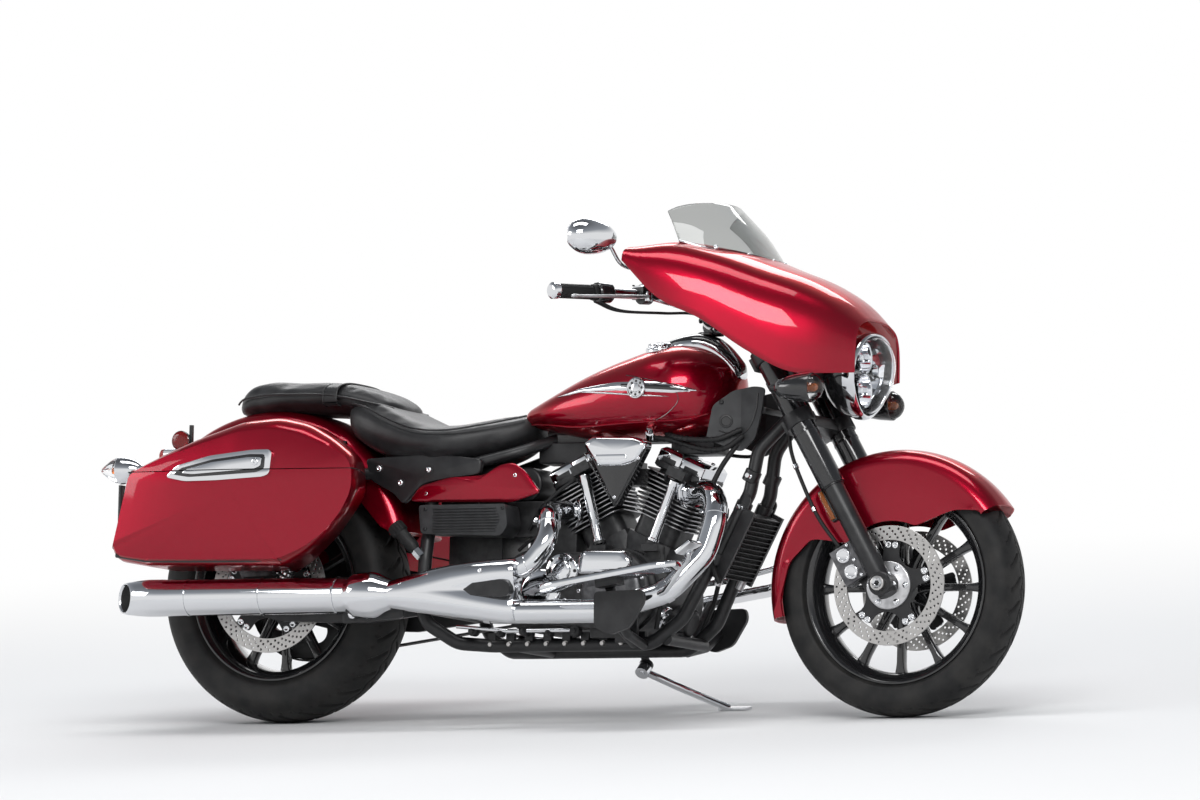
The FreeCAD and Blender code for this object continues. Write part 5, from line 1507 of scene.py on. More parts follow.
def bag_gasket(name, side):
    """The rubber line round the seam."""
    form = Form()
    near = [x for x, z in bag_outline() if abs(z - BAG_SEAM) < 14]
    shares = (0.03, 0.3, 0.6, 0.8, 0.9, 0.92)
    lines = [bag_point(share, (max(near), BAG_SEAM), side) + Vector((-1.5, 0, 0))
             for share in shares]
    lines += [bag_point(share, (min(near), BAG_SEAM), side) + Vector((1.5, 0, 0))
              for share in reversed(shares)]
    pipe(form, [Vector((p.x, p.y, BAG_SEAM)) for p in lines + lines[:1]], 1.6, RUBBER, 8)
    piece(f"bag_gasket_{name}", form, "chassis")


def bag_hinges(name, side):
    """Two hinges at the bag's inner edge, each with the lid's knuckle between its plates."""
    form = Form()
    y = side * (BAG_INNER - 6)
    for x in HINGE_X:
        for end in (-18, 18):
            box(form, (6, 11.4, 126), (x + end, y, 627), SATIN)
            lathe(form, [(-3, 5.7), (3, 5.7)], (x + end, y, HINGE_Z), FORWARD, SATIN, 20, True)
        box(form, (42, 13, 30), (x, side * (BAG_INNER - 5.5), 581), SATIN)
        lathe(form, [(-21, 3), (21, 3)], (x, y, HINGE_Z), FORWARD, SATIN, 16, True)
    piece(f"bag_hinges_{name}", form, "chassis")
    form = Form()
    for x in HINGE_X:
        lathe(form, [(-14.5, 3.1), (-14.5, 7), (14.5, 7), (14.5, 3.1)], (x, y, HINGE_Z), FORWARD,
              SATIN, 24)
    piece(f"bag_knuckles_{name}", form, f"bag_lid_{name}")


def saddlebag(name, side):
    """One bag with its lid and all its trim."""
    bag_shells(name, side)
    bag_gasket(name, side)
    bag_hinges(name, side)
    bag_strips(name, side)
    bag_latch(name, side)


saddlebag("right", -1)
saddlebag("left", 1)


# Exhaust

MUFFLER_BASE = Vector((0, -300, 296))
MUFFLER_RADIUS = 46
SLANT_START, SLANT_END = -200.0, -300.0


def slanted(form, profile, paint):
    """The muffler's end, cut on the slant and open to its outer side."""
    rings = []
    for x, radius in profile:
        share = min(max((x - SLANT_START) / (SLANT_END - SLANT_START), 0.0), 1.0)
        ring = []
        for angle in turns(96):
            y = radius * math.cos(angle)
            ring.append(MUFFLER_BASE + Vector((x - share * y, y, radius * math.sin(angle))))
        rings.append(ring)
    skin(form, rings, paint, False)


def clamp(form, here, after, radius):
    """A band round a pipe with its lug and bolt."""
    run = (after - here).normalized()
    lathe(form, [(-9, radius), (-9, radius + 2.4), (9, radius + 2.4), (9, radius)], here, run,
          CHROME, 40)
    side, lift = frame_at(run)
    box(form, (14, 10, 12), here + side * (radius + 6), SATIN)
    hexagon(form, here + side * (radius + 6) + lift * 5, lift, 4.5, 8, CHROME)


def exhaust_pipes():
    """Both pipes from the cylinders to the muffler, with their clamps and flanges."""
    form = Form()
    front = bent([(1154, -62, 560), (1240, -110, 560), (1272, -150, 500), (1250, -170, 400),
                  (1170, -215, 300), (1010, -250, 252), (720, -268, 252), (560, -288, 285),
                  (500, -300, 296), (452.3, -300, 296)], 110)
    rear = bent([(836, -62, 520), (790, -130, 515), (835, -205, 490), (848, -240, 430),
                 (800, -250, 366), (700, -262, 354), (600, -280, 336), (520, -296, 302)], 70)
    pipe(form, front, 30, CHROME, 36)
    pipe(form, rear, 27, CHROME, 36)
    for line, radius, marks in ((front, 30, (0.34, 0.62, 0.86)), (rear, 27, (0.42, 0.8))):
        for mark in marks:
            index = int(mark * (len(line) - 2))
            clamp(form, line[index], line[index + 1], radius)
    for line in (front, rear):
        lathe(form, [(0, 30), (0, 42), (8, 42), (9, 40), (9, 31)], line[0], line[1] - line[0],
              CHROME, 48)
    piece("exhaust_pipes", form, "chassis", ("exhaust_headers",))


def muffler():
    """The long round muffler, its cone in front and its slanted end."""
    form = Form()
    lathe(form, [(452, 36), (430, 44), (410, 54), (398, 58), (352, 58), (346, 56), (336, 49.5),
                 (330, 47), (327, MUFFLER_RADIUS), (-178, MUFFLER_RADIUS)], MUFFLER_BASE,
          FORWARD, CHROME, 96)
    slanted(form, [(-178, MUFFLER_RADIUS), (-200, 47), (-240, 47), (-270, 45), (-300, 41.5),
                   (-310, 39.5), (-312.5, 37.5), (-311, 35.5), (-306, 35)], CHROME)
    slanted(form, [(-306, 35), (-240, 34), (-150, 33), (-148, 0.01)], DARK)
    piece("muffler_can", form, "chassis", ("muffler",), sharp=30)


def collector(form):
    """The swollen body before the muffler, pinched along its side."""
    rings = []
    for x, z, rise, deep, y in (
            (440, 296, 34, 34, -300), (452, 296, 37, 37, -300), (500, 299, 46, 39, -298),
            (560, 303, 58, 41, -294), (620, 305, 67, 42, -290), (680, 305, 74, 42, -285),
            (730, 304, 79, 42, -280), (764, 303, 81, 42, -277), (778, 303, 80, 40, -276),
            (784, 303, 76, 36, -275)):
        ring = []
        for angle in turns(72):
            c, s = math.cos(angle), math.sin(angle)
            waist = 1 - 0.62 * max(0.0, (x - 540) / 244) * (1 - abs(s)) ** 2
            ring.append((x, y + deep * waist * math.copysign(abs(c) ** 0.86, c),
                         z + rise * math.copysign(abs(s) ** 0.92, s)))
        rings.append(ring)
    skin(form, rings, CHROME)


def muffler_bands():
    """Three bands round the muffler, the collector's body, a black plate in its pinched side as
    painted shade, and two screws.
    """
    form = Form()
    outer = MUFFLER_RADIUS + 1.6
    for x in (300, 90, -120):
        lathe(form, [(x, MUFFLER_RADIUS), (x, outer), (x - 5, outer), (x - 5, MUFFLER_RADIUS)],
              MUFFLER_BASE, FORWARD, CHROME, 72)
    collector(form)
    # A black plate set in the pinched side so the collector reads as two pipes: painted shade in the
    # recess.
    hollow = softened_corners([(590, 306), (660, 320), (752, 328), (782, 322), (782, 290),
                               (752, 286), (660, 292)], 12, 8)
    plate(form, hollow, -317, -280, SATIN)
    for spot in ((484, -329, 318), (700, -318, 352)):
        bolt(form, spot, (0, -1, 0), 6, CHROME)
    piece("muffler_bands", form, "chassis")


exhaust_pipes()
muffler()
muffler_bands()


# Fairing and windscreen

FAIRING_STATIONS = [(1090, 356, 1164, 1116), (1180, 346, 1186, 1026), (1290, 318, 1164, 970),
                    (1400, 275, 1124, 893), (1500, 228, 1084, 842), (1580, 178, 1034, 842),
                    (1632, 136, 986, 846)]
LAMP_BACK, LAMP_Z, LAMP_TILT = 1500.0, 858.0, 0.13
EGG_POINTS = 72
SCREEN_TABLE = [(0.0, 1350, 1176, 240, 1126, 1176), (0.5, 1296, 1146, 214, 1210, 1224),
                (1.0, 1226, 1110, 172, 1287, 1266)]


def egg(x, share, tilt=LAMP_TILT, wall=0.0):
    """The lamp's egg outline, wider above, on a plane that leans with its height."""
    ring = []
    for angle in turns(EGG_POINTS):
        c, s = math.cos(angle), math.sin(angle)
        rise = share * (108.5 - 8.5 * s + wall) * s
        y = (124 + wall) * c * (1 - 0.22 * max(0.0, -s) ** 2)
        ring.append((x + tilt * rise, share * y, LAMP_Z + rise))
    return ring


def arch_ring(x, half, top, low):
    """An arch across the machine, as in the shell's sections, on a smooth curve."""
    rise = top - low
    side = [(half, low), (half * 0.995, low + rise * 0.2), (half * 0.985, low + rise * 0.4),
            (half * 0.94, low + rise * 0.64), (half * 0.81, low + rise * 0.84),
            (half * 0.52, low + rise * 0.958), (half * 0.22, low + rise * 0.995)]
    whole = side + [(0, low + rise)] + [(-y, z) for y, z in reversed(side)]
    return [(x, y, z) for y, z in smooth_line(whole, 57)]


def fairing():
    """The fork-mounted shell, open to the rider and round the lamp."""
    xs = np.linspace(1090, 1632, 64)
    rings = [arch_ring(x, *row) for x, row in zip(xs, through(xs, FAIRING_STATIONS))]
    points = [p for ring in rings for p in ring]
    form = Form()
    form.add(points, grid_faces(len(rings), len(rings[0]), False), RED)
    obj = solid("fairing_shell", form)
    work = bmesh.new()
    work.from_mesh(obj.data)
    if sum(face.normal.z for face in work.faces) < 0:
        bmesh.ops.reverse_faces(work, faces=work.faces)
    work.to_mesh(obj.data)
    work.free()
    walled(obj, 5.0)
    hole = Form()
    skin(hole, [egg(1440, 1.0, 0, 0.8), egg(1760, 1.0, 0, 0.8)], RED)
    mouth = [(1000, -252), (1176, -238), (1268, -170), (1326, -80), (1342, 0), (1326, 80),
             (1268, 170), (1176, 238), (1000, 252)]
    opening = Form()
    skin(opening, [[(x, y, z) for x, y in softened_corners(mouth, 40, 4)] for z in (1080, 1400)],
         RED)
    carved(obj, hole, opening)
    rounded(obj, 1.6, 2, 40)
    seat(obj, "steering", ("fairing",), 40)


def screen_turn(u):
    """The way the screen faces at a share from side to side."""
    return math.radians(-90 + 180 * u)


def screen_point(u, v):
    """A point of the screen: u from side to side, v from its foot to its top."""
    front, rear, half, front_z, rear_z = through([v], SCREEN_TABLE)[0]
    angle = screen_turn(u)
    x = rear + (front - rear) * math.cos(angle)
    z = rear_z + (front_z - rear_z) * (x - rear) / (front - rear)
    return Vector((x, half * math.sin(angle), z))


def screen_pane():
    """The smoked pane, its upper corners cut round."""
    columns, rows = 61, 26
    points = []
    for row in range(rows):
        for column in range(columns):
            u = 0.03 + 0.94 * column / (columns - 1)
            share = 1.0 - 0.22 * (abs(2 * u - 1) ** 7)
            points.append(screen_point(u, row / (rows - 1) * share))
    form = Form()
    form.add(points, grid_faces(rows, columns, False), SMOKED)
    obj = linked("windscreen_pane", form.mesh("windscreen_pane"))
    walled(obj, 4.0, 0.0)
    rounded(obj, 1.2, 2, 50)
    seat(obj, "steering", ("windscreen",), 50)


def screen_trim():
    """The bright bead along the screen's foot and its five screws."""
    form = Form()
    foot = [screen_point(0.03 + 0.94 * i / 60, 0.02) + Vector((1.0, 0, 1.0)) for i in range(61)]
    pipe(form, foot, 4.2, CHROME, 12)
    piece("windscreen_trim", form, "steering")
    form = Form()
    for u in (0.2, 0.35, 0.5, 0.65, 0.8):
        out = Vector((math.cos(screen_turn(u)), math.sin(screen_turn(u)), 0.35)).normalized()
        bolt(form, screen_point(u, 0.10) + out * 2.0, out, 6.5, CHROME)
    piece("windscreen_bolts", form, "steering")


def reflector(form):
    """The lamp's faceted bowl, by turns bright and dark: every other facet and the floor take a
    darker copy of the metal as painted shade.
    """
    rings = []
    for x, share in ((1600, 0.86), (1594, 0.85), (1588, 0.82), (1581, 0.77), (1572, 0.71),
                     (1562, 0.62), (1552, 0.50), (1545, 0.38), (1540, 0.24), (1538, 0.10)):
        rings.append([(px + (3.0 if (i // 4) % 2 else 0.0), py, pz)
                      for i, (px, py, pz) in enumerate(egg(x, share))])
    points = [point for ring in rings for point in ring]
    faces = grid_faces(len(rings), EGG_POINTS)
    # Every other facet is painted with the darker copy of the reflector's metal: painted shade.
    for shade, paint in ((0, MIRROR), (1, SHADED_BOWL)):
        form.add(points, [face for index, face in enumerate(faces)
                          if (index % EGG_POINTS // 4 + index // EGG_POINTS // 2) % 2 == shade],
                 paint)
    form.add(rings[-1], [tuple(range(EGG_POINTS))], SHADED_BOWL)


def headlamp_shell():
    """The lamp's housing with its bright rim and its reflector."""
    form = Form()
    back = egg(LAMP_BACK, 0.36, 0)
    skin(form, [back, egg(1512, 0.52, 0.05), egg(1524, 0.66), egg(1542, 0.79), egg(1560, 0.88),
                egg(1578, 0.94), egg(1590, 0.955)], GLOSS, False)
    skin(form, [egg(1590, 0.955), egg(1592, 0.985), egg(1604, 1.003), egg(1612, 1.003),
                egg(1619, 0.985), egg(1623, 0.95), egg(1622, 0.915), egg(1619, 0.90)], CHROME,
         False)
    skin(form, [egg(1619, 0.90), egg(1608, 0.885), egg(1600, 0.86)], GLOSS, False)
    form.add(back, [tuple(range(EGG_POINTS))], GLOSS)
    reflector(form)
    piece("headlamp_shell", form, "steering", ("headlamp_bowl",), sharp=46)


def headlamp_reflectors():
    """The two lamps one above the other, two small ones beside them, and the dark bars."""
    form = Form()
    for z, radius in ((LAMP_Z + 38, 37), (LAMP_Z - 44, 40)):
        base = (1550, 0, z)
        lathe(form, [(0, radius * 0.45), (10, radius * 0.7), (26, radius * 0.92), (40, radius)],
              base, FORWARD, GLOSS, 56)
        lathe(form, [(40, radius), (46, radius + 3), (50, radius + 2), (48, radius - 2)], base,
              FORWARD, CHROME, 56)
        lathe(form, [(48, radius - 2), (30, radius * 0.86), (16, radius * 0.66),
                     (6, radius * 0.4), (4, 0.01)], base, FORWARD, MIRROR, 56)
        lathe(form, [(4, 12), (32, 12), (38, 10), (40, 6), (40, 0.01)], (1554, 0, z), FORWARD,
              CHROME, 32)
    for side in (1, -1):
        lathe(form, [(0, 8), (18, 18), (22, 19), (22, 16), (6, 6)],
              (1570, side * 74, LAMP_Z + 12), FORWARD, CHROME, 32)
    box(form, (8, 176, 5), (1592, 0, LAMP_Z - 2), GLOSS)
    for side in (1, -1):
        bar(form, [(1590, side * 50, LAMP_Z - 62), (1590, side * 56, LAMP_Z + 52)], 2.2, GLOSS, 20,
            10)
    piece("headlamp_reflectors", form, "steering")


def headlamp_glass():
    """The lamp's clear front."""
    form = Form()
    rings = [egg(1610, 0.895), egg(1618, 0.892), egg(1627, 0.87), egg(1635, 0.81),
             egg(1641, 0.72), egg(1646, 0.56), egg(1649, 0.38), egg(1650, 0.18), egg(1650.4, 0.02)]
    skin(form, rings, LAMP_GLASS, False)
    form.add(rings[-1], [tuple(range(EGG_POINTS))], LAMP_GLASS)
    obj = walled(solid("headlamp_glass", form), 3.0)
    seat(obj, "steering", ("headlamp_lens",), 60)


fairing()
screen_pane()
screen_trim()
headlamp_shell()
headlamp_reflectors()
headlamp_glass()


# Engine

CRANK = Vector((985, 0, 312))
GEARBOX = Vector((745, 0, 318))
TILTS = (24, -26)
PUSHROD_LEAN = (21, 35)
TAPPET_X = (-58, 85)
TAPPET_TOP = 430.0
BARREL_TOP = 342.0
FIN_COUNT, FIN_START, FIN_PITCH, FIN_HALF = 11, 199.0, 11.0, 84.0


def cylinder_turn(tilt):
    """A cylinder's lean about the crank."""
    return Matrix.Rotation(math.radians(tilt), 3, "Y")


def soft_ring(half, corner, level, tilt, count=10):
    """A square with round corners about a cylinder's axis, at a level above the crank."""
    turn = cylinder_turn(tilt)
    ring = []
    for quarter, (sx, sy) in enumerate(((1, 1), (-1, 1), (-1, -1), (1, -1))):
        for step in range(count):
            angle = math.radians(90 * quarter + 90 * step / (count - 1))
            ring.append(CRANK + turn @ Vector((sx * (half - corner) + corner * math.cos(angle),
                                               sy * (half - corner) + corner * math.sin(angle),
                                               level)))
    return ring


def finned_cylinder(name, tilt, lean, node):
    """A cylinder with its stacked fins, its head, the pushrods' block and the spark plug."""
    form = Form()
    skin(form, [soft_ring(60, 26, 150, tilt), soft_ring(60, 26, BARREL_TOP, tilt)], ENGINE)
    for step in range(FIN_COUNT):
        base = FIN_START + step * FIN_PITCH
        half = FIN_HALF - (0 if step > 2 else (3 - step) * 3)
        skin(form, [soft_ring(58, 20, base, tilt), soft_ring(half - 0.9, 30, base, tilt)], ENGINE,
             False)
        skin(form, [soft_ring(half - 0.9, 30, base, tilt), soft_ring(half, 30, base + 0.8, tilt),
                    soft_ring(half, 30, base + 2.6, tilt),
                    soft_ring(half - 0.9, 30, base + 3.4, tilt)], ALLOY, False)
        skin(form, [soft_ring(half - 0.9, 30, base + 3.4, tilt),
                    soft_ring(58, 20, base + 3.4, tilt)], ENGINE, False)
    skin(form, [soft_ring(70, 26, BARREL_TOP - 20, tilt), soft_ring(74, 26, BARREL_TOP - 16, tilt),
                soft_ring(74, 26, BARREL_TOP - 3, tilt), soft_ring(70, 26, BARREL_TOP, tilt)],
         ENGINE)
    turn = cylinder_turn(tilt)
    box(form, (50, 44, 24), CRANK + turn @ Vector((lean, -96, BARREL_TOP - 12)), ENGINE, turn)
    for sx in (-1, 1):
        for sy in (-1, 1):
            spot = CRANK + turn @ Vector((sx * 62, sy * 62, BARREL_TOP - 1))
            hexagon(form, spot, turn @ UPWARD, 5.5, 9, CHROME)
    lathe(form, [(0, 7), (16, 7), (18, 5.5), (30, 5), (32, 4), (32, 0.01)],
          CRANK + turn @ Vector((-10 if tilt > 0 else 10, -72, BARREL_TOP - 44)),
          turn @ Vector((0, -1, 0.5)), SATIN, 16)
    piece(name, form, "chassis", (node,))


def rocker_gear():
    """The polished rocker covers, two on each cylinder."""
    form = Form()
    base = BARREL_TOP + 0.3
    for tilt in TILTS:
        turn = cylinder_turn(tilt)
        skin(form, [soft_ring(64, 22, base, tilt), soft_ring(66, 22, base + 2, tilt),
                    soft_ring(66, 22, base + 7, tilt), soft_ring(62, 20, base + 8, tilt)], ENGINE)
        for sx in (-34, 34):
            skin(form, [
                [CRANK + turn @ Vector((sx + x * 33, y * 68, base + z)) for x, y, z in ring]
                for ring in (
                    [(-1, -1, -16), (1, -1, -16), (1, 1, -16), (-1, 1, -16)],
                    [(-1, -1, 24), (1, -1, 24), (1, 1, 24), (-1, 1, 24)],
                    [(-0.76, -0.84, 33), (0.76, -0.84, 33), (0.76, 0.84, 33), (-0.76, 0.84, 33)])],
                 CHROME)
        for sx in (-33, 33):
            for sy in (-1, 1):
                spot = CRANK + turn @ Vector((sx, sy * 40, base + 33))
                bolt(form, spot, turn @ UPWARD, 5.5, CHROME)
            spot = CRANK + turn @ Vector((sx, -68, base + 4))
            box(form, (40, 3, 14), spot, ENGINE, turn)
    piece("rocker_boxes", form, "chassis", ("rocker_covers",), 2.2, 3)


def pushrod_covers():
    """The tubes from the tappet blocks to the heads."""
    form = Form()
    for tilt, lean in zip(TILTS, PUSHROD_LEAN):
        turn = cylinder_turn(tilt)
        head = CRANK + turn @ Vector((lean, -104, BARREL_TOP - 24))
        foot = Vector((CRANK.x + TAPPET_X[tilt > 0], -104, TAPPET_TOP))
        run = head - foot
        length = run.length
        lathe(form, [(4, 15.5), (16, 15.5), (18, 13.4), (24, 13), (length - 34, 13),
                     (length - 30, 14.6), (length - 8, 14.6), (length - 6, 12), (length - 4, 0.01)],
              foot, run, CHROME, 48)
        lathe(form, [(0, 18), (6, 18), (8, 16), (8, 12)], foot + run.normalized() * 2, run, SATIN,
              40)
    piece("pushrod_covers", form, "chassis")


def crankcase():
    softened("crankcase", ENGINE, 3.0, 3)


def crankcase_details():
    """The bolts below, a bright round cap and the ribbed oil filter."""
    form = Form()
    for index in range(14):
        lathe(form, [(0, 6), (6, 6), (8, 4.5), (8, 0.01)], (690 + index * 26, 0, 205), (0, 0, -1),
              CASTING, 16)
    lathe(form, [(0, 30), (10, 30), (12, 28), (12, 14), (16, 13), (16, 0.01)],
          (1072, -40, 256), (0.82, 0, -0.57), CHROME, 48)
    base, ahead = Vector((1062, 30, 262)), Vector((0.92, 0, -0.38))
    lathe(form, [(-2, 36), (60, 36), (66, 34), (70, 28), (70, 0.01)], base, ahead, ENGINE, 48)
    side, lift = frame_at(ahead)
    spot = base + ahead.normalized() * 56
    for angle in turns(16):
        box(form, (16, 5, 5), spot + side * 36 * math.cos(angle) + lift * 36 * math.sin(angle),
            ENGINE)
    piece("crankcase_details", form, "chassis", width=0.6)


def cover_outline(radius, rear_x, rear_radius):
    """The outline of an engine cover round the crank and the gearbox."""
    points = []
    for centre_x, centre_z, reach, start, sweep, count in (
            (CRANK.x, CRANK.z, radius, 100, 200, 36),
            (rear_x, GEARBOX.z, rear_radius, -100, 160, 28)):
        for step in range(count + 1):
            angle = math.radians(start - sweep * step / count)
            points.append((centre_x + reach * math.cos(angle), centre_z + reach * math.sin(angle)))
    return points


def right_engine_cover():
    """The gear cover with its two round caps, the small bright one and the top cover."""
    form = Form()
    out = (0, -1, 0)
    domed_plate(form, cover_outline(104, 790, 84), -100.3, -1, 52, ENGINE, 12, 3)
    lathe(form, [(0, 82), (6, 82), (10, 78), (12, 70), (13, 30), (14, 0.01)],
          (CRANK.x, -152, CRANK.z), out, CASTING, 96)
    lathe(form, [(0, 58), (4, 58), (9, 54), (12, 46), (13, 20), (14, 0.01)], (790, -152, 312), out,
          CHROME, 72)
    bolt_circle(form, (CRANK.x, -152, CRANK.z), 90, 9, out, 6, CHROME, 0.5)
    bolt_circle(form, (800, -152, 322), 66, 6, out, 6, CHROME, 0.5)
    lathe(form, [(-20, 46), (12, 46), (17, 43), (19, 34), (19, 27), (24, 25), (26, 18),
                 (26, 0.01)], (853, -152, 361), out, CHROME, 64)
    bolt_circle(form, (853, -170, 361), 38, 8, out, 4.5, SATIN)
    cover = [(899, 352), (899, 398), (912, 412), (1026, 410), (1046, 386), (1040, 352)]
    skin(form, drawn_in(softened_corners(cover, 10, 5), (974, 381), (75, 34),
                        ((-148, 0), (-166, 0), (-172, 2), (-175, 7), (-176, 16), (-177, 27))),
         CHROME)
    piece("right_engine_cover", form, "chassis", ("gear_cover",), 1.2, 2)


def left_engine_cover():
    """The primary cover with its two bright round caps."""
    form = Form()
    out = (0, 1, 0)
    domed_plate(form, cover_outline(104, 790, 88), 100.3, 1, 78, ENGINE, 14, 3)
    lathe(form, [(0, 80), (5, 80), (10, 76), (12, 60), (13, 0.01)], (CRANK.x, 178, CRANK.z), out,
          CHROME, 96)
    lathe(form, [(0, 60), (4, 60), (8, 56), (10, 40), (11, 0.01)], (800, 178, 320), out, CHROME, 72)
    bolt_circle(form, (CRANK.x, 178, CRANK.z), 91, 10, out, 6, CHROME, 0.5)
    bolt_circle(form, (800, 178, 320), 74, 7, out, 6, CHROME, 0.5)
    piece("left_engine_cover", form, "chassis", ("primary_cover",), 1.2, 2)


COVER_OUTLINE = [(893, 683), (918, 698), (1037, 695), (1076, 680), (989, 518)]


def intake_cover():
    """The V-shaped cover between the cylinders, bright above and black below."""
    form = Form()
    outline = softened_corners(COVER_OUTLINE, 16, 5)
    skin(form, drawn_in(outline, np.mean(np.array(outline), axis=0), (90, 90),
                        ((-118, 0), (-140, 0), (-147, 2), (-151, 6), (-153, 13))), GLOSS)
    piece("intake_cover_shell", form, "chassis", ("intake_cover",))
    form = Form()
    top = [(896, 682), (920, 699), (1036, 696), (1074, 681), (1046, 632), (1010, 622), (938, 622)]
    outline = softened_corners(top, 10, 4)
    skin(form, drawn_in(outline, np.mean(np.array(outline), axis=0), (80, 60),
                        ((-118, -1.5), (-144, -1.5), (-152, 2), (-157, 8), (-159, 16))), CHROME)
    strip = softened_corners([(940, 640), (1024, 640), (1018, 652), (934, 652)], 4, 3)
    plate(form, strip, -162, -158, CHROME)
    piece("intake_cover_cap", form, "chassis", width=0.8)


def intake_manifold():
    """The cover's black edge with its screws, and the throttle block behind it."""
    form = Form()
    edge = [(x, -146, z) for x, z in softened_corners([(896, 660), (988, 521), (1071, 668)], 10, 4)]
    pipe(form, edge, 2.4, GLOSS, 10)
    for x, z in ((912, 640), (988, 545), (1052, 642)):
        bolt(form, (x, -152, z), (0, -1, 0), 5, CHROME)
    box(form, (64, 100, 60), (978, -62, 612), SATIN)
    box(form, (124, 56, 40), (980, -45, 603), ENGINE)
    lathe(form, [(0, 26), (40, 26), (42, 24), (42, 0.01)], (952, -40, 640), (0, -1, 0), CASTING, 40)
    piece("intake_manifold", form, "chassis", width=1.2)


finned_cylinder("front_finned_cylinder", TILTS[0], PUSHROD_LEAN[0], "front_cylinder")
finned_cylinder("rear_finned_cylinder", TILTS[1], PUSHROD_LEAN[1], "rear_cylinder")
rocker_gear()
pushrod_covers()
crankcase()
crankcase_details()
right_engine_cover()
left_engine_cover()
intake_cover()
intake_manifold()


# Fork, brakes and front lamps

def fork_tubes():
    """The slider, the cover, the axle lug and the caliper's posts of each leg."""
    form = Form()
    for side in (1, -1):
        y = side * 120
        low = fork_point(-30, 0, y)
        lathe(form, [(0, 22), (3, 25), (6, 26), (330, 26), (331, 24)], low, UP, SATIN, 64, True)
        lathe(form, [(310, 24), (311, 28.5), (330, 29), (332, 26.5)], low, UP, SATIN, 64)
        cover = fork_point(285, 0, y)
        lathe(form, [(0, 27), (0, 31.4), (2, 32), (403, 32), (405, 30), (405, 0.01)], cover, UP,
              GLOSS, 72)
        lathe(form, [(150, 32), (150, 33.2), (156, 33.2), (156, 32)], cover, UP, GLOSS, 72)
        lathe(form, [(404, 20), (410, 20), (412, 18), (412, 0.01)], cover, UP, CHROME, 6)
        hub = Vector((WHEELBASE, y, FRONT_AXLE_Z))
        lathe(form, [(-27, 14), (-27, 27), (-24, 30), (24, 30), (27, 27), (27, 14)], hub, ACROSS,
              SATIN, 56)
        for along in (190, 250):
            spot = fork_point(along, 0, side * 80.3)
            lathe(form, [(0, 12), (2, 12), (4, 9), (38, 9)], spot, ACROSS * side, SATIN, 28)
        for lift in (-14, 14):
            hexagon(form, fork_point(lift, 22, y + side * 4), AHEAD, 5, 8, CHROME)
    piece("fork_tubes", form, "steering", ("fork_legs",), sharp=30)


def triple_clamp():
    softened("triple_clamp", SATIN, 2.4, 3)


def axle_ends():
    """The front axle's hexagon ends."""
    form = Form()
    for side in (1, -1):
        lathe(form, [(147.3, 7.2), (147.3, 17), (149, 18), (159, 18), (161.3, 16), (161.3, 7.2),
                     (120, 7.2)], (WHEELBASE, 0, FRONT_AXLE_Z), ACROSS * side, CHROME, 6)
    piece("front_axle_ends", form, "steering", width=0.8)


class Placed:
    """Turns a place in a piece's own axes into the machine's."""

    def __init__(self, centre, turn):
        self.centre = Vector(centre)
        self.turn = turn

    def __call__(self, x, y, z):
        return self.centre + self.turn @ Vector((x, y, z))


def caliper(form, place, side):
    """A four-piston caliper: a bridged body with round piston caps and its screws."""
    length, width, height = 70, 46, 96
    outer = side * width / 2
    for share in (0.64, -0.64):
        box(form, (length - 8, width * 0.36, height), place(0, outer * share, 0), CASTING,
            place.turn)
    for lift in (-0.36, 0.36):
        box(form, (length * 0.6, width, height * 0.16), place(6, 0, height * lift), CASTING,
            place.turn)
    for lift in (-0.24, 0.24):
        spot = place(0, outer, height * lift)
        lathe(form, [(-2, 19), (3, 19), (5, 17.5), (5, 13), (4, 12.4), (4, 0.01)], spot,
              place.turn @ (ACROSS * side), CHROME, 36)
    for lift in (-0.44, 0.0, 0.44):
        bolt(form, place(20, outer, height * lift), place.turn @ (ACROSS * side), 5, CHROME)


def front_calipers():
    """A caliper behind each fork leg, over its disc."""
    form = Form()
    for side in (1, -1):
        caliper(form, Placed(fork_point(96, -60.8, side * 92), RAKE_TURN), side)
    piece("front_brake_calipers", form, "steering", ("front_calipers",), 2.0, 3)


def fork_reflectors():
    """An amber reflector in its black holder behind each leg."""
    form = Form()
    for side in (1, -1):
        spot = fork_point(246, -34, side * 120)
        box(form, (16, 18, 86), spot, SATIN, RAKE_TURN)
        box(form, (11, 5, 78), spot + Vector((-1, side * 10.5, 0)), AMBER, RAKE_TURN)
        box(form, (3, 16, 78), spot + RAKE_TURN @ Vector((-8.5, 0, 0)), AMBER, RAKE_TURN)
    piece("fork_reflectors", form, "steering", width=1.6)


def brake_hoses():
    """A hose down each fork leg, with two clips."""
    form = Form()
    for side in (1, -1):
        line = smooth_line([tuple(fork_point(along, ahead, side * out)) for along, ahead, out in (
            (500, -44, 70), (430, -66, 92), (340, -74, 104), (240, -78, 104), (150, -66, 100))], 60)
        pipe(form, line, 5.0, RUBBER, 12)
        for mark in (20, 40):
            here = Vector(line[mark])
            lathe(form, [(-5, 7), (5, 7)], here, Vector(line[mark + 1]) - here, CHROME, 16, True)
    piece("front_brake_hoses", form, "steering")


def rear_caliper():
    softened("rear_caliper", CASTING, 2.4, 3)


def pod(form, centre, profile, paint):
    """A round lamp body that points along the machine."""
    lathe(form, profile, centre, FORWARD, paint, 64)


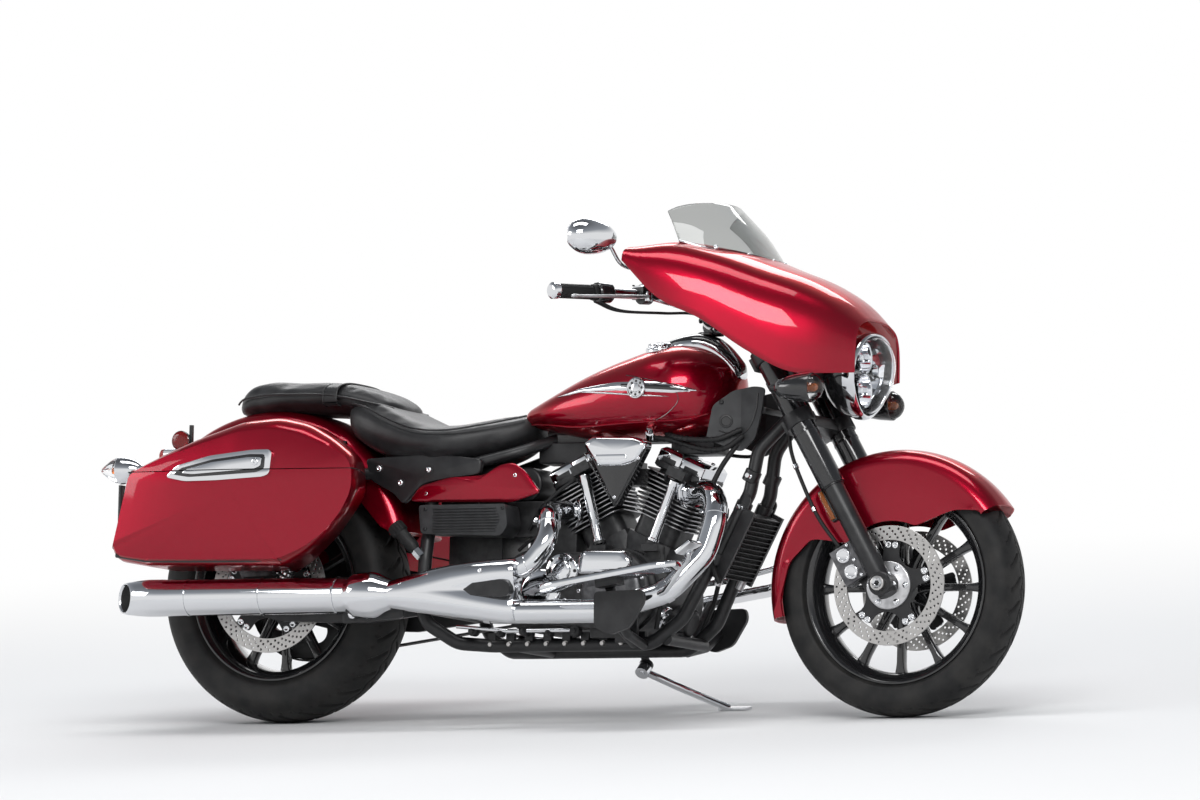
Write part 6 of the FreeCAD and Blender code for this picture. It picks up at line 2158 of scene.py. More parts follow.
def front_signals():
    """The front signals: a black cup, an amber bulb and a clear glass on each stem."""
    front = Form()
    glass = Form()
    for side in (1, -1):
        centre = Vector((1562, side * 242, 800))
        pod(front, centre, [(-98, 0.01), (-97, 8), (-92, 16), (-80, 24), (-60, 30), (-30, 35),
                            (-6, 37), (0, 37.4), (5, 37), (6, 35), (2, 33.5), (-14, 26), (-20, 8),
                            (-20, 0.01)], GLOSS)
        lathe(front, [(-16, 5), (-4, 7), (6, 7.5), (12, 5), (14, 0.01)], centre, FORWARD, AMBER, 24)
        bar(front, [(1436, side * 152.5, 804), (1436, side * 206, 804), (1500, side * 240, 800)],
            10, SATIN, 30)
        pod(glass, centre, [(1, 33.4), (6, 34), (14, 31.5), (22, 26), (29, 17), (33, 8),
                            (34, 0.01)], GLASS)
    piece("front_signal_bodies", front, "steering", ("front_signals",))
    piece("front_signal_lenses", glass, "steering")


def rear_signals():
    """The rear signals on their stems, and the round red lamps on the fender's struts."""
    rear = Form()
    glass = Form()
    for side in (1, -1):
        centre = Vector((-378, side * 200, 632))
        pod(rear, centre, [(58, 0.01), (57, 7), (52, 14), (42, 22), (28, 29), (12, 33.5), (-2, 35.5),
                           (-8, 35.6), (-10, 34), (-4, 32), (6, 20), (8, 0.01)], CHROME)
        lathe(rear, [(10, 5), (-6, 7), (-18, 7), (-24, 5), (-25, 0.01)], centre, FORWARD, AMBER, 24)
        bar(rear, [(-280, side * 124.6, 600), (-280, side * 164, 600), (-350, side * 200, 632)],
            10, SATIN, 20)
        pod(glass, centre, [(-8, 33.8), (-12, 34), (-22, 31), (-34, 25), (-46, 17.5), (-56, 10),
                            (-63, 4.5), (-66, 0.01)], GLASS)
        box(rear, (9, 8, 96), (-226, side * 124, 704), SATIN)
        lathe(rear, [(-4, 22), (0, 25.6), (7, 25.6), (8.4, 24)], (-252, side * 126, 712),
              (0, side, 0), GLOSS, 48, True)
        lathe(rear, [(8.4, 24), (10.4, 21), (11.2, 12), (11.4, 0.01)], (-252, side * 126, 712),
              (0, side, 0), RED_LENS, 48)
    piece("rear_signal_bodies", rear, "chassis", ("rear_signals",))
    piece("rear_signal_lenses", glass, "chassis")


fork_tubes()
triple_clamp()
axle_ends()
front_calipers()
fork_reflectors()
brake_hoses()
rear_caliper()
front_signals()
rear_signals()


# Handlebar, controls, mirrors and gauges

def handlebar():
    """The bent bar on its two risers."""
    form = Form()
    half = [(1333, 52, 957), (1290, 90, 985), (1089, 186, 1047), (955, 456, 1033)]
    points = [(x, -y, z) for x, y, z in reversed(half)] + half
    bar(form, points, 12.7, CHROME, 60, 32)
    for side in (1, -1):
        foot = fork_point(679.3, -15, side * 52)
        lathe(form, [(0, 17), (8, 17), (10, 15.5), (44, 15), (50, 18), (58, 18), (60, 16),
                     (60, 0.01)], foot, UP, CHROME, 40)
        box(form, (44, 40, 26), fork_point(731, -15, side * 52), CHROME, RAKE_TURN)
        for ahead in (-14, 14):
            bolt(form, fork_point(744, -15 + ahead, side * 52), UP, 5.5, SATIN)
    piece("handlebar_tube", form, "steering", ("handlebar",), 1.0)


def bar_end(side):
    """Where the bar's outer run starts and ends, and its heading."""
    start = Vector((1089, side * 186, 1047))
    end = Vector((955, side * 456, 1033))
    heading = (end - start).normalized()
    return start, end, heading


def grips():
    """Ribbed rubber grips with bright caps at the bar's ends."""
    form = Form()
    metal = Form()
    for side in (1, -1):
        _, end, heading = bar_end(side)
        inner = end - heading * 128
        lathe(form, [(0, 13.2), (0, 20), (5, 20.4), (9, 20), (11, 17)], inner, heading, RUBBER, 48)
        waves = []
        for index in range(34):
            along = 12 + index * 3.1
            radius = 16.6 + (0.9 if index % 2 else 0.0) + 0.8 * math.sin(math.pi * index / 33)
            waves.append((along, radius))
        lathe(form, waves + [(118, 17)], inner, heading, RUBBER, 48)
        across, lift = frame_at(heading)
        for angle in turns(12):
            edge = across * math.cos(angle) + lift * math.sin(angle)
            line = [inner + heading * (16 + step * 16) + edge * 17.2 for step in range(7)]
            pipe(form, line, 1.4, RUBBER, 6)
        lathe(metal, [(118, 17), (118, 20.4), (121, 21), (133, 21), (137, 17), (138, 12),
                      (138.5, 0.01)], inner, heading, CHROME, 48)
    piece("grip_rubbers", form, "steering", ("grips",))
    piece("bar_end_caps", metal, "steering")


def controls():
    """Switch housings, brake master cylinder and the two levers."""
    form = Form()
    levers = Form()
    for side in (1, -1):
        start, end, heading = bar_end(side)
        across, lift = frame_at(heading)
        turn = Matrix((across * side, heading * side, lift)).transposed()
        inner = end - heading * 128
        lathe(form, [(-48, 13), (-48, 23), (-44, 26), (-6, 26), (-2, 23), (-2, 17)], inner,
              heading, GLOSS, 40)
        box(form, (30, 30, 22), inner - heading * 26 + Vector((-16, 0, 4)), GLOSS, turn)
        for shift in (-34, -24, -14):
            box(form, (6, 6, 7), inner + heading * shift + Vector((-30, 0, 8)), PLASTIC, turn)
        lathe(form, [(0, 7), (4, 7), (5, 5), (5, 0.01)], inner - heading * 36
              + Vector((-30, 0, -6)), (-1, 0, 0), RED_LENS if side < 0 else PLASTIC, 20)
        perch = start + heading * 16
        box(form, (46, 60, 30), perch + Vector((6, 0, 2)), SATIN, turn)
        box(form, (44, 56, 5), perch + Vector((6, 0, 19.5)), CHROME, turn)
        for x in (-14, 26):
            for y in (-20, 20):
                bolt(form, perch + Vector((x - 2, 0, 22)) + heading * y * 0.9, UPWARD, 3.2, SATIN)
        lathe(form, [(-13, 22), (-13, 25), (13, 25), (13, 22)], perch, heading, SATIN, 36, True)
        tip = end + Vector((50, 0, -14))
        root = perch + heading * 26 + Vector((34, 0, -6))
        line = smooth_line([tuple(root), tuple(root + heading * 50 + Vector((16, 0, -3))),
                            tuple((root + tip) / 2 + Vector((11, 0, -1))), tuple(tip)], 40)
        radii = [7.5 - 3.0 * (i / 39) for i in range(37)] + [6.0, 7.0, 5.0]
        pipe(levers, line, radii, ALLOY, 16, True, 0.72)
        lathe(levers, [(-12, 8), (-12, 9.5), (12, 9.5), (12, 8)], root, UPWARD, CHROME, 24, True)
        box(levers, (26, 24, 12), root - heading * 8 + Vector((-9, 0, 0)), SATIN, turn)
    piece("switch_housings", form, "steering", ("hand_controls",), 1.8)
    piece("hand_levers", levers, "steering", width=0.8)


def control_cables():
    """Two cables from each grip down to the steering head."""
    form = Form()
    for side in (1, -1):
        start, end, heading = bar_end(side)
        inner = end - heading * 132
        for shift, radius in ((0, 3.6), (12, 3.0)):
            line = smooth_line([tuple(inner + Vector((-4 + shift, 0, -22))),
                                tuple(inner - heading * 60 + Vector((10 + shift, 0, -44))),
                                tuple(start + Vector((34 + shift, -side * 8, -46))),
                                (1196 + shift, side * (128 - shift), 1000),
                                (1272, side * 92, 955), (1330, side * 70, 900)], 56)
            pipe(form, line, radius, RUBBER, 10)
    piece("control_cables", form, "steering")


def mirror_shells():
    """Chrome teardrop mirrors on thin stems."""
    form = Form()
    for side in (1, -1):
        start, _, heading = bar_end(side)
        perch = start + heading * 16 + Vector((0, 0, 20))
        path = smooth_line([tuple(perch), tuple(perch + Vector((-6, side * 26, 34))),
                            (1066, side * 306, 1112), (1056, side * 346, 1150)], 40)
        pipe(form, path, 5.0, CHROME, 16)
        lathe(form, [(-3, 10), (5, 10), (8, 8), (16, 7), (16, 0.01)], perch, UPWARD, CHROME, 32)
        rings = []
        for t in np.linspace(-1, 1, 41):
            half_z, depth = mirror_section(t)
            ring = []
            for angle in turns(48):
                c, s = math.cos(angle), math.sin(angle)
                ring.append(mirror_place(side, t, depth * (c if c > 0 else 0.22 * c),
                                         half_z * s))
            rings.append(ring)
        skin(form, rings, CHROME)
    piece("mirror_shells", form, "steering", ("mirrors",))


def mirror_glasses():
    """The flat glass in each mirror's rear face."""
    form = Form()
    for side in (1, -1):
        low, high = [], []
        for t in np.linspace(-0.93, 0.93, 33):
            half_z, depth = mirror_section(t)
            low.append(mirror_place(side, t, -0.24 * depth - 1.2, -half_z * 0.86))
            high.append(mirror_place(side, t, -0.24 * depth - 1.2, half_z * 0.86))
        front = [point + mirror_turn(side) @ Vector((-1.2, 0, 0)) for point in low + high[::-1]]
        skin(form, [low + high[::-1], front], MIRROR)
    piece("mirror_glasses", form, "steering")


def mirror_turn(side):
    """How a mirror's head is turned towards the rider."""
    return Matrix.Rotation(math.radians(30) * side, 3, "Z")


def mirror_section(t):
    """Half the height and the depth of the teardrop head along its length."""
    round_off = math.sqrt(max(0.0, 1 - abs(t) ** 2.3))
    taper = 1.0 - 0.30 * (0.5 - 0.5 * t) ** 1.4
    return 50.0 * round_off * taper + 0.4, 44.0 * round_off * taper + 0.3


def mirror_place(side, t, ahead, lift):
    """A point of a mirror's head, by its share along the head."""
    local = Vector((ahead, side * 73 * t, lift))
    return Vector((1026, side * 396, 1172)) + mirror_turn(side) @ local


def gauges():
    """Four round gauges with plain ticks and a needle each, on a grey panel."""
    form = Form()
    slab = softened_corners([(-214, 1016), (-208, 1070), (-120, 1112), (0, 1128), (120, 1112),
                             (208, 1070), (214, 1016), (120, 1004), (-120, 1004)], 26, 5)
    plate(form, slab, 1296, 1304, PLASTIC, place=crosswise)
    for y, z, radius in ((-62, 1078, 42), (62, 1078, 42), (-150, 1060, 24), (150, 1060, 24)):
        lathe(form, [(0, radius + 4), (5, radius + 4), (8, radius + 2), (8, radius - 1),
                     (3, radius - 2), (3, 0.01)], (1297, y, z), (-1, 0, 0), CHROME, 56)
        lathe(form, [(3.4, radius - 2.5), (3.6, 0.01)], (1297, y, z), (-1, 0, 0), SATIN, 56)
        for index in range(21):
            angle = math.radians(220 - 13 * index)
            reach = radius * 0.82
            spot = Vector((1293.2, y - reach * math.cos(angle), z + reach * math.sin(angle)))
            turn = Matrix.Rotation(-angle, 3, "X")
            box(form, (0.6, radius * (0.16 if index % 2 else 0.24), 0.9), spot, MARKS, turn)
        needle = Vector((1292.4, y, z))
        box(form, (0.8, 1.6, radius * 0.7), needle + Vector((0, radius * 0.14, radius * 0.28)),
            NEEDLE, Matrix.Rotation(math.radians(-27), 3, "X"))
        lathe(form, [(4, radius * 0.12), (7, radius * 0.10), (7, 0.01)], (1297, y, z), (-1, 0, 0),
              SATIN, 20)
    piece("gauge_panel", form, "steering", ("gauges",), width=0.5)


def neck_covers():
    """Grey side covers from the tank's front to the steering head, each with its screw,
    round boss and groove."""
    fold = 1296.0
    outline = [(1216, 690), (1230, 776), (1278, 814), (1330, 824), (1360, 820), (1352, 760),
               (1336, 692), (1296, 660)]
    ring = softened_corners(outline, 12, 5)
    parts = [[(x, z) for z, x in clipped([(z, x) for x, z in ring], fold, ahead)]
             for ahead in (False, True)]

    def reach(x):
        return 77 + 0.4 * max(0.0, fold - x)

    for side, name in SIDES:
        form = Form()
        for part in parts:
            plate(form, part, -7, 0, PLASTIC, place=lambda x, y, z: (x, side * (reach(x) + y), z))
        out = Vector((0.4, side, 0)).normalized()
        lathe(form, [(0, 17), (1.2, 17), (2.2, 15.5), (2.2, 12.5), (0.6, 11), (0.6, 0.01)],
              (1262, side * reach(1262), 736), out, SATIN, 40)
        bolt(form, (1250, side * reach(1250), 784), out, 6, SATIN)
        marks = [(1246, 712), (1292, 700), (1322, 724), (1338, 766), (1342, 806)]
        groove = [(x, side * (reach(x) + 0.2), z) for x, z in smooth_line(marks, 40)]
        pipe(form, groove, 1.8, SATIN, 8)
        piece(f"neck_cover_{name}", form, "chassis", ("neck_covers",))


def radiator():
    """The oil cooler between the frame's front tubes."""
    form = Form()
    turn = Matrix.Rotation(math.radians(26.9), 3, "Y")
    centre = Vector((1288, 0, 427))
    for index in range(15):
        lift = (index - 7) * 12
        box(form, (30, 176, 1.6), centre + turn @ Vector((0, 0, lift)), ENGINE, turn)
        box(form, (16, 168, 3.4), centre + turn @ Vector((0, 0, lift + 6 if index < 14 else lift)),
            SATIN, turn)
        for wave in range(42):
            y = (wave - 20.5) * 4.0
            box(form, (20, 0.7, 8.6), centre + turn @ Vector((0, y, lift + (6 if index < 14
                                                                            else -6))),
                ENGINE, turn @ Matrix.Rotation(math.radians(12 if wave % 2 else -12), 3, "X"))
    for side in (1, -1):
        box(form, (30, 10, 190), centre + turn @ Vector((0, side * 84, 0)), SATIN, turn)
        lathe(form, [(-16, 11), (16, 11)], centre + turn @ Vector((-4, side * 66, -96)),
              turn @ UPWARD, ALLOY, 24, True)
    piece("oil_cooler_core", form, "chassis", ("oil_cooler",))


# Trim along the body

def side_covers():
    """Red side covers under the seat, each with a raised edge and a grommet screw."""
    outline = [(420, 545), (447, 581), (528, 602), (626, 606), (673, 632), (709, 637),
               (743, 614), (786, 560), (706, 536), (448, 541)]
    levels = ((152.5, 1.5), (158, 0.4), (160.5, 0), (162, 1.6), (163.4, 6), (165.0, 14),
              (166.2, 26))
    ring = softened_corners(outline, 14, 5)
    for side, name in SIDES:
        form = Form()
        skin(form, stepped_in(ring, np.mean(np.array(ring), axis=0),
                              [(side * y, inset) for y, inset in levels],
                              lambda length, inset: 1 - inset / max(length, inset * 1.6, 20)), RED)
        bolt(form, (468, side * 162.4, 562), (0, side, 0), 6, CHROME)
        bolt(form, (716, side * 163.4, 604), (0, side, 0), 6, CHROME)
        piece(f"side_cover_{name}", form, "chassis", ("side_covers",))


def side_box():
    """The dark ribbed box under the side cover."""
    form = Form()
    shell = softened_corners([(470, 458), (462, 530), (704, 530), (712, 474), (694, 450)], 10, 4)
    plate(form, shell, -195, -116, PLASTIC)
    piece("side_box_shell", form, "chassis", ("side_box",), 3.0, 3)
    ribs = Form()
    for index in range(9):
        z = 463 + index * 7.2
        reach = 690 - abs(index - 4) * 3
        line = [(504, -195.6, z), (512, -198, z), (reach - 10, -198, z), (reach, -195.6, z)]
        pipe(ribs, line, 1.9, PLASTIC, 8)
    for x, z in ((482, 520), (698, 520), (482, 470)):
        bolt(ribs, (x, -195.2, z), (0, -1, 0), 5, SATIN)
    piece("side_box_ribs", ribs, "chassis")


def footboards():
    """Rider's boards: a rubber pad with ridges in a bright curved rim."""
    turn = Matrix.Rotation(math.radians(-9), 3, "Y")
    outline = softened_corners([(-190, -52), (150, -52), (190, -30), (190, 20), (150, 48),
                                (-150, 48), (-190, 30)], 34, 8)
    bracket = softened_corners([(1012, 296), (1146, 300), (1152, 272), (1112, 206), (1060, 188),
                                (1014, 208)], 14, 5)
    for side, name in SIDES:
        place = Placed((1076, side * 348, 331), turn)
        flat = [(x, y * side) for x, y in outline]

        def rings(levels):
            return [[place(x * (1 - inset / 190), y * (1 - inset / 52), lift) for x, y in flat]
                    for lift, inset in levels]

        form = Form()
        skin(form, rings(((-9, 6), (-9, 1.5), (-6, 0), (3, 0), (6, 1.5), (6, 7))), CHROME)
        bar(form, [(1040, side * 127, 180), (1040, side * 210, 214), (1050, side * 296, 310)], 13,
            SATIN, 40)
        box(form, (60, 44, 12), place(-20, -side * 34, -14), SATIN, turn)
        plate(form, bracket, side * 296, side * 308, SATIN)
        bar(form, [(1066, side * 127, 176), (1070, side * 230, 196), (1072, side * 300, 236)], 12,
            SATIN, 40)
        piece(f"footboard_frame_{name}", form, "chassis", ("footboards",))
        form = Form()
        skin(form, rings(((4, 8), (8.2, 8), (9, 9.5))), RUBBER)
        for x in range(-154, 155, 22):
            box(form, (9, 72 if abs(x) < 140 else 56, 2.4), place(x, 0, 9.4), RUBBER, turn)
        piece(f"footboard_pad_{name}", form, "chassis", width=0.5)


def pedals():
    """The brake pedal on the right and the heel-and-toe shifter on the left."""
    form = Form()
    bar(form, [(1010, -168, 262), (1060, -196, 268), (1180, -250, 300), (1262, -300, 372),
               (1280, -330, 392)], 8, CHROME, 30, 16)
    box(form, (46, 72, 9), (1284, -338, 398), CHROME, Matrix.Rotation(math.radians(-38), 3, "Y"))
    box(form, (38, 62, 5), (1281, -338, 404), RUBBER, Matrix.Rotation(math.radians(-38), 3, "Y"))
    lathe(form, [(0, 14), (30, 14), (32, 12), (32, 0.01)], (1010, -154, 262), (0, -1, 0), CHROME,
          32)
    bar(form, [(860, 300, 392), (900, 262, 372), (980, 244, 352), (1120, 244, 366),
               (1250, 262, 400), (1276, 300, 412)], 8, CHROME, 40, 16)
    lathe(form, [(-10, 15), (18, 15), (20, 13), (20, 0.01)], (1000, 236, 354), (0, 1, 0), CHROME,
          32)
    bar(form, [(1000, 180, 350), (1000, 236, 354)], 9, CHROME, 10, 16)
    for x, z in ((858, 394), (1278, 414)):
        lathe(form, [(-22, 9), (-20, 12), (20, 12), (22, 9)], (x, 304, z), (0, 1, 0), RUBBER, 24,
              True)
    piece("pedals", form, "chassis", width=0.8)


def tail_lamp():
    """The tail lamp: a bright case with a red face."""
    form = Form()
    outline = softened_corners([(-72, 644), (72, 644), (72, 700), (-72, 700)], 16, 6)
    rings = drawn_in(outline, (0, 672), (75, 30),
                     ((-290, 0), (-334, 0), (-344, 2), (-349, 7), (-350, 16)), crosswise)
    skin(form, rings[:2], CHROME)
    skin(form, rings[1:], RED_LENS, True)
    piece("tail_lamp_lens", form, "chassis", ("tail_lamp",))


def plate_holder():
    """The tail bracket, the blank plate's frame and its screw."""
    softened("tail_bracket", SATIN, 2.0, 2)
    form = Form()
    blank = softened_corners([(-92, 478), (92, 478), (92, 604), (-92, 604)], 8, 4)
    inner = [(y * 0.90, 541 + (z - 541) * 0.88) for y, z in blank]
    plate(form, blank, -447.6, -446.4, CHROME, (inner,), crosswise)
    lathe(form, [(0, 13), (16, 13), (18, 11), (18, 0.01)], (-430, 0, 618), (-1, 0, 0), CHROME, 32)
    piece("plate_frame", form, "chassis")


def side_stand():
    softened("side_stand", CHROME, 1.6, 3)


handlebar()
grips()
controls()
control_cables()
mirror_shells()
mirror_glasses()
gauges()
neck_covers()
radiator()
side_covers()
side_box()
footboards()
pedals()
tail_lamp()
plate_holder()
side_stand()


# Frame and drive

REAR_RAIL_Y = 141.0
FORK_OFFSET = 38.0
HEAD_FOOT = fork_point(500, -FORK_OFFSET)
STAND_PIN = Vector((950, 116, 132))


def frame_side(form, side):
    """One side's tubes, its joints along the front tube, and the swinging arm's pivot cap."""
    down = HEAD_FOOT + Vector((0, side * 20, 0)) + UP * 30
    bar(form, [tuple(down), (1334, side * 50, 666), (1318, side * 60, 558),
               (1210, side * 88, 345), (1160, side * 100, 243), (1080, side * 110, 180),
               (640, side * 110, 180), (560, side * 150, 184), (480, side * 176, 236),
               (470, side * 176, 286), (474, side * 172, 400), (470, side * 136, 520),
               (470, side * 132, 625)], 17, SATIN, 70, 28)
    bar(form, [(760, side * 18, 706), (690, side * 96, 668), (560, side * 132, 634),
               (300, side * REAR_RAIL_Y, 616), (-306, side * REAR_RAIL_Y, 640)], 15, SATIN,
        120, 24)
    for stay in (-110, 230):
        bar(form, [(stay, side * REAR_RAIL_Y, 625), (stay, side * REAR_RAIL_Y, 548),
                   (stay, side * 204, 548)], 9, SATIN, 30, 16)
    lathe(form, [(0, 9), (40, 9)], (170, side * REAR_RAIL_Y, 622), (0, side, 0), STEEL, 20, True)
    for x, y, z in ((1322, 60, 600), (1300, 60, 522), (1236, 82, 396)):
        spot = Vector((x, side * y, z))
        lathe(form, [(-16, 18), (-14, 21), (14, 21), (16, 18)], spot, (0.42, 0, 0.9), SATIN, 28)
        hexagon(form, spot + Vector((0, side * 18, 0)), (0, side, 0), 7, 11, CHROME)
    lathe(form, [(-4, 27), (6, 27), (8, 24), (8, 0.01)], (470, side * 190, 286), (0, side, 0),
          SATIN, 40)
    hexagon(form, (470, side * 198, 286), (0, side, 0), 14, 10, CHROME)
    for x in range(640, 1060, 52):
        hexagon(form, (x, side * 124, 182), (0, side, 0), 6, 9, STEEL)
        box(form, (22, 14, 30), (x, side * 116, 196), SATIN)
    plate(form, softened_corners([(1268, 470), (1318, 560), (1330, 540), (1290, 440)], 8, 3),
          side * 74, side * 80, SATIN)


def stand_lug(form):
    """The side stand's slanted lug and pin, with its strut to the frame."""
    axis = Vector((0.044, 1, 1)).normalized()
    lathe(form, [(16, 18), (26, 18)], STAND_PIN, axis, SATIN, 36, True)
    lathe(form, [(-14, 7.6), (24, 7.6)], STAND_PIN, axis, CHROME, 24, True)
    strut = STAND_PIN + axis * 26
    run = Vector((950, 110, 180)) - strut
    lathe(form, [(0, 10), (run.length, 10)], strut, run, SATIN, 24, True)


def frame_tubes():
    """Round tubes on the frame's lines, with lugs, gussets and bolted joints."""
    form = Form()
    for side in (1, -1):
        frame_side(form, side)
    bar(form, [(1288, 0, 716), (1235, 0, 716), (735, 0, 716)], 24, SATIN, 160, 28)
    lathe(form, [(0, 30), (0, 36), (4, 38), (16, 38), (18, 36), (122, 36), (124, 38), (136, 38),
                 (140, 36), (140, 30)], HEAD_FOOT, UP, SATIN, 48)
    for x, z, reach in ((470, 286, 176), (1120, 192, 110), (700, 180, 110)):
        lathe(form, [(-reach, 15), (reach, 15)], (x, 0, z), ACROSS, SATIN, 24, True)
    lathe(form, [(-70, 8), (70, 8)], (1352, 0, 764), ACROSS, SATIN, 20, True)
    lathe(form, [(0, 9), (60, 9)], (466, -176, 296), (0, -1, 0), SATIN, 20, True)
    stand_lug(form)
    piece("frame_tubes", form, "chassis", ("frame_cradle",))


def shocks():
    """Two shock absorbers, each with its spring."""
    form = Form()
    spring = Form()
    for side in (1, -1):
        foot = Vector((70, side * 178, 322))
        top = Vector((170, side * 178, 622))
        line = (top - foot).normalized()
        for end in (foot, top):
            lathe(form, [(-13, 9.4), (-13, 16), (-11, 17), (11, 17), (13, 16), (13, 9.4)], end,
                  ACROSS, SATIN, 36)
        lathe(form, [(12, 10), (14, 14), (196, 14), (198, 10)], foot, line, CHROME, 36)
        lathe(form, [(138, 20), (140, 23), (148, 23), (150, 22), (292, 22), (296, 23), (302, 23),
                     (304, 18)], foot, line, CHROME, 48, True)
        lathe(form, [(-20, 8), (8, 8)], foot, ACROSS * side, SATIN, 20, True)
        coil = []
        side_axis, lift = frame_at(line)
        for step in range(241):
            angle = 2 * math.pi * 9 * step / 240
            coil.append(foot + line * (26 + 108 * step / 240)
                        + side_axis * 18 * math.cos(angle) + lift * 18 * math.sin(angle))
        pipe(spring, coil, 3.2, SATIN, 8)
    piece("shock_bodies", form, "chassis", ("rear_shocks",))
    piece("shock_springs", spring, "chassis")


def drive():
    """The swinging arm, belt, pulley and axles, and the small parts beside them."""
    softened("swingarm", SATIN, 4.0, 3)
    softened("drive_belt", RUBBER, 0.4, 1)
    softened("rear_pulley", SATIN, 1.6, 2)
    softened("rear_axle", STEEL, 0.8, 2)
    softened("front_axle", STEEL, 0.8, 2)
    form = Form()
    for side in (1, -1):
        plate(form, softened_corners([(-30, 312), (-30, 348), (34, 348), (34, 312)], 6, 3),
              side * 150.5, side * 154, CHROME)
        lathe(form, [(0, 14), (8, 14), (9, 12), (9, 8)], (-54, side * 142, 330), (-1, 0, 0), CHROME,
              6)
    plate(form, softened_corners([(178, 410), (420, 372), (640, 402), (720, 352), (700, 318),
                                  (420, 330), (178, 378)], 14, 4), 104, 107, SATIN)
    piece("drive_details", form, "chassis", width=0.8)


# Dark pieces behind and below the engine

def battery_box():
    """The battery box, the air duct and the blocks round them."""
    form = Form()
    for size, centre, paint in (
            ((178, 196, 168), (566, 0, 548), SATIN), ((150, 150, 120), (566, 0, 400), ENGINE),
            ((120, 170, 90), (700, 0, 500), ENGINE), ((120, 90, 30), (1150, 0, 676), SATIN),
            ((150, 84, 52), (796, 0, 670), SATIN), ((130, 130, 110), (778, 0, 446), ENGINE),
            ((330, 64, 24), (930, 0, 706), SATIN)):
        box(form, size, centre, paint)
    lathe(form, [(-70, 40), (-66, 44), (66, 44), (70, 40)], (700, 0, 590), ACROSS, SATIN, 48, True)
    piece("battery_box", form, "chassis", width=8.0, segments=3)


def frame_panels():
    """The dark panel under each side of the seat, with its three screws."""
    form = Form()
    panel = softened_corners([(288, 654), (470, 666), (616, 648), (612, 610), (529, 602),
                              (452, 586), (398, 536), (368, 566), (303, 600)], 12, 4)
    for side in (1, -1):
        skin(form, stepped_in(panel, (450, 606), [(side * y, inset) for y, inset in (
            (140, 0), (151, 0), (154, 2), (155.5, 6))],
                              lambda length, inset: 1 - inset / max(length, 24)), SATIN)
        for x, z in ((391, 591), (470, 623), (330, 628)):
            lathe(form, [(0, 12), (1, 12)], (x, side * 155.5, z), (0, side, 0), SATIN, 28, True)
            bolt(form, (x, side * 156.5, z), (0, side, 0), 8, CHROME)
    piece("frame_side_panels", form, "chassis", sharp=40)


def preload_adjuster():
    """The ribbed knob of the rear shocks."""
    knob = Form()
    lower, upper = Vector((375, -181, 495)), Vector((452, -181, 417))
    run = lower - upper
    lathe(knob, [(0, 12), (14, 17), (60, 17), (64, 20), (88, 20), (90, 18)], upper, run, RUBBER, 36,
          True)
    across, lift = frame_at(run)
    for angle in turns(18):
        spot = upper + run.normalized() * 76 + (across * math.cos(angle)
                                                + lift * math.sin(angle)) * 20
        box(knob, (4, 4, 22), spot, RUBBER, run.to_track_quat("Z", "Y").to_matrix())
    lathe(knob, [(-24, 12), (-22, 14), (0, 14)], upper, run, CHROME, 6, True)
    piece("preload_adjuster", knob, "chassis")


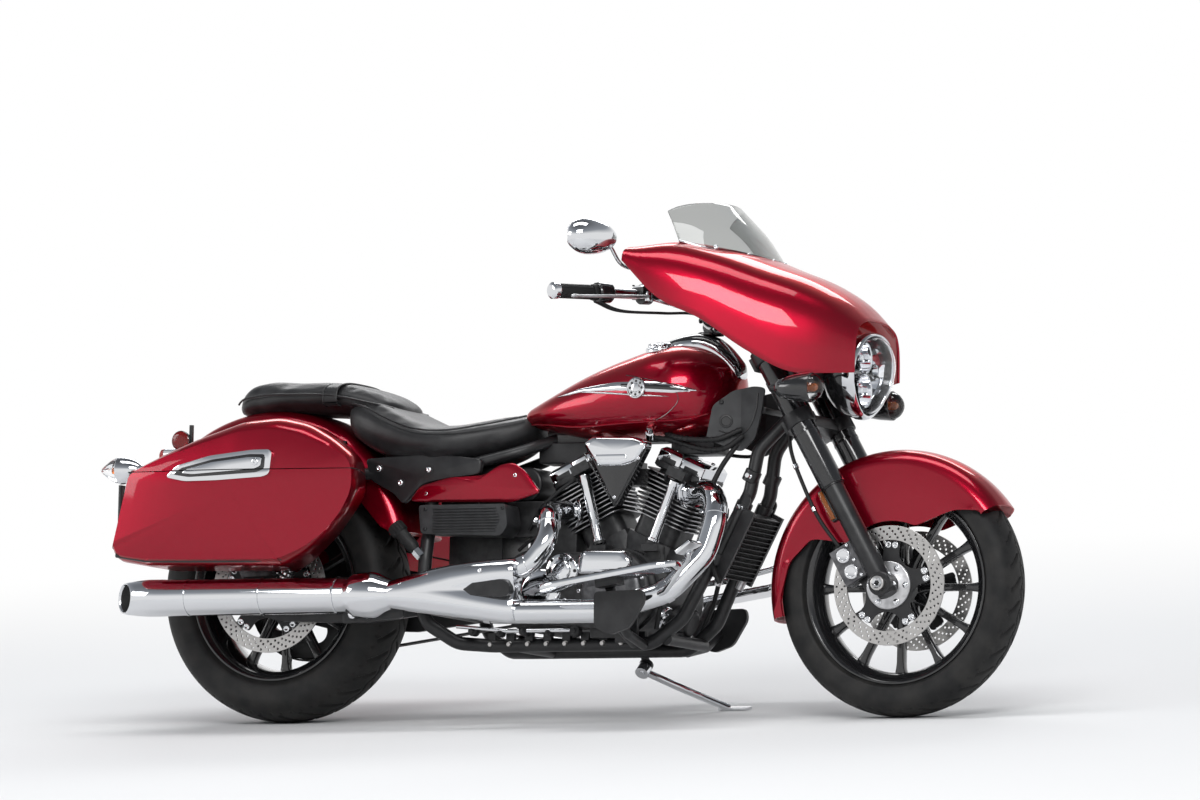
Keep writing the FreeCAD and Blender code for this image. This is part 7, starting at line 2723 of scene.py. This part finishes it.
def lower_rail_fittings():
    """Pipes, bosses and brackets along the lower rails, and the muffler's hanger."""
    rail = Form()
    for side in (-1, 1):
        bar(rail, [(560, side * 160, 226), (700, side * 150, 214), (880, side * 150, 214)], 5, CHROME,
            20, 12)
        for x, z, r in ((600, 214, 12), (676, 208, 9), (742, 214, 13), (812, 208, 9),
                        (884, 212, 14)):
            lathe(rail, [(0, r), (20, r), (22, r - 2), (22, 0.01)], (x, side * 132, z),
                  (0, side, 0), SATIN, 24)
            hexagon(rail, (x, side * 154, z), (0, side, 0), r * 0.6, 8, SATIN)
        box(rail, (84, 26, 44), (970, side * 138, 216), SATIN)
        box(rail, (60, 14, 90), (1030, side * 150, 226), SATIN)
        for lift in (-30, 0, 30):
            hexagon(rail, (1030, side * 157, 226 + lift), (0, side, 0), 7, 10, SATIN)
        bar(rail, [(1100, side * 128, 216), (1126, side * 150, 300), (1150, side * 140, 380)], 6,
            RUBBER, 30, 12)
    hanger = softened_corners([(300, 262), (470, 268), (470, 240), (300, 226)], 10, 4)
    plate(rail, hanger, -282, -272, SATIN)
    for x in (330, 372):
        lathe(rail, [(0, 15), (4, 15)], (x, -282, 250), (0, -1, 0), SATIN, 28, True)
        hexagon(rail, (x, -286, 250), (0, -1, 0), 9, 10, CHROME)
    piece("lower_rail_fittings", rail, "chassis", width=1.2)


def wiring():
    """Hoses and wires, the first two of them ribbed, and two bright plugs."""
    wires = Form()
    routes = (
        [(1306, -84, 700), (1262, -96, 668), (1196, -92, 668), (1120, -96, 690), (1052, -90, 700)],
        [(1300, -80, 716), (1240, -104, 690), (1150, -110, 694), (1096, -86, 708)],
        [(1256, -96, 330), (1226, -112, 420), (1218, -110, 520), (1250, -100, 610),
         (1290, -80, 680)],
        [(640, -104, 600), (596, -120, 566), (604, -132, 520), (640, -130, 470)],
        [(726, -96, 472), (760, -110, 520), (800, -104, 560), (850, -90, 600)],
        [(704, -108, 420), (752, -128, 446), (806, -120, 470)],
        [(1306, 84, 700), (1262, 96, 668), (1196, 92, 668), (1120, 96, 690), (1052, 90, 700)],
        [(640, 104, 600), (596, 120, 566), (604, 132, 520), (640, 130, 470)])
    for index, route in enumerate(routes):
        line = smooth_line(route, 50)
        pipe(wires, line, 6.5 if index < 3 else 4.6, RUBBER, 12)
        for mark in range(2, 48, 3) if index < 2 else ():
            here = Vector(line[mark])
            lathe(wires, [(-2, 7.6), (2, 7.6)], here, Vector(line[mark + 1]) - here, RUBBER, 12,
                  True)
    for spot, way in (((958, -98, 640), (0.1, -1, 0.3)), ((1058, -100, 700), (0.4, -1, 0.6))):
        lathe(wires, [(0, 12), (22, 12), (24, 9), (40, 8), (42, 0.01)], spot, way, CHROME, 28)
    piece("wiring_and_hoses", wires, "chassis")


frame_tubes()
shocks()
drive()
battery_box()
frame_panels()
preload_adjuster()
lower_rail_fittings()
wiring()
